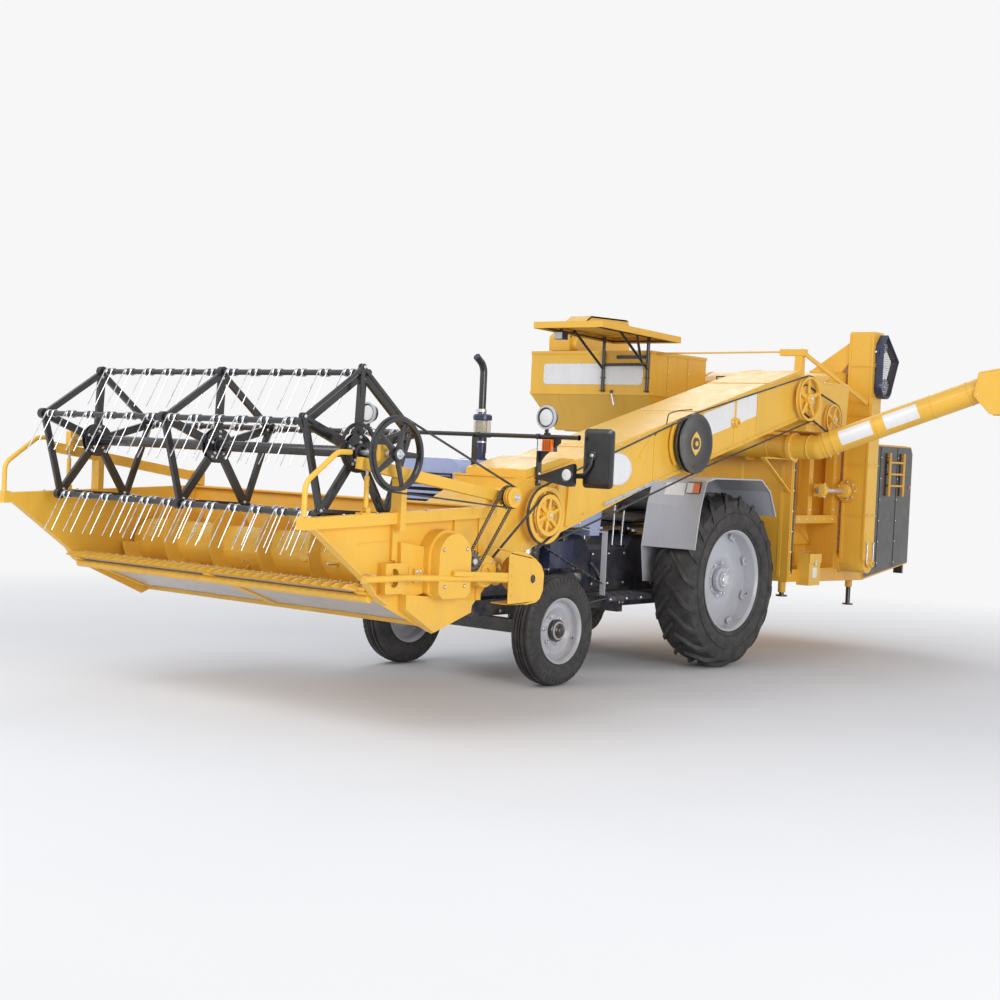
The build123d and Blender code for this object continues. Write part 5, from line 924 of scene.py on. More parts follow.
class HARVESTER_OT_header(bpy.types.Operator):
    "Builds the pan's straps, the cutter bar's fingers and knife, and the side sheets' stiffeners"
    bl_idname = "harvester.header"
    bl_label = "Header"

    def execute(self, context):
        pan = Form()
        middle = (HEADER_LEFT + HEADER_RIGHT) / 2
        width = HEADER_LEFT - HEADER_RIGHT
        strip_under(pan, middle, width - 16, 0.5, 2.5, 1)
        for y in (HEADER_LEFT - 43, middle, HEADER_RIGHT + 43):
            strip_under(pan, y, 70, 2.5, 12)
            shoe = on_circle(AUGER, TROUGH_OUT + 16, -96)
            pan.rod((shoe[0], y - 36, shoe[1]), (shoe[0], y + 36, shoe[1]), 20, 20)
        low = on_circle(AUGER, TROUGH_OUT + 16, -92)
        pan.beam((low[0], HEADER_LEFT - 10, low[1]), (low[0], HEADER_RIGHT + 10, low[1]), 60, 24)
        pan.rod((4372, HEADER_LEFT - 8, 738), (4372, HEADER_RIGHT + 8, 738), 22, 20)
        place_form("pan_straps", pan, "yellow pan_grey", "header")

        back = Form()
        for z in (1193, 1040):
            for i in range(9):
                y = HEADER_LEFT - 180 - i * 270
                if 660 < y < 1200 and z < 1100:
                    continue
                back.side_plate([(3453, z - 9), (3453, z + 9), (3459, z + 9), (3459, z - 9)], y + 50, 100, 1)
        back.beam((3470, HEADER_LEFT - 8, 1222), (3470, HEADER_RIGHT + 8, 1222), 34, 10)
        for y in (1190, 670):
            back.beam((3462, y, 700), (3462, y, 1010), 12, 40, ACROSS)
        back.beam((3462, 1200, 1012), (3462, 660, 1012), 12, 30)
        place_form("back_wall_trim", back, "yellow black", "header")

        bar = Form()
        left, right = HEADER_LEFT - 7, HEADER_RIGHT + 7
        bar.box((4350, 4418), (right, left), (784.3, 798))
        bar.box((4372, 4400), (right + 4, left - 4), (798, 806), 1)
        count = int((left - right - 40) // KNIFE_PITCH)
        first = (left + right - (count - 1) * KNIFE_PITCH) / 2
        for i in range(count):
            y = first + i * KNIFE_PITCH
            sections = []
            for x, w, low_z, high_z in ((4352, 15, 797, 812), (4402, 15, 776, 814), (4440, 13, 780, 816),
                                        (4480, 8, 788, 812), (4516, 1.5, 796, 801)):
                sections.append([(x, y - w, low_z), (x, y + w, low_z), (x, y + w * 0.8, high_z),
                                 (x, y - w * 0.8, high_z)])
            bar.loop(sections)
            bar.bolt((4372, y, 812), UP, 7, 6, 1)
            k = y + KNIFE_PITCH / 2
            if i < count - 1:
                bar.prism([(4392, k - 36, 806), (4392, k + 36, 806), (4452, k + 6, 806), (4452, k - 6, 806)],
                          (0, 0, 3), 1)
                bar.box((4358, 4386), (k - 10, k + 10), (798, 815))
        place_form("cutter_fingers", bar, "yellow steel", "header", 0.8,
                   32, ["cutter_bar"])

        sides = Form()
        for out, face in ((1, HEADER_LEFT), (-1, HEADER_RIGHT)):
            def y_of(distance):
                return face + out * distance

            def slab(outline, thick):
                low, high = sorted((y_of(0.5), y_of(0.5 + thick)))
                sides.side_plate(outline, high, high - low)

            slab([(4180, 1190), (4234, 1190), (4201, 782), (4150, 778)], 14)
            slab([(3700, 1190), (3745, 1190), (3745, 1010), (3700, 1010)], 14)
            slab([(4478, 1030), (4478, 1024), (4250, 1036), (4250, 1042)], 5)
            slab([(3490, 1180), (3530, 1180), (3530, 700), (3490, 700)], 10)
            for x in (4860, 4620, 4380, 3990, 3620):
                sides.bolt((x, y_of(27), rail_top(x) + 0.5), UP, 8, 6, 1)
            for x, z in ((4894, 1110), (4700, 975), (4540, 862)):
                sides.bolt((x - 60, y_of(0.5), z + 20), (0, out, 0), 7, 5, 1)
            foot = y_of(28)
            rail_z = rail_top(4900)
            sides.box((4872, 4918), sorted((foot - 22, foot + 22)), (rail_z + 0.5, rail_z + 7))
            for dx in (-14, 14):
                for dy in (-14, 14):
                    sides.bolt((4896 + dx, foot + dy, rail_z + 7), UP, 5, 4, 1)
        place_form("side_stiffeners", sides, "yellow zinc", "header")

        auger = Form()
        for y in (430, 930, -80, -560, -1000):
            for k in range(3):
                x, z = on_circle(AUGER, 150, 120 * k + y * 0.3)
                auger.disc((x, y, z), (x - AUGER[0], 0, z - AUGER[1]), 34, 5, 0, 2, 20)
                for j in range(4):
                    a = radians(90 * j + 45)
                    out = Vector((x - AUGER[0], 0, z - AUGER[1])).normalized()
                    across = Vector(ACROSS)
                    up = out.cross(across)
                    auger.bolt(Vector((x, y, z)) + out * 2.5 + across * 24 * cos(a) + up * 24 * sin(a), out,
                               4, 4, 1)
        for i in range(10):
            y = 700 + 46 * i
            x, z = on_circle(AUGER, 150, 36 * i * 3)
            tip = on_circle(AUGER, 232, 36 * i * 3)
            auger.rod((x, y, z), (tip[0], y, tip[1]), 7, 10, 1)
            auger.disc((x, y, z), (x - AUGER[0], 0, z - AUGER[1]), 15, 10, 0, 2, 14)
        place_form("auger_covers", auger, "yellow zinc", "auger")
        return {"FINISHED"}


class HARVESTER_OT_side_drives(bpy.types.Operator):
    "Builds the covers, chains, knife drive, guard tube and shield on the header's left side"
    bl_idname = "harvester.side_drives"
    bl_label = "Side drives"

    def execute(self, context):
        face = HEADER_LEFT + 0.5
        form = Form()
        for y0, y1, r in ((face, face + 78, 148), (face + 78, face + 142, 130)):
            outline = [on_circle((COVER_X, COVER_Z), r, 180 - 12 * k) for k in range(16)]
            outline += [(COVER_X + r, 765), (COVER_X + r * 0.7, 735), (COVER_X - r * 0.7, 735),
                        (COVER_X - r, 765)]
            form.side_plate(outline[::-1], y1, y1 - y0)
        form.tube([(x, face + 139, z) for x, z in [on_circle((COVER_X, COVER_Z), 128, 180 - 12 * k)
                                                   for k in range(16)]], 3.5, 8)
        for x, z in ((3775, 1000), (3965, 1000), (3790, 800), (3950, 800)):
            form.bolt((x, face + 140, z), ACROSS, 8, 5, 1)
        form.side_plate([(4198, 1036), (4015, 1010), (4002, 760), (4150, 740), (4190, 780)], face + 40, 39)
        form.side_plate([(4163, 759), (3790, 726), (3619, 701), (3625, 640), (3928, 545), (4159, 680)],
                        face + 59, 59)
        form.side_plate([(4120, 742), (3800, 712), (3650, 692), (3655, 652), (3926, 566), (4118, 684)],
                        face + 59.8, 2)
        # knife head plate with its oval window, the knife's pin behind it
        corners = [(4328, 762), (4328, 928), (4182, 928), (4182, 772)]
        form.side_plate(corners, face + 20, 19)
        slot, frame_line = [], []
        for k in range(32):
            a = 2 * pi * k / 32 + pi / 32
            u, v = cos(a), sin(a)
            slot.append((WINDOW_X + 35 * u, WINDOW_Z + 35 * v + (17 if v > 0 else -17)))
            reach = min(66 / u if u > 0.01 else 9999, 78 / v if v > 0.01 else 9999,
                        -80 / u if u < -0.01 else 9999, -84 / v if v < -0.01 else 9999)
            frame_line.append((WINDOW_X + reach * u, WINDOW_Z + reach * v))
        ring_plate(form, frame_line, slot, face + 60, 42)
        form.tube([(x, face + 60, z) for x, z in slot + slot[:1]], 3, 8)
        form.rod((WINDOW_X, face + 19, WINDOW_Z), (WINDOW_X, face + 58, WINDOW_Z), 16, 18, 1)
        form.rod((WINDOW_X, face + 34, 812), (WINDOW_X, face + 34, 892), 12, 14)
        # knife drive slide with its adjusting blocks
        form.box((3995, 4155), (face, face + 34), (905, 922))
        form.box((3995, 4150), (face, face + 30), (790, 806))
        for x in (4020, 4120):
            form.box((x - 14, x + 14), (face + 4, face + 44), (806, 905))
            form.bolt((x, face + 24, 922), UP, 11, 16)
            form.rod((x, face + 24, 922), (x, face + 24, 952), 7, 10, 1)
        form.box((4040, 4100), (face, face + 58), (818, 893))
        form.bolts([(4055, face + 58, 880), (4085, face + 58, 880), (4055, face + 58, 830)], ACROSS, 8, 7, 1)
        # knife drive arm: long pipe and box beam to the shield
        guard = rounded([(4500, face + 72, 850), (4200, face + 90, 852), (3960, face + 135, 846),
                         (3640, face + 160, 838), (3330, face + 166, 818)], 160, 4)
        form.tube(guard, 18, 18)
        form.beam((3900, face + 158, 872), (3430, face + 172, 850), 18, 26)
        form.disc((4496, face + 72, 850), (1, 0.05, 0), 22, 14, steps=20)
        form.rod((4425, face, 860), (4425, face + 74, 860), 14, 14, 1)
        # shield: bowed plate with a rolled rear edge
        outline = [(3460, 971), (3420, 985), (3300, 968), (3225, 934), (3170, 895), (3146, 850), (3150, 760),
                   (3175, 712), (3207, 694), (3300, 684), (3460, 684)]
        form.side_plate(outline, face + 184, 5)
        form.tube(rounded([(x, face + 181, z) for x, z in outline[1:-1]], 30, 3), 6, 8)
        form.prism([(3460, face + 60, 1002), (3460, face + 184, 975), (3230, face + 184, 936),
                    (3330, face + 60, 975)], (0, 0, 5))
        form.prism([(3460, face + 60, 686), (3460, face + 184, 684), (3210, face + 184, 692),
                    (3330, face + 60, 690)], (0, 0, 5))
        form.side_plate([(3245, 800), (3262, 812), (3262, 838), (3245, 850), (3228, 838), (3228, 812)],
                        face + 190, 7, 2)
        for z in (740, 800, 845, 905):
            form.bolt((3432, face + 184, z), ACROSS, 7, 5)
        # lower drum, its belt pulley and the bearing ring
        form.disc((DRUM_X, face + 50, DRUM_Z), ACROSS, 92, 96, 0, 4, 40)
        form.disc((DRUM_X, face + 102, DRUM_Z), ACROSS, 44, 14, 18, 3, 28)
        for k in range(4):
            x, z = on_circle((DRUM_X, DRUM_Z), 68, 90 * k + 45)
            form.bolt((x, face + 98, z), ACROSS, 7, 6, 1)
        form.disc((RING_X, face + 83, RING_Z), ACROSS, 62, 14, 26, 3, 32)
        form.disc((RING_X, face + 86, RING_Z), ACROSS, 28, 18, 10, 3, 20, 3)
        form.rod((RING_X, face, RING_Z), (RING_X, face + 96, RING_Z), 12, 14, 1)
        for k in range(6):
            x, z = on_circle((RING_X, RING_Z), 48, 60 * k)
            form.bolt((x, face + 90, z), ACROSS, 5, 4, 1)
        teeth = sprocket(form, LOWER_SPROCKET, PULLEY_Y - 35, 13, 7, 26, 3)
        form.rod((LOWER_SPROCKET[0], face + 100, LOWER_SPROCKET[1]),
                 (LOWER_SPROCKET[0], PULLEY_Y - 20, LOWER_SPROCKET[1]), 17, 16, 1)
        path = round_path([(*JACK, 61.4), (*LOWER_SPROCKET, teeth)], 12)
        roller_chain(form, path, context.scene.harvester_sizes.chain_pitch / 2, PULLEY_Y - 35, 3)
        pulley(form, SHIELD_PULLEY, face + 70, 30, 100, 26, 4, 22)
        pulley(form, SHIELD_PULLEY, BELT_Y, 18, 82, 26, 4, 20)
        belt_run(form, round_path([(*DRIVE, 121), (*SHIELD_PULLEY, 77)], 14), BELT_Y, 13, 9, 4)
        form.rod((SHIELD_PULLEY[0], 1262, SHIELD_PULLEY[1]), (SHIELD_PULLEY[0], face + 96, SHIELD_PULLEY[1]),
                 14, 16, 1)
        place_form("header_drives", form, "yellow zinc black chain belt",
                   "header", 1.0, 32, ["side_drives"])

        jack = Form()
        pulley(jack, JACK, PULLEY_Y, 40, 58, 30, 0, 1, 2, rim=40)
        sprocket(jack, JACK, PULLEY_Y - 35, 15, 7, 24, 1)
        key_hub(jack, JACK, PULLEY_Y + 26, 1, 20, 2)
        place_form("jack_pulley", jack, "yellow chain zinc", "jackshaft",
                   0.8, 32, ["jackshaft"])
        return {"FINISHED"}


# Feeder: inclined duct on the header, its left face at FEEDER_LEFT, with pulleys and the lamp bar
FEEDER_LEFT, FEEDER_RIGHT = 1180.0, 680.0
FEEDER_SLOPE = 0.2685
FOLD = 26
GUIDE = (1190.0, 1652.6)
TOP = (-390.0, 2040.0)
BAR_X, BAR_Z = 2800.0, 1640.0
LAMP_Y = (1240.0, -240.0)


def duct_top(x):
    "height of the duct's top sheet"
    return 1588 + FEEDER_SLOPE * (2129 - x)


def flanged_bearing(form, centre, y, out=1, size=58, mark=0, bolt_mark=0):
    "pillow block with its two bolts on a side sheet"
    x, z = centre
    outline = [(x + size * a, z + size * b) for a, b in ((-1.15, -0.3), (-0.5, -0.72), (0.5, -0.72),
                                                         (1.15, -0.3), (1.15, 0.3), (0.5, 0.72), (-0.5, 0.72),
                                                         (-1.15, 0.3))]
    form.side_plate(outline, y + 12 if out > 0 else y, 12, mark)
    form.disc((x, y + out * 20, z), ACROSS, size * 0.62, 28, size * 0.32, 4, 28, mark)
    for side in (-1, 1):
        form.bolt((x + side * size * 0.86, y + out * 12, z), (0, out, 0), 8, 7, bolt_mark)


def front_lamp(form, y, marks):
    "round work lamp on its stem: shell, rim, black ring and blank lens"
    shell, rim, ring, lens = marks
    form.rod((BAR_X, y, BAR_Z + 8), (BAR_X, y, BAR_Z + 56), 8, 14, ring)
    form.box((BAR_X - 12, BAR_X + 12), (y - 16, y + 16), (BAR_Z + 12, BAR_Z + 24), ring)
    form.bolt((BAR_X + 12, y, BAR_Z + 34), AHEAD, 8, 7, shell)
    c = (BAR_X, y, BAR_Z + 115)
    form.lathe([(0.01, -40), (34, -38), (58, -24), (66, 2), (66, 14), (0.01, 14)], c, AHEAD, 40, shell)
    form.lathe([(60, 8), (70, 8), (72, 12), (72, 22), (69, 25), (60, 25)], c, AHEAD, 40, rim)
    form.lathe([(50, 12), (61, 12), (61, 22), (56, 24), (50, 20)], c, AHEAD, 40, ring)
    form.lathe([(0.01, 12), (51, 12), (51, 18), (36, 21), (18, 22.5), (0.01, 23)], c, AHEAD, 40, lens)


class HARVESTER_OT_lamp_bar(bpy.types.Operator):
    "Builds the lamp bar with its lamps, indicator, side lamp and mirror"
    bl_idname = "harvester.lamp_bar"
    bl_label = "Lamp bar"

    def execute(self, context):
        form = Form()
        black, lens, rim, white, orange, metal, glass = range(7)
        for y0, y1, z0 in ((1180.3, 1192, 1345), (668, 679.7, 1300)):
            form.box((BAR_X - 20, BAR_X + 20), (y0, y1), (z0, BAR_Z + 4), black)
            for z in (z0 + 24, z0 + 70):
                form.bolt((BAR_X, y1 if y0 > 1000 else y0, z), (0, 1 if y0 > 1000 else -1, 0), 8, 6, metal)
        form.prism([(BAR_X - 4, 1190, 1480), (BAR_X - 4, 1190, BAR_Z), (BAR_X - 4, 1345, BAR_Z),
                    (BAR_X - 4, 1345, BAR_Z - 34), (BAR_X - 4, 1235, BAR_Z - 110)], (8, 0, 0), black)
        form.rod((BAR_X, -330, BAR_Z), (BAR_X, 1480, BAR_Z), 14, 20, black)
        for y in (-326, 1476):
            form.rod((BAR_X, y - 4, BAR_Z), (BAR_X, y + 4, BAR_Z), 17, 20, black)
        for y in (700, 1172):
            form.rod((BAR_X, y - 12, BAR_Z), (BAR_X, y + 12, BAR_Z), 18, 18, black)
        for y in LAMP_Y:
            front_lamp(form, y, (black, rim, black, lens))
        # indicator: blank lens, white inboard and orange outboard
        form.box((BAR_X - 28, BAR_X + 10), (1192, 1298), (BAR_Z - 88, BAR_Z - 14), black)
        form.box((BAR_X + 8, BAR_X + 29), (1193, 1226), (BAR_Z - 86, BAR_Z - 16), white)
        form.box((BAR_X + 8, BAR_X + 30), (1227.5, 1298), (BAR_Z - 86, BAR_Z - 16), orange)
        for i in range(4):
            form.box((BAR_X + 29, BAR_X + 30), (1236 + 15 * i, 1242 + 15 * i), (BAR_Z - 82, BAR_Z - 20),
                     orange)
        # side lamp in a wedge pointing inwards
        low, high = BAR_X + 10, BAR_X + 42
        form.prism([(low, 1194, 1398), (low, 1194, 1386), (low, 1440, 1349), (low, 1470, 1352),
                    (low, 1478, 1368), (low, 1478, 1470), (low, 1470, 1486)], (high - low, 0, 0), black)
        c = (high, 1432, 1420)
        form.lathe([(34, -2), (46, -2), (46, 4), (42, 8), (34, 6)], c, AHEAD, 32, black)
        form.lathe([(0.01, 0), (38, 0), (38, 4), (22, 7), (0.01, 8)], c, AHEAD, 32, lens)
        # mirror: rounded shell with its glass to the rear, arm and pivot
        middle_y, middle_z, half_y, half_z = 1590.0, 1522.0, 106.0, 174.0
        corners = []
        for sy, sz, start in ((1, -1, -90), (1, 1, 0), (-1, 1, 90), (-1, -1, 180)):
            for k in range(6):
                a = radians(start + 18 * k)
                corners.append((middle_y + sy * (half_y - 26) + 26 * cos(a),
                                middle_z + sz * (half_z - 26) + 26 * sin(a)))
        sections = []
        for x, grow in ((BAR_X - 58, -4), (BAR_X - 59, 0), (BAR_X - 46, 1), (BAR_X - 38, -8),
                        (BAR_X - 35.2, -26)):
            sections.append([(x, middle_y + (y - middle_y) * (1 + grow / half_y),
                              middle_z + (z - middle_z) * (1 + grow / half_z)) for y, z in corners])
        form.loop(sections, mark=black)
        inner = [(BAR_X - 60, middle_y + (y - middle_y) * 0.94, middle_z + (z - middle_z) * 0.96)
                 for y, z in corners]
        form.prism(inner, (2, 0, 0), glass)
        form.lathe([(0.01, -4), (26, -4), (26, 4), (18, 10), (0.01, 10)], (BAR_X - 34, 1560, 1538), AHEAD, 24,
                   black)
        form.bolt((BAR_X - 24, 1560, 1538), AHEAD, 9, 7, metal)
        form.tube(rounded([(BAR_X - 6, 1470, 1420), (BAR_X - 16, 1520, 1430), (BAR_X - 24, 1556, 1480),
                           (BAR_X - 26, 1560, 1540)], 40, 4), 9, 12, black)
        form.box((BAR_X - 36, BAR_X + 12), (1470, 1500), (1400, 1430), black)
        place_form("lamp_bar_pieces", form, "black lens silver white orange zinc mirror",
                   "header", 1.2, 32, ["lamp_bar"])
        return {"FINISHED"}


class HARVESTER_OT_feeder(bpy.types.Operator):
    "Builds the duct's seams, cover, bearings and blank plates, and its pulleys"
    bl_idname = "harvester.feeder"
    bl_label = "Feeder"

    def execute(self, context):
        face = FEEDER_LEFT
        form = Form()
        yellow, white, metal, black = range(4)
        # cover over the duct's front end, with its stepped front
        y0, y1 = FEEDER_RIGHT + 22, face - 12
        cover = [(2900, 1384), (2900, 1438), (2560, duct_top(2560) + 44), (2420, duct_top(2420) + 3),
                 (2420, duct_top(2420) - 2)]
        form.side_plate(cover, y1, y1 - y0, yellow)
        step = [(3004, 1328), (3004, 1392), (2890, 1396), (2890, 1380)]
        form.side_plate(step, y1 + 4, y1 - y0 + 12, yellow)
        form.box((3000, 3012), (y0 - 12, y1 + 8), (1388, 1398), yellow)

        # folded edges, seams and straps of the sheets
        def along(x0, x1, drop, y, thick, mark):
            form.side_plate([(x0, duct_top(x0) - drop), (x1, duct_top(x1) - drop),
                             (x1, duct_top(x1) - drop - FOLD), (x0, duct_top(x0) - drop - FOLD)], y, thick,
                            mark)

        along(2880, -310, 1, face + 5, 4.5, yellow)
        along(2100, 1500, 349, face + 7, 6.5, metal)
        along(1500, -380, 349, face + 5, 4.5, yellow)
        along(2100, -380, 349, FEEDER_RIGHT - 0.5, 4.5, yellow)
        along(2880, -310, 1, FEEDER_RIGHT - 0.5, 4.5, yellow)
        for x in (1556, 560, 250):
            z = duct_top(x)
            form.box((x - 13, x + 13), (face + 0.5, face + 4), (z - 346, z - 28), yellow)
        form.side_plate([(1740, 1552), (1716, 1536), (1545, 1706), (1575, 1714)], face + 4, 3.5, yellow)
        for x in (2100, 1050, 120):
            z = duct_top(x)
            form.prism([(x - 15, FEEDER_RIGHT + 4, z + 15 * FEEDER_SLOPE + 0.5),
                        (x + 15, FEEDER_RIGHT + 4, z - 15 * FEEDER_SLOPE + 0.5),
                        (x + 15, face - 4, z - 15 * FEEDER_SLOPE + 0.5),
                        (x - 15, face - 4, z + 15 * FEEDER_SLOPE + 0.5)], (0.8, 0, 3), yellow)
            for k in range(5):
                form.bolt((x, FEEDER_RIGHT + 40 + 105 * k, z + 3), (FEEDER_SLOPE, 0, 1), 5, 3, metal)
        for k in range(15):
            x = 2800 - 210 * k
            form.bolt((x, face + 5, duct_top(x) - 14), ACROSS, 6, 4, metal if k % 3 else yellow)
            form.bolt((x - 60, face + 5, duct_top(x - 60) - 361), ACROSS, 6, 4, yellow)
        # blank plates: oval on the side, slanted near the upper end
        oval = [(1966 + 148 * cos(2 * pi * k / 48), 1462 + 102 * sin(2 * pi * k / 48)) for k in range(48)]
        form.side_plate(oval[::-1], face + 2.2, 1.7, white)
        ring_plate(form, [(1966 + (x - 1966) * 1.02, 1462 + (z - 1462) * 1.03) for x, z in oval],
                   [(1966 + (x - 1966) * 0.98, 1462 + (z - 1462) * 0.97) for x, z in oval], face + 2.9, 2.4,
                   metal)
        x0, x1 = 975, 270
        form.side_plate([(x0, duct_top(x0) - 34), (x1, duct_top(x1) - 34), (x1, duct_top(x1) - 206),
                         (x0, duct_top(x0) - 206)], face + 2.2, 1.7, white)
        # bearings of the pulleys' shafts and the take-up slide of the front shaft
        for centre in (DRIVE, GUIDE):
            flanged_bearing(form, centre, face + 0.5, 1, 74, yellow, metal)
        flanged_bearing(form, (560, duct_top(560) - 190), face + 0.5, 1, 48, yellow, metal)
        form.side_plate([(2700, 1296), (2700, 1372), (2560, 1410), (2540, 1345), (2560, 1180), (2640, 1180)],
                        face + 10, 9.5, yellow)
        for x, z in ((2655, 1340), (2590, 1366), (2590, 1230), (2640, 1262)):
            form.bolt((x, face + 10, z), ACROSS, 11, 10, yellow)
        form.rod((2690, face + 26, 1310), (2560, face + 26, 1350), 8, 12, metal)
        form.box((2600, 2640), (face + 8, face + 42), (1316, 1352), yellow)
        form.side_plate([(2480, 1096), (2520, 1100), (2500, 1372), (2460, 1380)], face + 16, 15.5, yellow)
        # wire belt keeper over the guide pulley and the sheet before it
        form.tube(rounded([(1440, face + 6, duct_top(1440) - 4), (1440, face + 20, duct_top(1440) + 70),
                           (1330, face + 30, duct_top(1330) + 66), (1215, face + 60, duct_top(1215) + 48)],
                          24, 4), 4, 8, black)
        outer = [on_circle(GUIDE, 214, a) for a in range(-46, 47, 8)]
        inner = [on_circle(GUIDE, 196, a) for a in range(-46, 47, 8)]
        arc = outer + inner[::-1]
        form.side_plate(arc[::-1], face + 30, 18, yellow)
        place_form("feeder_trim", form, "yellow white zinc black", "header")

        drive = Form()
        x, z = DRIVE
        drive.lathe([(146, -18), (170, -18), (172, -16), (172, -12), (160, -4), (160, 4), (172, 12),
                     (172, 16), (170, 18), (146, 18), (142, 8), (142, -8)], (x, FIRST_BELT_Y, z), ACROSS, 56)
        pulley(drive, DRIVE, FIRST_BELT_Y, 30, 162, 44, 5, 30, 1, 12, 16)
        drive.lathe([(104, -10), (124, -10), (126, -8), (118, -2), (118, 2), (126, 8), (124, 10), (104, 10),
                     (100, 5), (100, -5)], (x, BELT_Y, z), ACROSS, 48)
        pulley(drive, DRIVE, BELT_Y, 16, 112, 36, 6, 22, 1, 40, 12)
        key_hub(drive, DRIVE, 1281, 0.25, 18, 1)
        place_form("drive_wheels", drive, "yellow zinc", "drive_pulley", 0.8, 32,
                   ["drive_pulley"])

        guide = Form()
        x, z = GUIDE
        guide.lathe([(40, -24), (186, -24), (188.4, -21), (188.4, -15), (178, -9), (178, -5), (188.4, 1),
                     (188.4, 4), (178, 9), (178, 12), (188.4, 16), (204, 18), (204, 22), (202, 24), (172, 23),
                     (160, 17), (70, 17), (40, 20)], (x, 1248, z), ACROSS, 64)
        guide.disc((x, 1258, z), ACROSS, 44, 26, SHAFT_HOLE, 3, 32)
        lens = []
        for side in (1, -1):
            for k in range(9):
                t = -1 + 2 * k / 8
                lens.append((x + side * 60 * (1 - t * t), z + side * t * 82))
        guide.side_plate(lens[::-1], 1268, 3, 1)
        guide.disc((x, 1267, z), ACROSS, 27, 6, 0, 2, 28, 1)
        guide.bolts([(x, 1268, z + 44), (x, 1268, z - 44)], ACROSS, 6, 3, 2)
        place_form("guide_wheel", guide, "black yellow zinc", "guide_pulley",
                   0.8, 32, ["guide_pulley"])
        return {"FINISHED"}


# Tractor: bonnet, stacks, operator's station, engine, fenders and frame
EXHAUST = (1760.0, -150.0)
CLEANER = (2120.0, 160.0)
REAR_AXLE_Z = 655.0
BONNET_HALF, ENGINE_HALF, STACK_Z = 280, 200, 1480


def bolt_ring(form, centre, axis, radius, count, size=8.0, mark=0, phase=0.0):
    "heads on a circle round an axis that lies along x, y or z"
    w = Vector(axis).normalized()
    u = w.orthogonal().normalized()
    v = w.cross(u)
    for k in range(count):
        turn = 2 * pi * (k + phase) / count
        form.bolt(Vector(centre) + u * radius * cos(turn) + v * radius * sin(turn), axis, size, size * 0.7,
                  mark)


def crowned_pad(name, centre, size, tilt, channels):
    "vinyl cushion: crowned form, its sides pulled in between the corners, sewn channels and a piped seam"
    cols, rows = 24, 24
    mesh = bpy.data.meshes.new(name)
    turn = Matrix.Rotation(radians(tilt), 3, "Y")
    verts, faces = [], []
    for face in (1, -1):
        for j in range(rows + 1):
            for i in range(cols + 1):
                u, v = -1 + 2 * i / cols, -1 + 2 * j / rows
                pull = 1 - 0.035 * (1 - v * v) if abs(u) > 0.9 else 1.0
                pull_v = 1 - 0.035 * (1 - u * u) if abs(v) > 0.9 else 1.0
                crown = (1 - abs(u) ** 3.5) ** 0.55 * (1 - abs(v) ** 3.5) ** 0.55
                sewn = min(1.0,
                           min(abs(u - c) for c in channels) / 0.07) if abs(v) < 0.8 and face > 0 else 1.0
                thick = size[2] * (0.5 * crown * (0.84 + 0.16 * sewn) if face > 0 else 0.28 * crown)
                p = Vector((u * size[0] / 2 * pull, v * size[1] / 2 * pull_v, face * thick))
                verts.append(turn @ p + Vector(centre))
    n = (cols + 1) * (rows + 1)
    for j in range(rows):
        for i in range(cols):
            a = j * (cols + 1) + i
            faces.append((a, a + 1, a + cols + 2, a + cols + 1))
            faces.append((n + a, n + a + cols + 1, n + a + cols + 2, n + a + 1))
    mesh.from_pydata([at(*v) for v in verts], [], faces)
    skin = bmesh.new()
    skin.from_mesh(mesh)
    bmesh.ops.remove_doubles(skin, verts=skin.verts, dist=0.0004)
    bmesh.ops.recalc_face_normals(skin, faces=skin.faces)
    skin.to_mesh(mesh)
    skin.free()
    mesh.materials.append(FINISH["vinyl"])
    mesh.polygons.foreach_set("use_smooth", [True] * len(mesh.polygons))
    pad = bpy.data.objects.new(name, mesh)
    bpy.context.scene.collection.objects.link(pad)
    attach(pad, "machine")
    seam = Form()
    rim = [turn @ Vector((size[0] / 2 * cos(a) * s, size[1] / 2 * sin(a) * s, 0)) + Vector(centre)
           for a in [2 * pi * k / 48 for k in range(49)]
           for s in [0.985 / max(abs(cos(a)) ** 8 + abs(sin(a)) ** 8, 1e-6) ** 0.125]]
    seam.tube(rim, 3.2, 8)
    place_form(f"{name}_piping", seam, "plastic", "machine", 0)


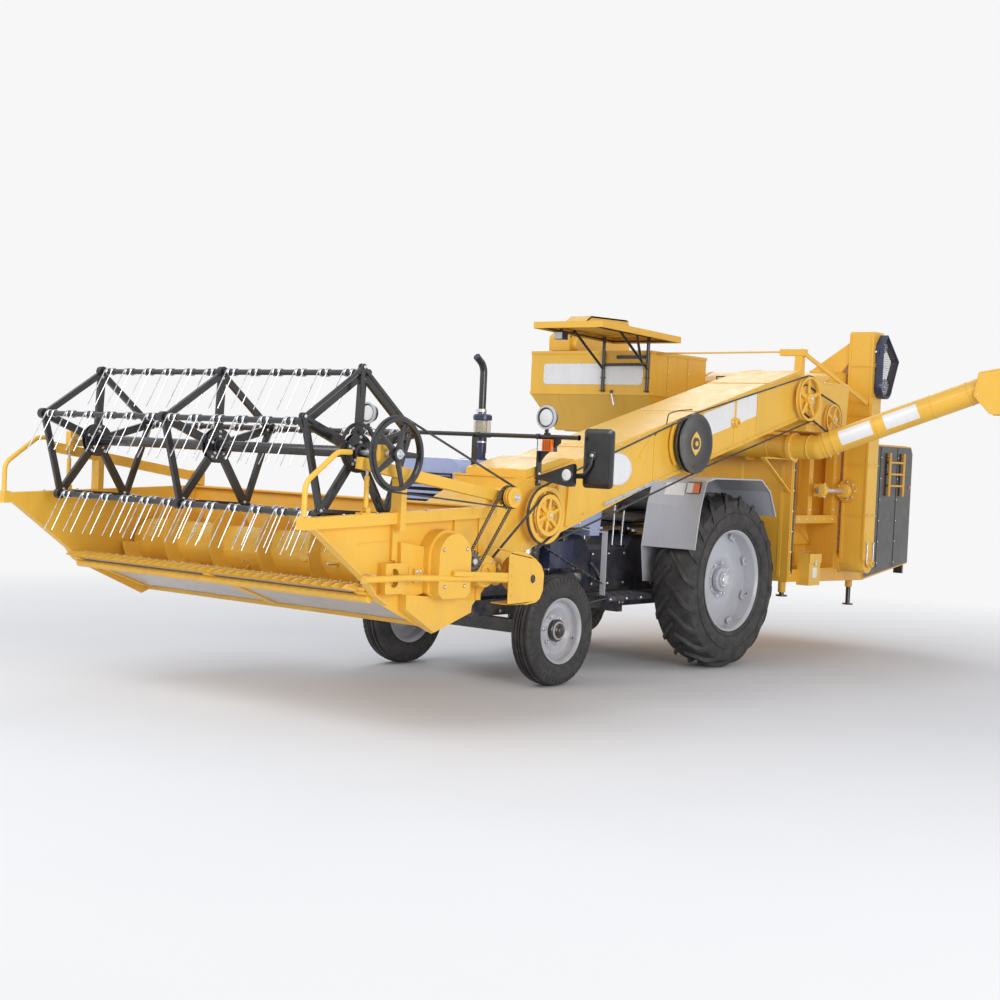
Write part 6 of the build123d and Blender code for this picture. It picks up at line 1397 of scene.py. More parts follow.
class HARVESTER_OT_bonnet(bpy.types.Operator):
    "Builds the bonnet's grille, lamps, louvres and catches, and the stacks on it"
    bl_idname = "harvester.bonnet"
    bl_label = "Bonnet and stacks"

    def execute(self, context):
        form = Form()
        blue, black, lens, metal = range(4)
        for k in range(33):
            y = -192 + 12 * k
            form.rod((2447, y, 1052), (2447, y, 1372), 2, 6, black)
        for k in range(8):
            z = 1071 + 40 * k
            form.rod((2444, -198, z), (2444, 198, z), 2.4, 6, black)
        form.box((2460.3, 2466), (-206, 206), (1040, 1052), black)
        form.box((2460.3, 2466), (-206, 206), (1370, 1382), black)
        for out in (1, -1):
            form.box((2460.3, 2466), sorted((out * 196, out * 208)), (1040, 1382), black)
            form.box((2460.3, 2472), sorted((out * 212, out * 268)), (1180, 1300), black)
            form.box((2470, 2476), sorted((out * 218, out * 262)), (1188, 1292), lens)
            side = out * BONNET_HALF
            for k in range(9):
                x = 1240 + 62 * k
                low, high = (side + 0.3, side + 9) if out > 0 else (side - 9, side - 0.3)
                form.prism([(x, low, 1120), (x + 34, low, 1120), (x + 34, low, 1290), (x, low, 1290)],
                           (0, high - low, 0), blue)
                # thin black strip beside each louvre: painted shade of the slot under it
                form.prism([(x + 34.4, low, 1124), (x + 44, low, 1124), (x + 44, low, 1286),
                            (x + 34.4, low, 1286)], (0, 1.2, 0), black)
            form.box((1010, 2440), (side - 1.5, side + 2.5) if out > 0 else (side - 2.5, side + 1.5),
                     (1002, 1024), black)
            for x in (1130, 2330):
                form.box((x - 16, x + 16), (side - 2, side + 8) if out > 0 else (side - 8, side + 2),
                         (1030, 1100), metal)
                form.rod((x, side + out * 9, 1042), (x, side + out * 9, 1088), 5, 10, metal)
        for x in (1380, 1940):
            form.box((x - 1.2, x + 1.2), (-180, 180), (1480.2, 1482), black)
        form.rod((1150, 0, 1480.5), (1150, 0, 1498), 30, 24, metal)
        form.disc((1150, 0, 1502), UP, 34, 10, 0, 3, 24, black)
        place_form("bonnet_trim", form, "bonnet black lens zinc", "machine",
                   1.0)

        stack = Form()
        body, dark, bowl, metal = range(4)
        x, y = EXHAUST
        stack.disc((x, y, 1485), UP, 46, 9, 0, 2, 28, dark)
        bolt_ring(stack, (x, y, 1489), UP, 35, 4, 6, metal, 0.5)
        stack.rod((x, y, 1488), (x, y, 1524), 22, 20, body)
        stack.lathe([(0.01, 36), (24, 36), (38, 44), (42, 56), (42, 300), (38, 312), (27, 330), (0.01, 330)],
                    (x, y, STACK_Z), UP, 36, body)
        for z in (1530, 1795):
            stack.disc((x, y, z), UP, 43.5, 5, 30, 1.2, 36, body)
        stack.box((x - 4, x + 4), (y - 46, y - 40), (1536, 1790), body)
        bend = rounded([(x, y, 1805), (x, y, 2105), (x + 20, y, 2150), (x + 84, y, 2196)], 90, 8)
        stack.tube(bend, 26, 24, body)
        tip = (Vector(bend[-1]) - Vector(bend[-2])).normalized()
        # dark disc on the pipe's closed end: painted shade of the open bore
        stack.disc(Vector(bend[-1]) + tip * 0.6, tip, 22.5, 1.4, 0, 0.3, 24, dark)
        stack.disc((x, y, 1822), UP, 32, 24, 24, 2, 28, metal)
        stack.box((x - 8, x + 8), (y - 48, y - 30), (1812, 1832), metal)
        x, y = CLEANER
        stack.disc((x, y, 1485), UP, 40, 9, 0, 2, 28, dark)
        stack.rod((x, y, 1486), (x, y, 1634), 30, 24, dark)
        stack.disc((x, y, 1600), UP, 34, 14, 28, 2, 24, metal)
        stack.rod((x + 26, y - 34, 1486), (x + 26, y - 34, 1560), 9, 12, dark)
        stack.lathe([(0.01, 148), (58, 150), (68, 156), (68, 176), (60, 181), (0.01, 181)], (x, y, STACK_Z),
                    UP, 36, dark)
        stack.lathe([(30, 181), (57, 182), (60, 200), (58, 262), (30, 265)], (x, y, STACK_Z), UP, 36, bowl)
        stack.rod((x, y, 1658), (x, y, 1746), 26, 20, dark)
        stack.lathe([(0.01, 265), (60, 265), (64, 270), (64, 296), (54, 306), (20, 310), (0.01, 310)],
                    (x, y, STACK_Z), UP, 36, dark)
        stack.bolt((x, y, 1789), UP, 7, 8, metal)
        for k in range(10):
            a = 2 * pi * k / 10
            c = Vector((x + 63 * cos(a), y + 63 * sin(a), 1762))
            stack.beam(c - Vector((0, 0, 12)), c + Vector((0, 0, 12)), 5, 3, (cos(a), sin(a), 0), dark)
        place_form("stack_pieces", stack, "black navy bowl zinc", "machine",
                   0.8, 32, ["stacks"])
        return {"FINISHED"}


class HARVESTER_OT_station(bpy.types.Operator):
    "Builds the cowl, steering wheel, seat, levers and pedals"
    bl_idname = "harvester.station"
    bl_label = "Operator's station"

    def execute(self, context):
        form = Form()
        black, blue, metal, lens = range(4)
        cowl = [(880, 962), (842, 1300), (898, 1478), (998, 1478), (998, 962)]
        form.side_plate(cowl, 278, 556, blue)
        dash = [(839, 1304), (894, 1474), (884, 1477), (829, 1307)]
        form.side_plate(dash, 210, 420, black)
        tilt = Vector((-0.95, 0, 0.31))
        for y, radius in ((-120, 44), (0, 58), (120, 44)):
            c = Vector((856, y, 1392)) + tilt * 3
            form.disc(c, tilt, radius, 8, radius - 7, 2, 36, metal)
            form.disc(c, tilt, radius - 7, 4, 0, 0.5, 32, lens)
            form.beam(c + tilt * 3, c + tilt * 3 + Vector((0.2, 0.6, 0.6)).normalized() * (radius - 14), 3, 2,
                      tilt, black)
        form.tube([(884, 0, 1366), (790, 0, 1422)], 36, 20, black)
        form.rod((800, 0, 1416), (692, 0, 1480), 22, 18, metal)
        axis = Vector((-0.86, 0, 0.51)).normalized()
        hub = Vector((690, 0, 1482)) + axis * 12
        u = Vector(ACROSS)
        v = axis.cross(u)
        form.lathe([(198 + 12 * cos(radians(a)), 12 * sin(radians(a))) for a in range(0, 360, 30)], hub, axis,
                   64, black)
        for k in range(3):
            a = radians(90 + 120 * k)
            out = u * cos(a) + v * sin(a)
            form.tube([hub + out * 36 - axis * 6, hub + out * 120 - axis * 10, hub + out * 194], 8, 10, metal)
        form.lathe([(0.01, -22), (38, -20), (44, -4), (44, 8), (30, 16), (0.01, 18)], hub, axis, 32, black)
        # seat pan, its springs and the slide under it
        form.side_plate([(-50, 1012), (356, 1012), (362, 1030), (-48, 1036)], 226, 452, black)
        form.side_plate([(-60, 1060), (-108, 1466), (-96, 1470), (-46, 1062)], 214, 428, black)
        for y in (-150, 150):
            form.tube(rounded([(330, y, 1006), (-20, y, 1006), (-66, y, 1040), (-112, y, 1440)], 40, 5), 12,
                      12, metal)
            form.box((60, 260), (y - 14, y + 14), (978, 1002), metal)
        form.lathe([(46 + 6 * cos(radians(a)), 6 * sin(radians(a))) for a in range(0, 360, 45)],
                   (160, 0, 966), UP, 32, metal)
        form.rod((160, 0, 951), (160, 0, 1008), 26, 20, black)
        for x, y, top, bend in ((560, 170, 1190, 60), (500, 210, 1150, 40), (420, -190, 1120, -30)):
            form.tube(rounded([(x, y, 880), (x - 10, y, 1040), (x - 30 + bend * 0.2, y, top)], 60, 5), 7, 12,
                      metal)
            form.ball((x - 30 + bend * 0.2, y, top + 12), (20, 20, 22), 10, 18, black)
        for y in (230, -230, -290):
            form.tube(rounded([(900, y, 760), (820, y, 700), (770, y, 640)], 40, 5), 9, 12, metal)
            form.side_plate([(778, 650), (752, 616), (744, 622), (770, 656)], y + 38, 76, black)
            for k in range(4):
                form.beam((768 - 6 * k, y - 34, 648 - 8 * k), (768 - 6 * k, y + 34, 648 - 8 * k), 3, 3,
                          (-0.8, 0, 0.6), black)
        place_form("station_pieces", form, "plastic bonnet zinc lens", "machine",
                   1.0, 32, ["operator_station"])
        crowned_pad("seat_cushion", (158, 0, 1066), (390, 440, 96), 2, (-0.45, 0.0, 0.45))
        crowned_pad("back_cushion", (-44, 0, 1282), (330, 420, 92), 82, (-0.4, 0.0, 0.4))
        return {"FINISHED"}


class HARVESTER_OT_chassis(bpy.types.Operator):
    "Builds the engine's outer parts, the casting's flanges, the footboards and the fender fittings"
    bl_idname = "harvester.chassis"
    bl_label = "Engine, frame and fenders"

    def execute(self, context):
        form = Form()
        cast, metal, black, blue, white, orange, silver = range(7)
        # engine: sump, head cover, manifold, pump, filters, starter and fan
        form.side_plate([(1190, 559), (1770, 559), (1740, 500), (1230, 500)], 150, 300, cast)
        for side in (1, -1):
            face = side * ENGINE_HALF
            for k in range(4):
                x = 1230 + 150 * k
                form.box((x - 12, x + 12), sorted((face, face + side * 16)), (580, 1180), cast)
            form.box((1160, 1790), sorted((face, face + side * 12)), (1040, 1062), cast)
            form.box((1160, 1790), sorted((face, face + side * 12)), (600, 626), cast)
            for k in range(9):
                form.bolt((1180 + 74 * k, face + side * 12, 613), (0, side, 0), 8, 7, metal)
        form.box((1250, 1520), (214, 322), (740, 930), blue)
        form.rod((1300, 268, 930), (1300, 268, 962), 26, 20, black)
        for x in (1240, 1530):
            form.box((x - 7, x + 7), (200, 326), (730, 742), metal)
        for x in (1610, 1700):
            form.lathe([(0.01, -90), (30, -88), (40, -70), (42, 40), (36, 52), (0.01, 54)], (x, 252, 860), UP,
                       28, metal if x > 1650 else black)
            form.box((x - 34, x + 34), (208, 280), (912, 936), cast)
        form.lathe([(0.01, 0), (52, 2), (58, 20), (58, 190), (50, 205), (0.01, 207)], (1180, 262, 650), AHEAD,
                   28, cast)
        form.lathe([(0.01, 0), (34, 2), (38, 14), (38, 80), (0.01, 82)], (1098, 262, 660), AHEAD, 24, metal)
        for k in range(3):
            x = 1250 + 150 * k
            form.tube(rounded([(x, 216, 1080), (x, 250, 1080), (x + 20, 262, 1020), (1560, 262, 960)], 20, 4),
                      4, 8, metal)
            form.tube(rounded([(x, -214, 1090), (x, -262, 1090), (x, -276, 1120)], 26, 4), 22, 14, cast)
        form.rod((1220, -272, 1122), (1760, -272, 1122), 32, 20, cast)
        form.disc((1820, 0, 930), AHEAD, 60, 30, 0, 3, 32, metal)
        for k in range(6):
            a = 2 * pi * k / 6
            u = Vector((0, cos(a), sin(a)))
            w = Vector((0, -sin(a), cos(a)))
            c = Vector((1850, 0, 930))
            form.loop([[c + u * 36 + w * s * 22 + Vector((t, 0, 0))
                        for s, t in ((-1, -8), (1, 10), (1, 13), (-1, -5))],
                       [c + u * 190 + w * s * 48 + Vector((t, 0, 0))
                        for s, t in ((-1, -16), (1, 16), (1, 19), (-1, -13))]], mark=black)
        form.rod((1806, 0, 930), (1866, 0, 930), 34, 20, black)
        # radiator core with its fins and tanks on the bolster's plate
        form.box((2120, 2196), (-226, 226), (1336, 1376), black)
        form.box((2120, 2196), (-226, 226), (870, 906), black)
        for k in range(36):
            y = -222 + 12.7 * k
            form.box((2128, 2190), (y, y + 5), (906, 1336), metal)
        # castings: trumpet flanges, cover plates and heads
        for side in (1, -1):
            form.disc((0, side * 196, REAR_AXLE_Z), ACROSS, 118, 16, 78, 3, 40, cast)
            bolt_ring(form, (0, side * 204, REAR_AXLE_Z), (0, side, 0), 102, 8, 9, metal)
            form.side_plate([(420, 580), (860, 580), (860, 840), (420, 840)],
                            side * 190 + (10 if side > 0 else 0), 10, cast)
            for x in (440, 640, 840):
                for z in (600, 820):
                    form.bolt((x, side * 200, z), (0, side, 0), 8, 7, metal)
        form.side_plate([(-100, 950), (220, 950), (200, 972), (-80, 972)], -60, 60, cast)
        # footboards: raised treads, front bracket and bolts
        for side in (1, -1):
            for i in range(12):
                for j in range(5):
                    x, y = 545 + 50 * i, side * (330 + 48 * j)
                    turn = 1 if (i + j) % 2 else -1
                    form.beam((x - 12, y - 9 * turn, 552.4), (x + 12, y + 9 * turn, 552.4), 5, 2.6, mark=cast)
            form.beam((1120, side * 540, 540), (1300, side * 380, 470), 36, 8, mark=cast)
            for x in (720, 900, 1100):
                form.bolt((x, side * 561, 530), (0, side, 0), 8, 6, metal)
        for side in (1, -1):
            for x in (-520, -320, 620, 660, 1290, 1340, 1850, 2050):
                for z in (470, 520):
                    form.bolt((x, side * 330, z), (0, side, 0), 9, 7, metal)
        # left step post, perforated brace and guard rail in front of the footboard
        form.beam((1120, 500, 556), (1120, 500, 1010), 44, 8, AHEAD, silver)
        form.beam((1118, 500, 1000), (1170, 330, 1020), 30, 6, mark=silver)
        form.beam((1650, 360, 900), (1130, 494, 640), 34, 6, mark=black)
        for k in range(9):
            c = Vector((1650, 360, 900)).lerp(Vector((1130, 494, 640)), 0.08 + 0.1 * k)
            form.disc(c + Vector((1, 3, 1)), (0.3, 1, 0.1), 7, 3, 3.5, 0.5, 14, metal)
        # fenders: rolled edges, plate, indicator and bolts
        arch = REAR_AXLE_Z + 30
        profile = [(arch * a, REAR_AXLE_Z + arch * b)
                   for a, b in ((-0.73, 0.708), (-0.584, 0.985), (-0.38, 1.117), (0.584, 1.117),
                                (0.759, 1.08), (0.854, 0.81), (0.934, 0.358))]
        for side in (1, -1):
            for y in (490, 950):
                inset = [(x * 0.993, side * (y + (5 if y < 500 else -5)),
                          REAR_AXLE_Z + (z - REAR_AXLE_Z) * 0.993) for x, z in profile]
                form.tube(rounded(inset, 30, 3), 6, 10, silver)
            for x, z in profile[1:-1]:
                form.bolt((x * 0.98, side * 486.5, REAR_AXLE_Z + (z - REAR_AXLE_Z) * 0.95), (0, -side, 0), 8,
                          6, metal)
            x0 = 0.759 * arch
            z0 = REAR_AXLE_Z + 1.08 * arch
            lamp_y = side * 860
            form.side_plate([(x0 + 8, z0 - 8), (x0 + 22, z0 - 12), (x0 + 44, z0 - 92), (x0 + 26, z0 - 92)],
                            lamp_y + 55, 110, black)
            lens = [(x0 + 23, z0 - 16), (x0 + 31, z0 - 18), (x0 + 52, z0 - 88), (x0 + 44, z0 - 90)]
            form.side_plate(lens, lamp_y, 50, white if side > 0 else orange)
            form.side_plate(lens, lamp_y + 51, 50, orange if side > 0 else white)
            a, b = profile[4], profile[5]
            run = Vector((b[0] - a[0], 0, b[1] - a[1])).normalized()
            out = Vector((-run.z, 0, run.x))
            if out.x < 0:
                out = -out
            top = Vector((a[0], side * 700 - 85, a[1])) + run * 24 + out * 1.2
            form.prism([top, top + Vector((0, 170, 0)), top + Vector((0, 170, 0)) + run * 96, top + run * 96],
                       out * 2, white)
            for y in (16, 85, 154):
                form.bolt(top + Vector((0, y, 0)) + run * 14 + out * 2, out, 5, 3, metal)
        place_form("chassis_pieces", form, "casting zinc black navy white orange silver", "machine",
                   1.0)
        return {"FINISHED"}


# Grain tank, its left side at TANK_LEFT_Y, and the canopy in front of it
TANK_FRONT, TANK_BACK, TANK_LEFT_Y, TANK_RIGHT_Y = -300.0, -1130.0, -144.0, -1354.0
TANK_TOP, TANK_KNEE = 2405.0, 2045.0


class HARVESTER_OT_tank(bpy.types.Operator):
    "Builds the grain tank's rim, seams and blank plate, the canopy's loops and the box lamp"
    bl_idname = "harvester.tank"
    bl_label = "Grain tank and canopy"

    def execute(self, context):
        form = Form()
        yellow, white, metal, black = range(4)
        # folded rim and ribs
        for x0, x1, y0, y1 in ((TANK_FRONT - 1, TANK_FRONT + 8, TANK_RIGHT_Y, TANK_LEFT_Y),
                               (TANK_BACK - 8, TANK_BACK + 1, TANK_RIGHT_Y, TANK_LEFT_Y),
                               (TANK_BACK, TANK_FRONT, TANK_LEFT_Y - 1, TANK_LEFT_Y + 8)):
            form.box((x0, x1), (y0, y1), (TANK_TOP - 24, TANK_TOP - 0.5), yellow)
            form.box((x0, x1), (y0, y1), (TANK_KNEE + 2, TANK_KNEE + 22), yellow)
        for x in (-560, -860):
            form.box((x - 12, x + 12), (TANK_LEFT_Y + 0.3, TANK_LEFT_Y + 5), (TANK_KNEE + 22, TANK_TOP - 24),
                     yellow)
            for z in (2090, 2170, 2250, 2340):
                form.bolt((x, TANK_LEFT_Y + 5, z), ACROSS, 6, 4, metal)
        # blank plate on the front, with rounded corners
        corners = []
        y0, y1, z0, z1, r = -1215.0, -215.0, 2130.0, 2300.0, 26.0
        for cy, cz, start in ((y1 - r, z0 + r, -90), (y1 - r, z1 - r, 0), (y0 + r, z1 - r, 90),
                              (y0 + r, z0 + r, 180)):
            corners += [(TANK_FRONT + 0.4, cy + r * cos(radians(start + 18 * k)),
                         cz + r * sin(radians(start + 18 * k))) for k in range(6)]
        form.prism(corners, (1.8, 0, 0), white)
        form.tube([Vector(c) + Vector((1.4, 0, 0)) for c in corners + corners[:1]], 2.0, 6, metal)
        # hopper's seams and sight rod
        for y in (-420, -1080):
            form.prism([(TANK_FRONT - 2, y - 9, TANK_KNEE - 6), (TANK_FRONT - 2, y + 9, TANK_KNEE - 6),
                        (-542, y + 9, 1752), (-542, y - 9, 1752)], (4, 0, 4), yellow)
        form.rod((TANK_FRONT + 16, -470, 1960), (TANK_FRONT + 10, -505, 2060), 9, 14, metal)
        form.rod((TANK_FRONT + 10, -505, 2056), (TANK_FRONT + 9, -510, 2082), 12, 14, black)
        # black box under the far head, standing in for a slot: painted shade
        form.box((TANK_FRONT + 0.3, TANK_FRONT + 9), (-470, -190), (2338, 2366), black)
        place_form("tank_pieces", form, "yellow white zinc black", "machine", 1.0)

        frame_form = Form()
        x = TANK_FRONT + 15.3
        for y in (-595, -160):
            frame_form.rod((x, y, 2070), (x, y, 2512), 14, 18)
            frame_form.box((x - 15, x + 15), (y - 20, y + 20), (2074, 2082))
            frame_form.box((x - 15, x + 12), (y - 20, y + 20), (2180, 2188))
            frame_form.tube([(x, y, 2254), (x + 415, y, 2530)], 11, 14)
        frame_form.tube(rounded([(x, -600, 2290), (x + 6, -160, 2290), (x + 150, -120, 2300),
                                 (x + 260, -100, 2520)], 60, 6), 11, 14)
        for y0, y1 in ((-628, -604), (-12, 8)):
            frame_form.side_plate([(-462, 2484), (582, 2518), (582, 2530), (-462, 2496)], y1, y1 - y0)
        for x0 in (-460, 560):
            z = 2484 + 0.0325 * (x0 + 462)
            frame_form.box((x0, x0 + 24), (-628, 8), (z, z + 12))
        frame_form.side_plate([(-300, 2500), (540, 2528), (540, 2540), (-300, 2514)], -145, 30)
        # box lamp between the roof bars
        frame_form.box((330, 400), (-585, -505), (2440, 2500), 1)
        frame_form.box((400, 404), (-580, -510), (2445, 2495), 2)
        frame_form.box((354, 376), (-556, -534), (2500, 2524), 1)
        place_form("canopy_tubes", frame_form, "black navy lens", "machine", 1.0,
                   32, ["canopy_frame"])
        tray = Form()
        for y0, y1 in ((-640, -632), (12, 20)):
            tray.side_plate([(-480, 2474), (600, 2509), (600, 2513), (-480, 2478)], y1, y1 - y0)
        for k in range(4):
            tx = -330 + 250 * k
            z = 2513 + 0.0324 * (tx + 477)
            tray.box((tx - 16, tx + 16), (-630, 10), (z + 1, z + 7.5))
        place_form("canopy_ribs", tray, "yellow", "machine", 1.0)
        return {"FINISHED"}


# Threshing unit: body, drum, elevators, guard, unloading tube and boom
BODY_FRONT, BODY_LEFT, BODY_RIGHT = -730.0, 940.0, -760.0
BODY_FLOOR, BODY_TOP = 600.0, 1744.7
DRUM = (-1480.0, 1975.0)
DRUM_RADIUS = 330.0
SECOND = (-850.0, 1905.0)
SPOUT = (-600.0, 1680.0)
ELBOW_Y = 1225.0
BOOM_LENGTH = 1290.0
GUARD = (-1620.0, 2200.0)


def boom_way():
    "direction of the boom from its elbow, and the two directions across it"
    turn, lean = radians(55), radians(27)
    way = Vector((-sin(lean) * cos(turn), cos(lean), sin(lean) * sin(turn)))
    flat = Vector((way.x, way.y, 0)).normalized()
    return way, flat, Vector((flat.y, -flat.x, 0))


class HARVESTER_OT_rear(bpy.types.Operator):
    "Builds the seams, doors, bearings and bolts of the threshing body and its drum"
    bl_idname = "harvester.rear"
    bl_label = "Threshing body"

    def execute(self, context):
        form = Form()
        # dark is the darker yellow copy: painted shade
        yellow, dark, metal, black, white, red = range(6)
        # left side: seams round the bay, rubber strip and corner posts
        for x in (BODY_FRONT - 34, -1530, -1960):
            form.box((x - 15, x + 15), (BODY_LEFT + 0.3, BODY_LEFT + 5), (BODY_FLOOR + 60, BODY_TOP - 20),
                     yellow)
            for k in range(7):
                form.bolt((x, BODY_LEFT + 5, 700 + 160 * k), ACROSS, 6, 4, metal)
        form.box((-1960, BODY_FRONT - 20), (BODY_LEFT + 0.3, BODY_LEFT + 6), (BODY_TOP - 30, BODY_TOP - 2),
                 yellow)
        form.box((BODY_FRONT - 58, BODY_FRONT - 36), (BODY_LEFT + 0.3, BODY_LEFT + 9), (690, 1560), black)
        # black sheet on the rear panel, its seams and its reflector
        panel = [(-1996, 664), (-1996, BODY_TOP - 10), (-2810, BODY_TOP - 10), (-2844, BODY_TOP - 66),
                 (-2844, 732), (-2026, 622)]
        form.side_plate(panel, BODY_LEFT + 9.8, 1.5, black)
        for x in (-2240, -2560):
            form.box((x - 10, x + 10), (BODY_LEFT + 8.4, BODY_LEFT + 13), (700, BODY_TOP - 16), black)
            for k in range(6):
                form.bolt((x, BODY_LEFT + 13, 740 + 180 * k), ACROSS, 5, 3, metal)
        form.box((-2940 + 110, -2790), (BODY_LEFT + 10, BODY_LEFT + 14), (1376, 1404), red)
        # bay: shaft with its coupling, housings, bolts, ribs and inner plate
        for x in (-1010, -1410):
            for k in range(4):
                form.bolt((x - 33, BODY_LEFT + 0.5, 1190 + 130 * k), ACROSS, 7, 5, metal)
            form.box((x - 70, x + 5), (985, 1001), (1300, 1400), yellow)
            form.lathe([(23, -30), (50, -30), (56, -20), (56, 20), (50, 30), (23, 30)], (x - 33, 1030, 1350),
                       AHEAD, 32, yellow)
            for z in (1300, 1400):
                form.bolt((x - 33, 1062, z), ACROSS, 8, 8, metal)
        form.disc((-1487, 1030, 1350), AHEAD, 93, 12, 30, 2, 40, yellow)
        bolt_ring(form, (-1480, 1030, 1350), AHEAD, 70, 8, 8, metal)
        form.rod((-1480, 1030, 1350), (-984, 1030, 1350), 23, 24, metal)
        for k in range(5):
            form.bolt((-1400 + 140 * k, BODY_LEFT + 15.3, 1116), ACROSS, 7, 5, metal)
        # ribs and inner plate deep in the bay wear the darker yellow copy: painted shade in the recess
        for x in (-900, -1160, -1300):
            form.box((x - 10, x + 10), (BODY_LEFT - 259, BODY_LEFT - 250), (740, 1675), dark)
        form.side_plate([(-1470, 900)] + [(-1160 + 300 * cos(radians(a)), 900 + 190 * sin(radians(a)))
                                          for a in range(180, -1, -15)], BODY_LEFT - 216, 34, dark)
        # right side: ribs, bolted covers, bearings and shaft ends
        for x in (BODY_FRONT - 60, -1400, -2100, -2780):
            form.box((x - 16, x + 16), (BODY_RIGHT - 6, BODY_RIGHT - 0.3), (BODY_FLOOR + 130, BODY_TOP - 70),
                     yellow)
            for k in range(6):
                form.bolt((x, BODY_RIGHT - 6, 760 + 160 * k), (0, -1, 0), 6, 4, metal)
        for x0, x1, z0, z1 in ((-1330, -870, 1180, 1640), (-2020, -1480, 760, 1080)):
            form.box((x0, x1), (BODY_RIGHT - 5, BODY_RIGHT - 0.3), (z0, z1), yellow)
            for x in (x0 + 20, x1 - 20):
                for z in (z0 + 20, (z0 + z1) / 2, z1 - 20):
                    form.bolt((x, BODY_RIGHT - 5, z), (0, -1, 0), 7, 5, metal)
        for x, z, size in ((-1760, 1330, 66), (-2440, 1120, 58), (-2440, 1500, 58)):
            flanged_bearing(form, (x, z), BODY_RIGHT - 0.5, -1, size, yellow, metal)
            form.rod((x, BODY_RIGHT - 50, z), (x, BODY_RIGHT, z), 16, 18, metal)
        # front wall and roof: flanges
        for y in (-700, -300, 100, 500, 860):
            form.box((BODY_FRONT + 0.3, BODY_FRONT + 5), (y - 14, y + 14), (BODY_FLOOR + 60, 1540), yellow)
        for y in (-730, 912):
            form.box((-2780, BODY_FRONT - 40), (y - 14, y + 14), (BODY_TOP + 0.3, BODY_TOP + 5), yellow)
        for x in (-1960, -2300, -2700):
            form.box((x - 14, x + 14), (-700, 880), (BODY_TOP + 0.3, BODY_TOP + 5), yellow)

        # straw outlet in the sloping floor: frame, slats and lamps under the back edge
        def under(x, drop):
            "height below the sloping floor at a place along the body"
            return BODY_FLOOR + 120 * (-2000 - x) / 860 - drop

        for y0, y1 in ((-640, -610), (790, 820)):
            form.side_plate([(-2830, under(-2830, 0.3)), (-2150, under(-2150, 0.3)),
                             (-2150, under(-2150, 26)), (-2830, under(-2830, 26))], y1, y1 - y0, yellow)
        # every second slat under the floor wears the darker yellow copy: painted shade
        for k in range(9):
            x = -2810 + 80 * k
            form.side_plate([(x, under(x, 0.3)), (x + 14, under(x + 14, 0.3)), (x + 8, under(x, 22)),
                             (x - 6, under(x, 22))], 790, 1400, dark if k % 2 else metal)
        for y in (-690, 870):
            form.box((-2856, -2830), (y - 40, y + 40), (630, 706), black)
            form.box((-2859, -2855), (y - 32, y + 32), (638, 698), red)
        # drum: ribs over the shell, heads on its ends, bearing and rails of the cover
        for y in (950, 540, 130, -250, -640):
            arc = [on_circle(DRUM, DRUM_RADIUS + 0.4, a) for a in range(86, 176, 6)]
            arc2 = [on_circle(DRUM, DRUM_RADIUS + 6, a) for a in range(86, 176, 6)]
            form.side_plate(arc + arc2[::-1], y, 22, yellow)
        for y, out in ((960.4, 1), (-660.4, -1)):
            if out < 0:
                flanged_bearing(form, DRUM, y, out, 80, yellow, metal)
            for k in range(10):
                x, z = on_circle(DRUM, 296, 10 + 18 * k)
                form.bolt((x, y, z), (0, out, 0), 7, 5, metal)
        for z in (1800, 2176):
            form.box((-1150, -540), (1160.3, 1165), (z, z + 14), yellow)
        for x in (-560, -760, -960, -1130):
            form.bolt((x, 1165, 1807), ACROSS, 6, 4, metal)
            form.bolt((x, 1165, 2183), ACROSS, 6, 4, metal)
        for x in (-600, -900):
            form.box((x - 12, x + 12), (705, 1155), (2190.3, 2195), yellow)
        # post head, strut and tie fittings
        for y in (830, 970):
            form.bolt((-730, y, 2440), UP, 9, 8, metal)
        form.disc((-720, 800, 2420), (0.3, -0.8, 0), 13, 10, 7.4, 1, 20, metal)
        # toolbox: lid, hinge, catch and a small blank plate
        form.box((-1064, -876), (1050.3, 1056), (776, 854), yellow)
        form.box((-1064, -876), (945, 1056), (850.3, 855), yellow)
        form.rod((-1050, 949, 858), (-890, 949, 858), 4, 10, metal)
        form.box((-985, -955), (1056, 1061), (760, 800), metal)
        form.box((-1004, -936), (1050.3, 1052.4), (660, 740), white)
        place_form("body_pieces", form, "yellow yellow_rear zinc black white red", "machine",
                   1.0)

        lid = Form()
        inner = [on_circle(DRUM, DRUM_RADIUS + 5.6, a) for a in range(46, 83, 4)]
        outer = [on_circle(DRUM, DRUM_RADIUS + 10, a) for a in range(46, 83, 4)]
        for y in (920, 560, 150, -260, -600):
            lid.side_plate(inner + outer[::-1], y, 20, 0)
        grip = [on_circle(DRUM, DRUM_RADIUS + r, 50) for r in (6, 40)]
        for y in (700, 0):
            lid.tube(rounded([(grip[0][0], y, grip[0][1]), (grip[1][0], y, grip[1][1]),
                              (grip[1][0], y - 110, grip[1][1]), (grip[0][0], y - 110, grip[0][1])], 16, 4),
                     6, 12, 1)
        place_form("lid_pieces", lid, "yellow black", "drum_lid", 1.0)
        return {"FINISHED"}


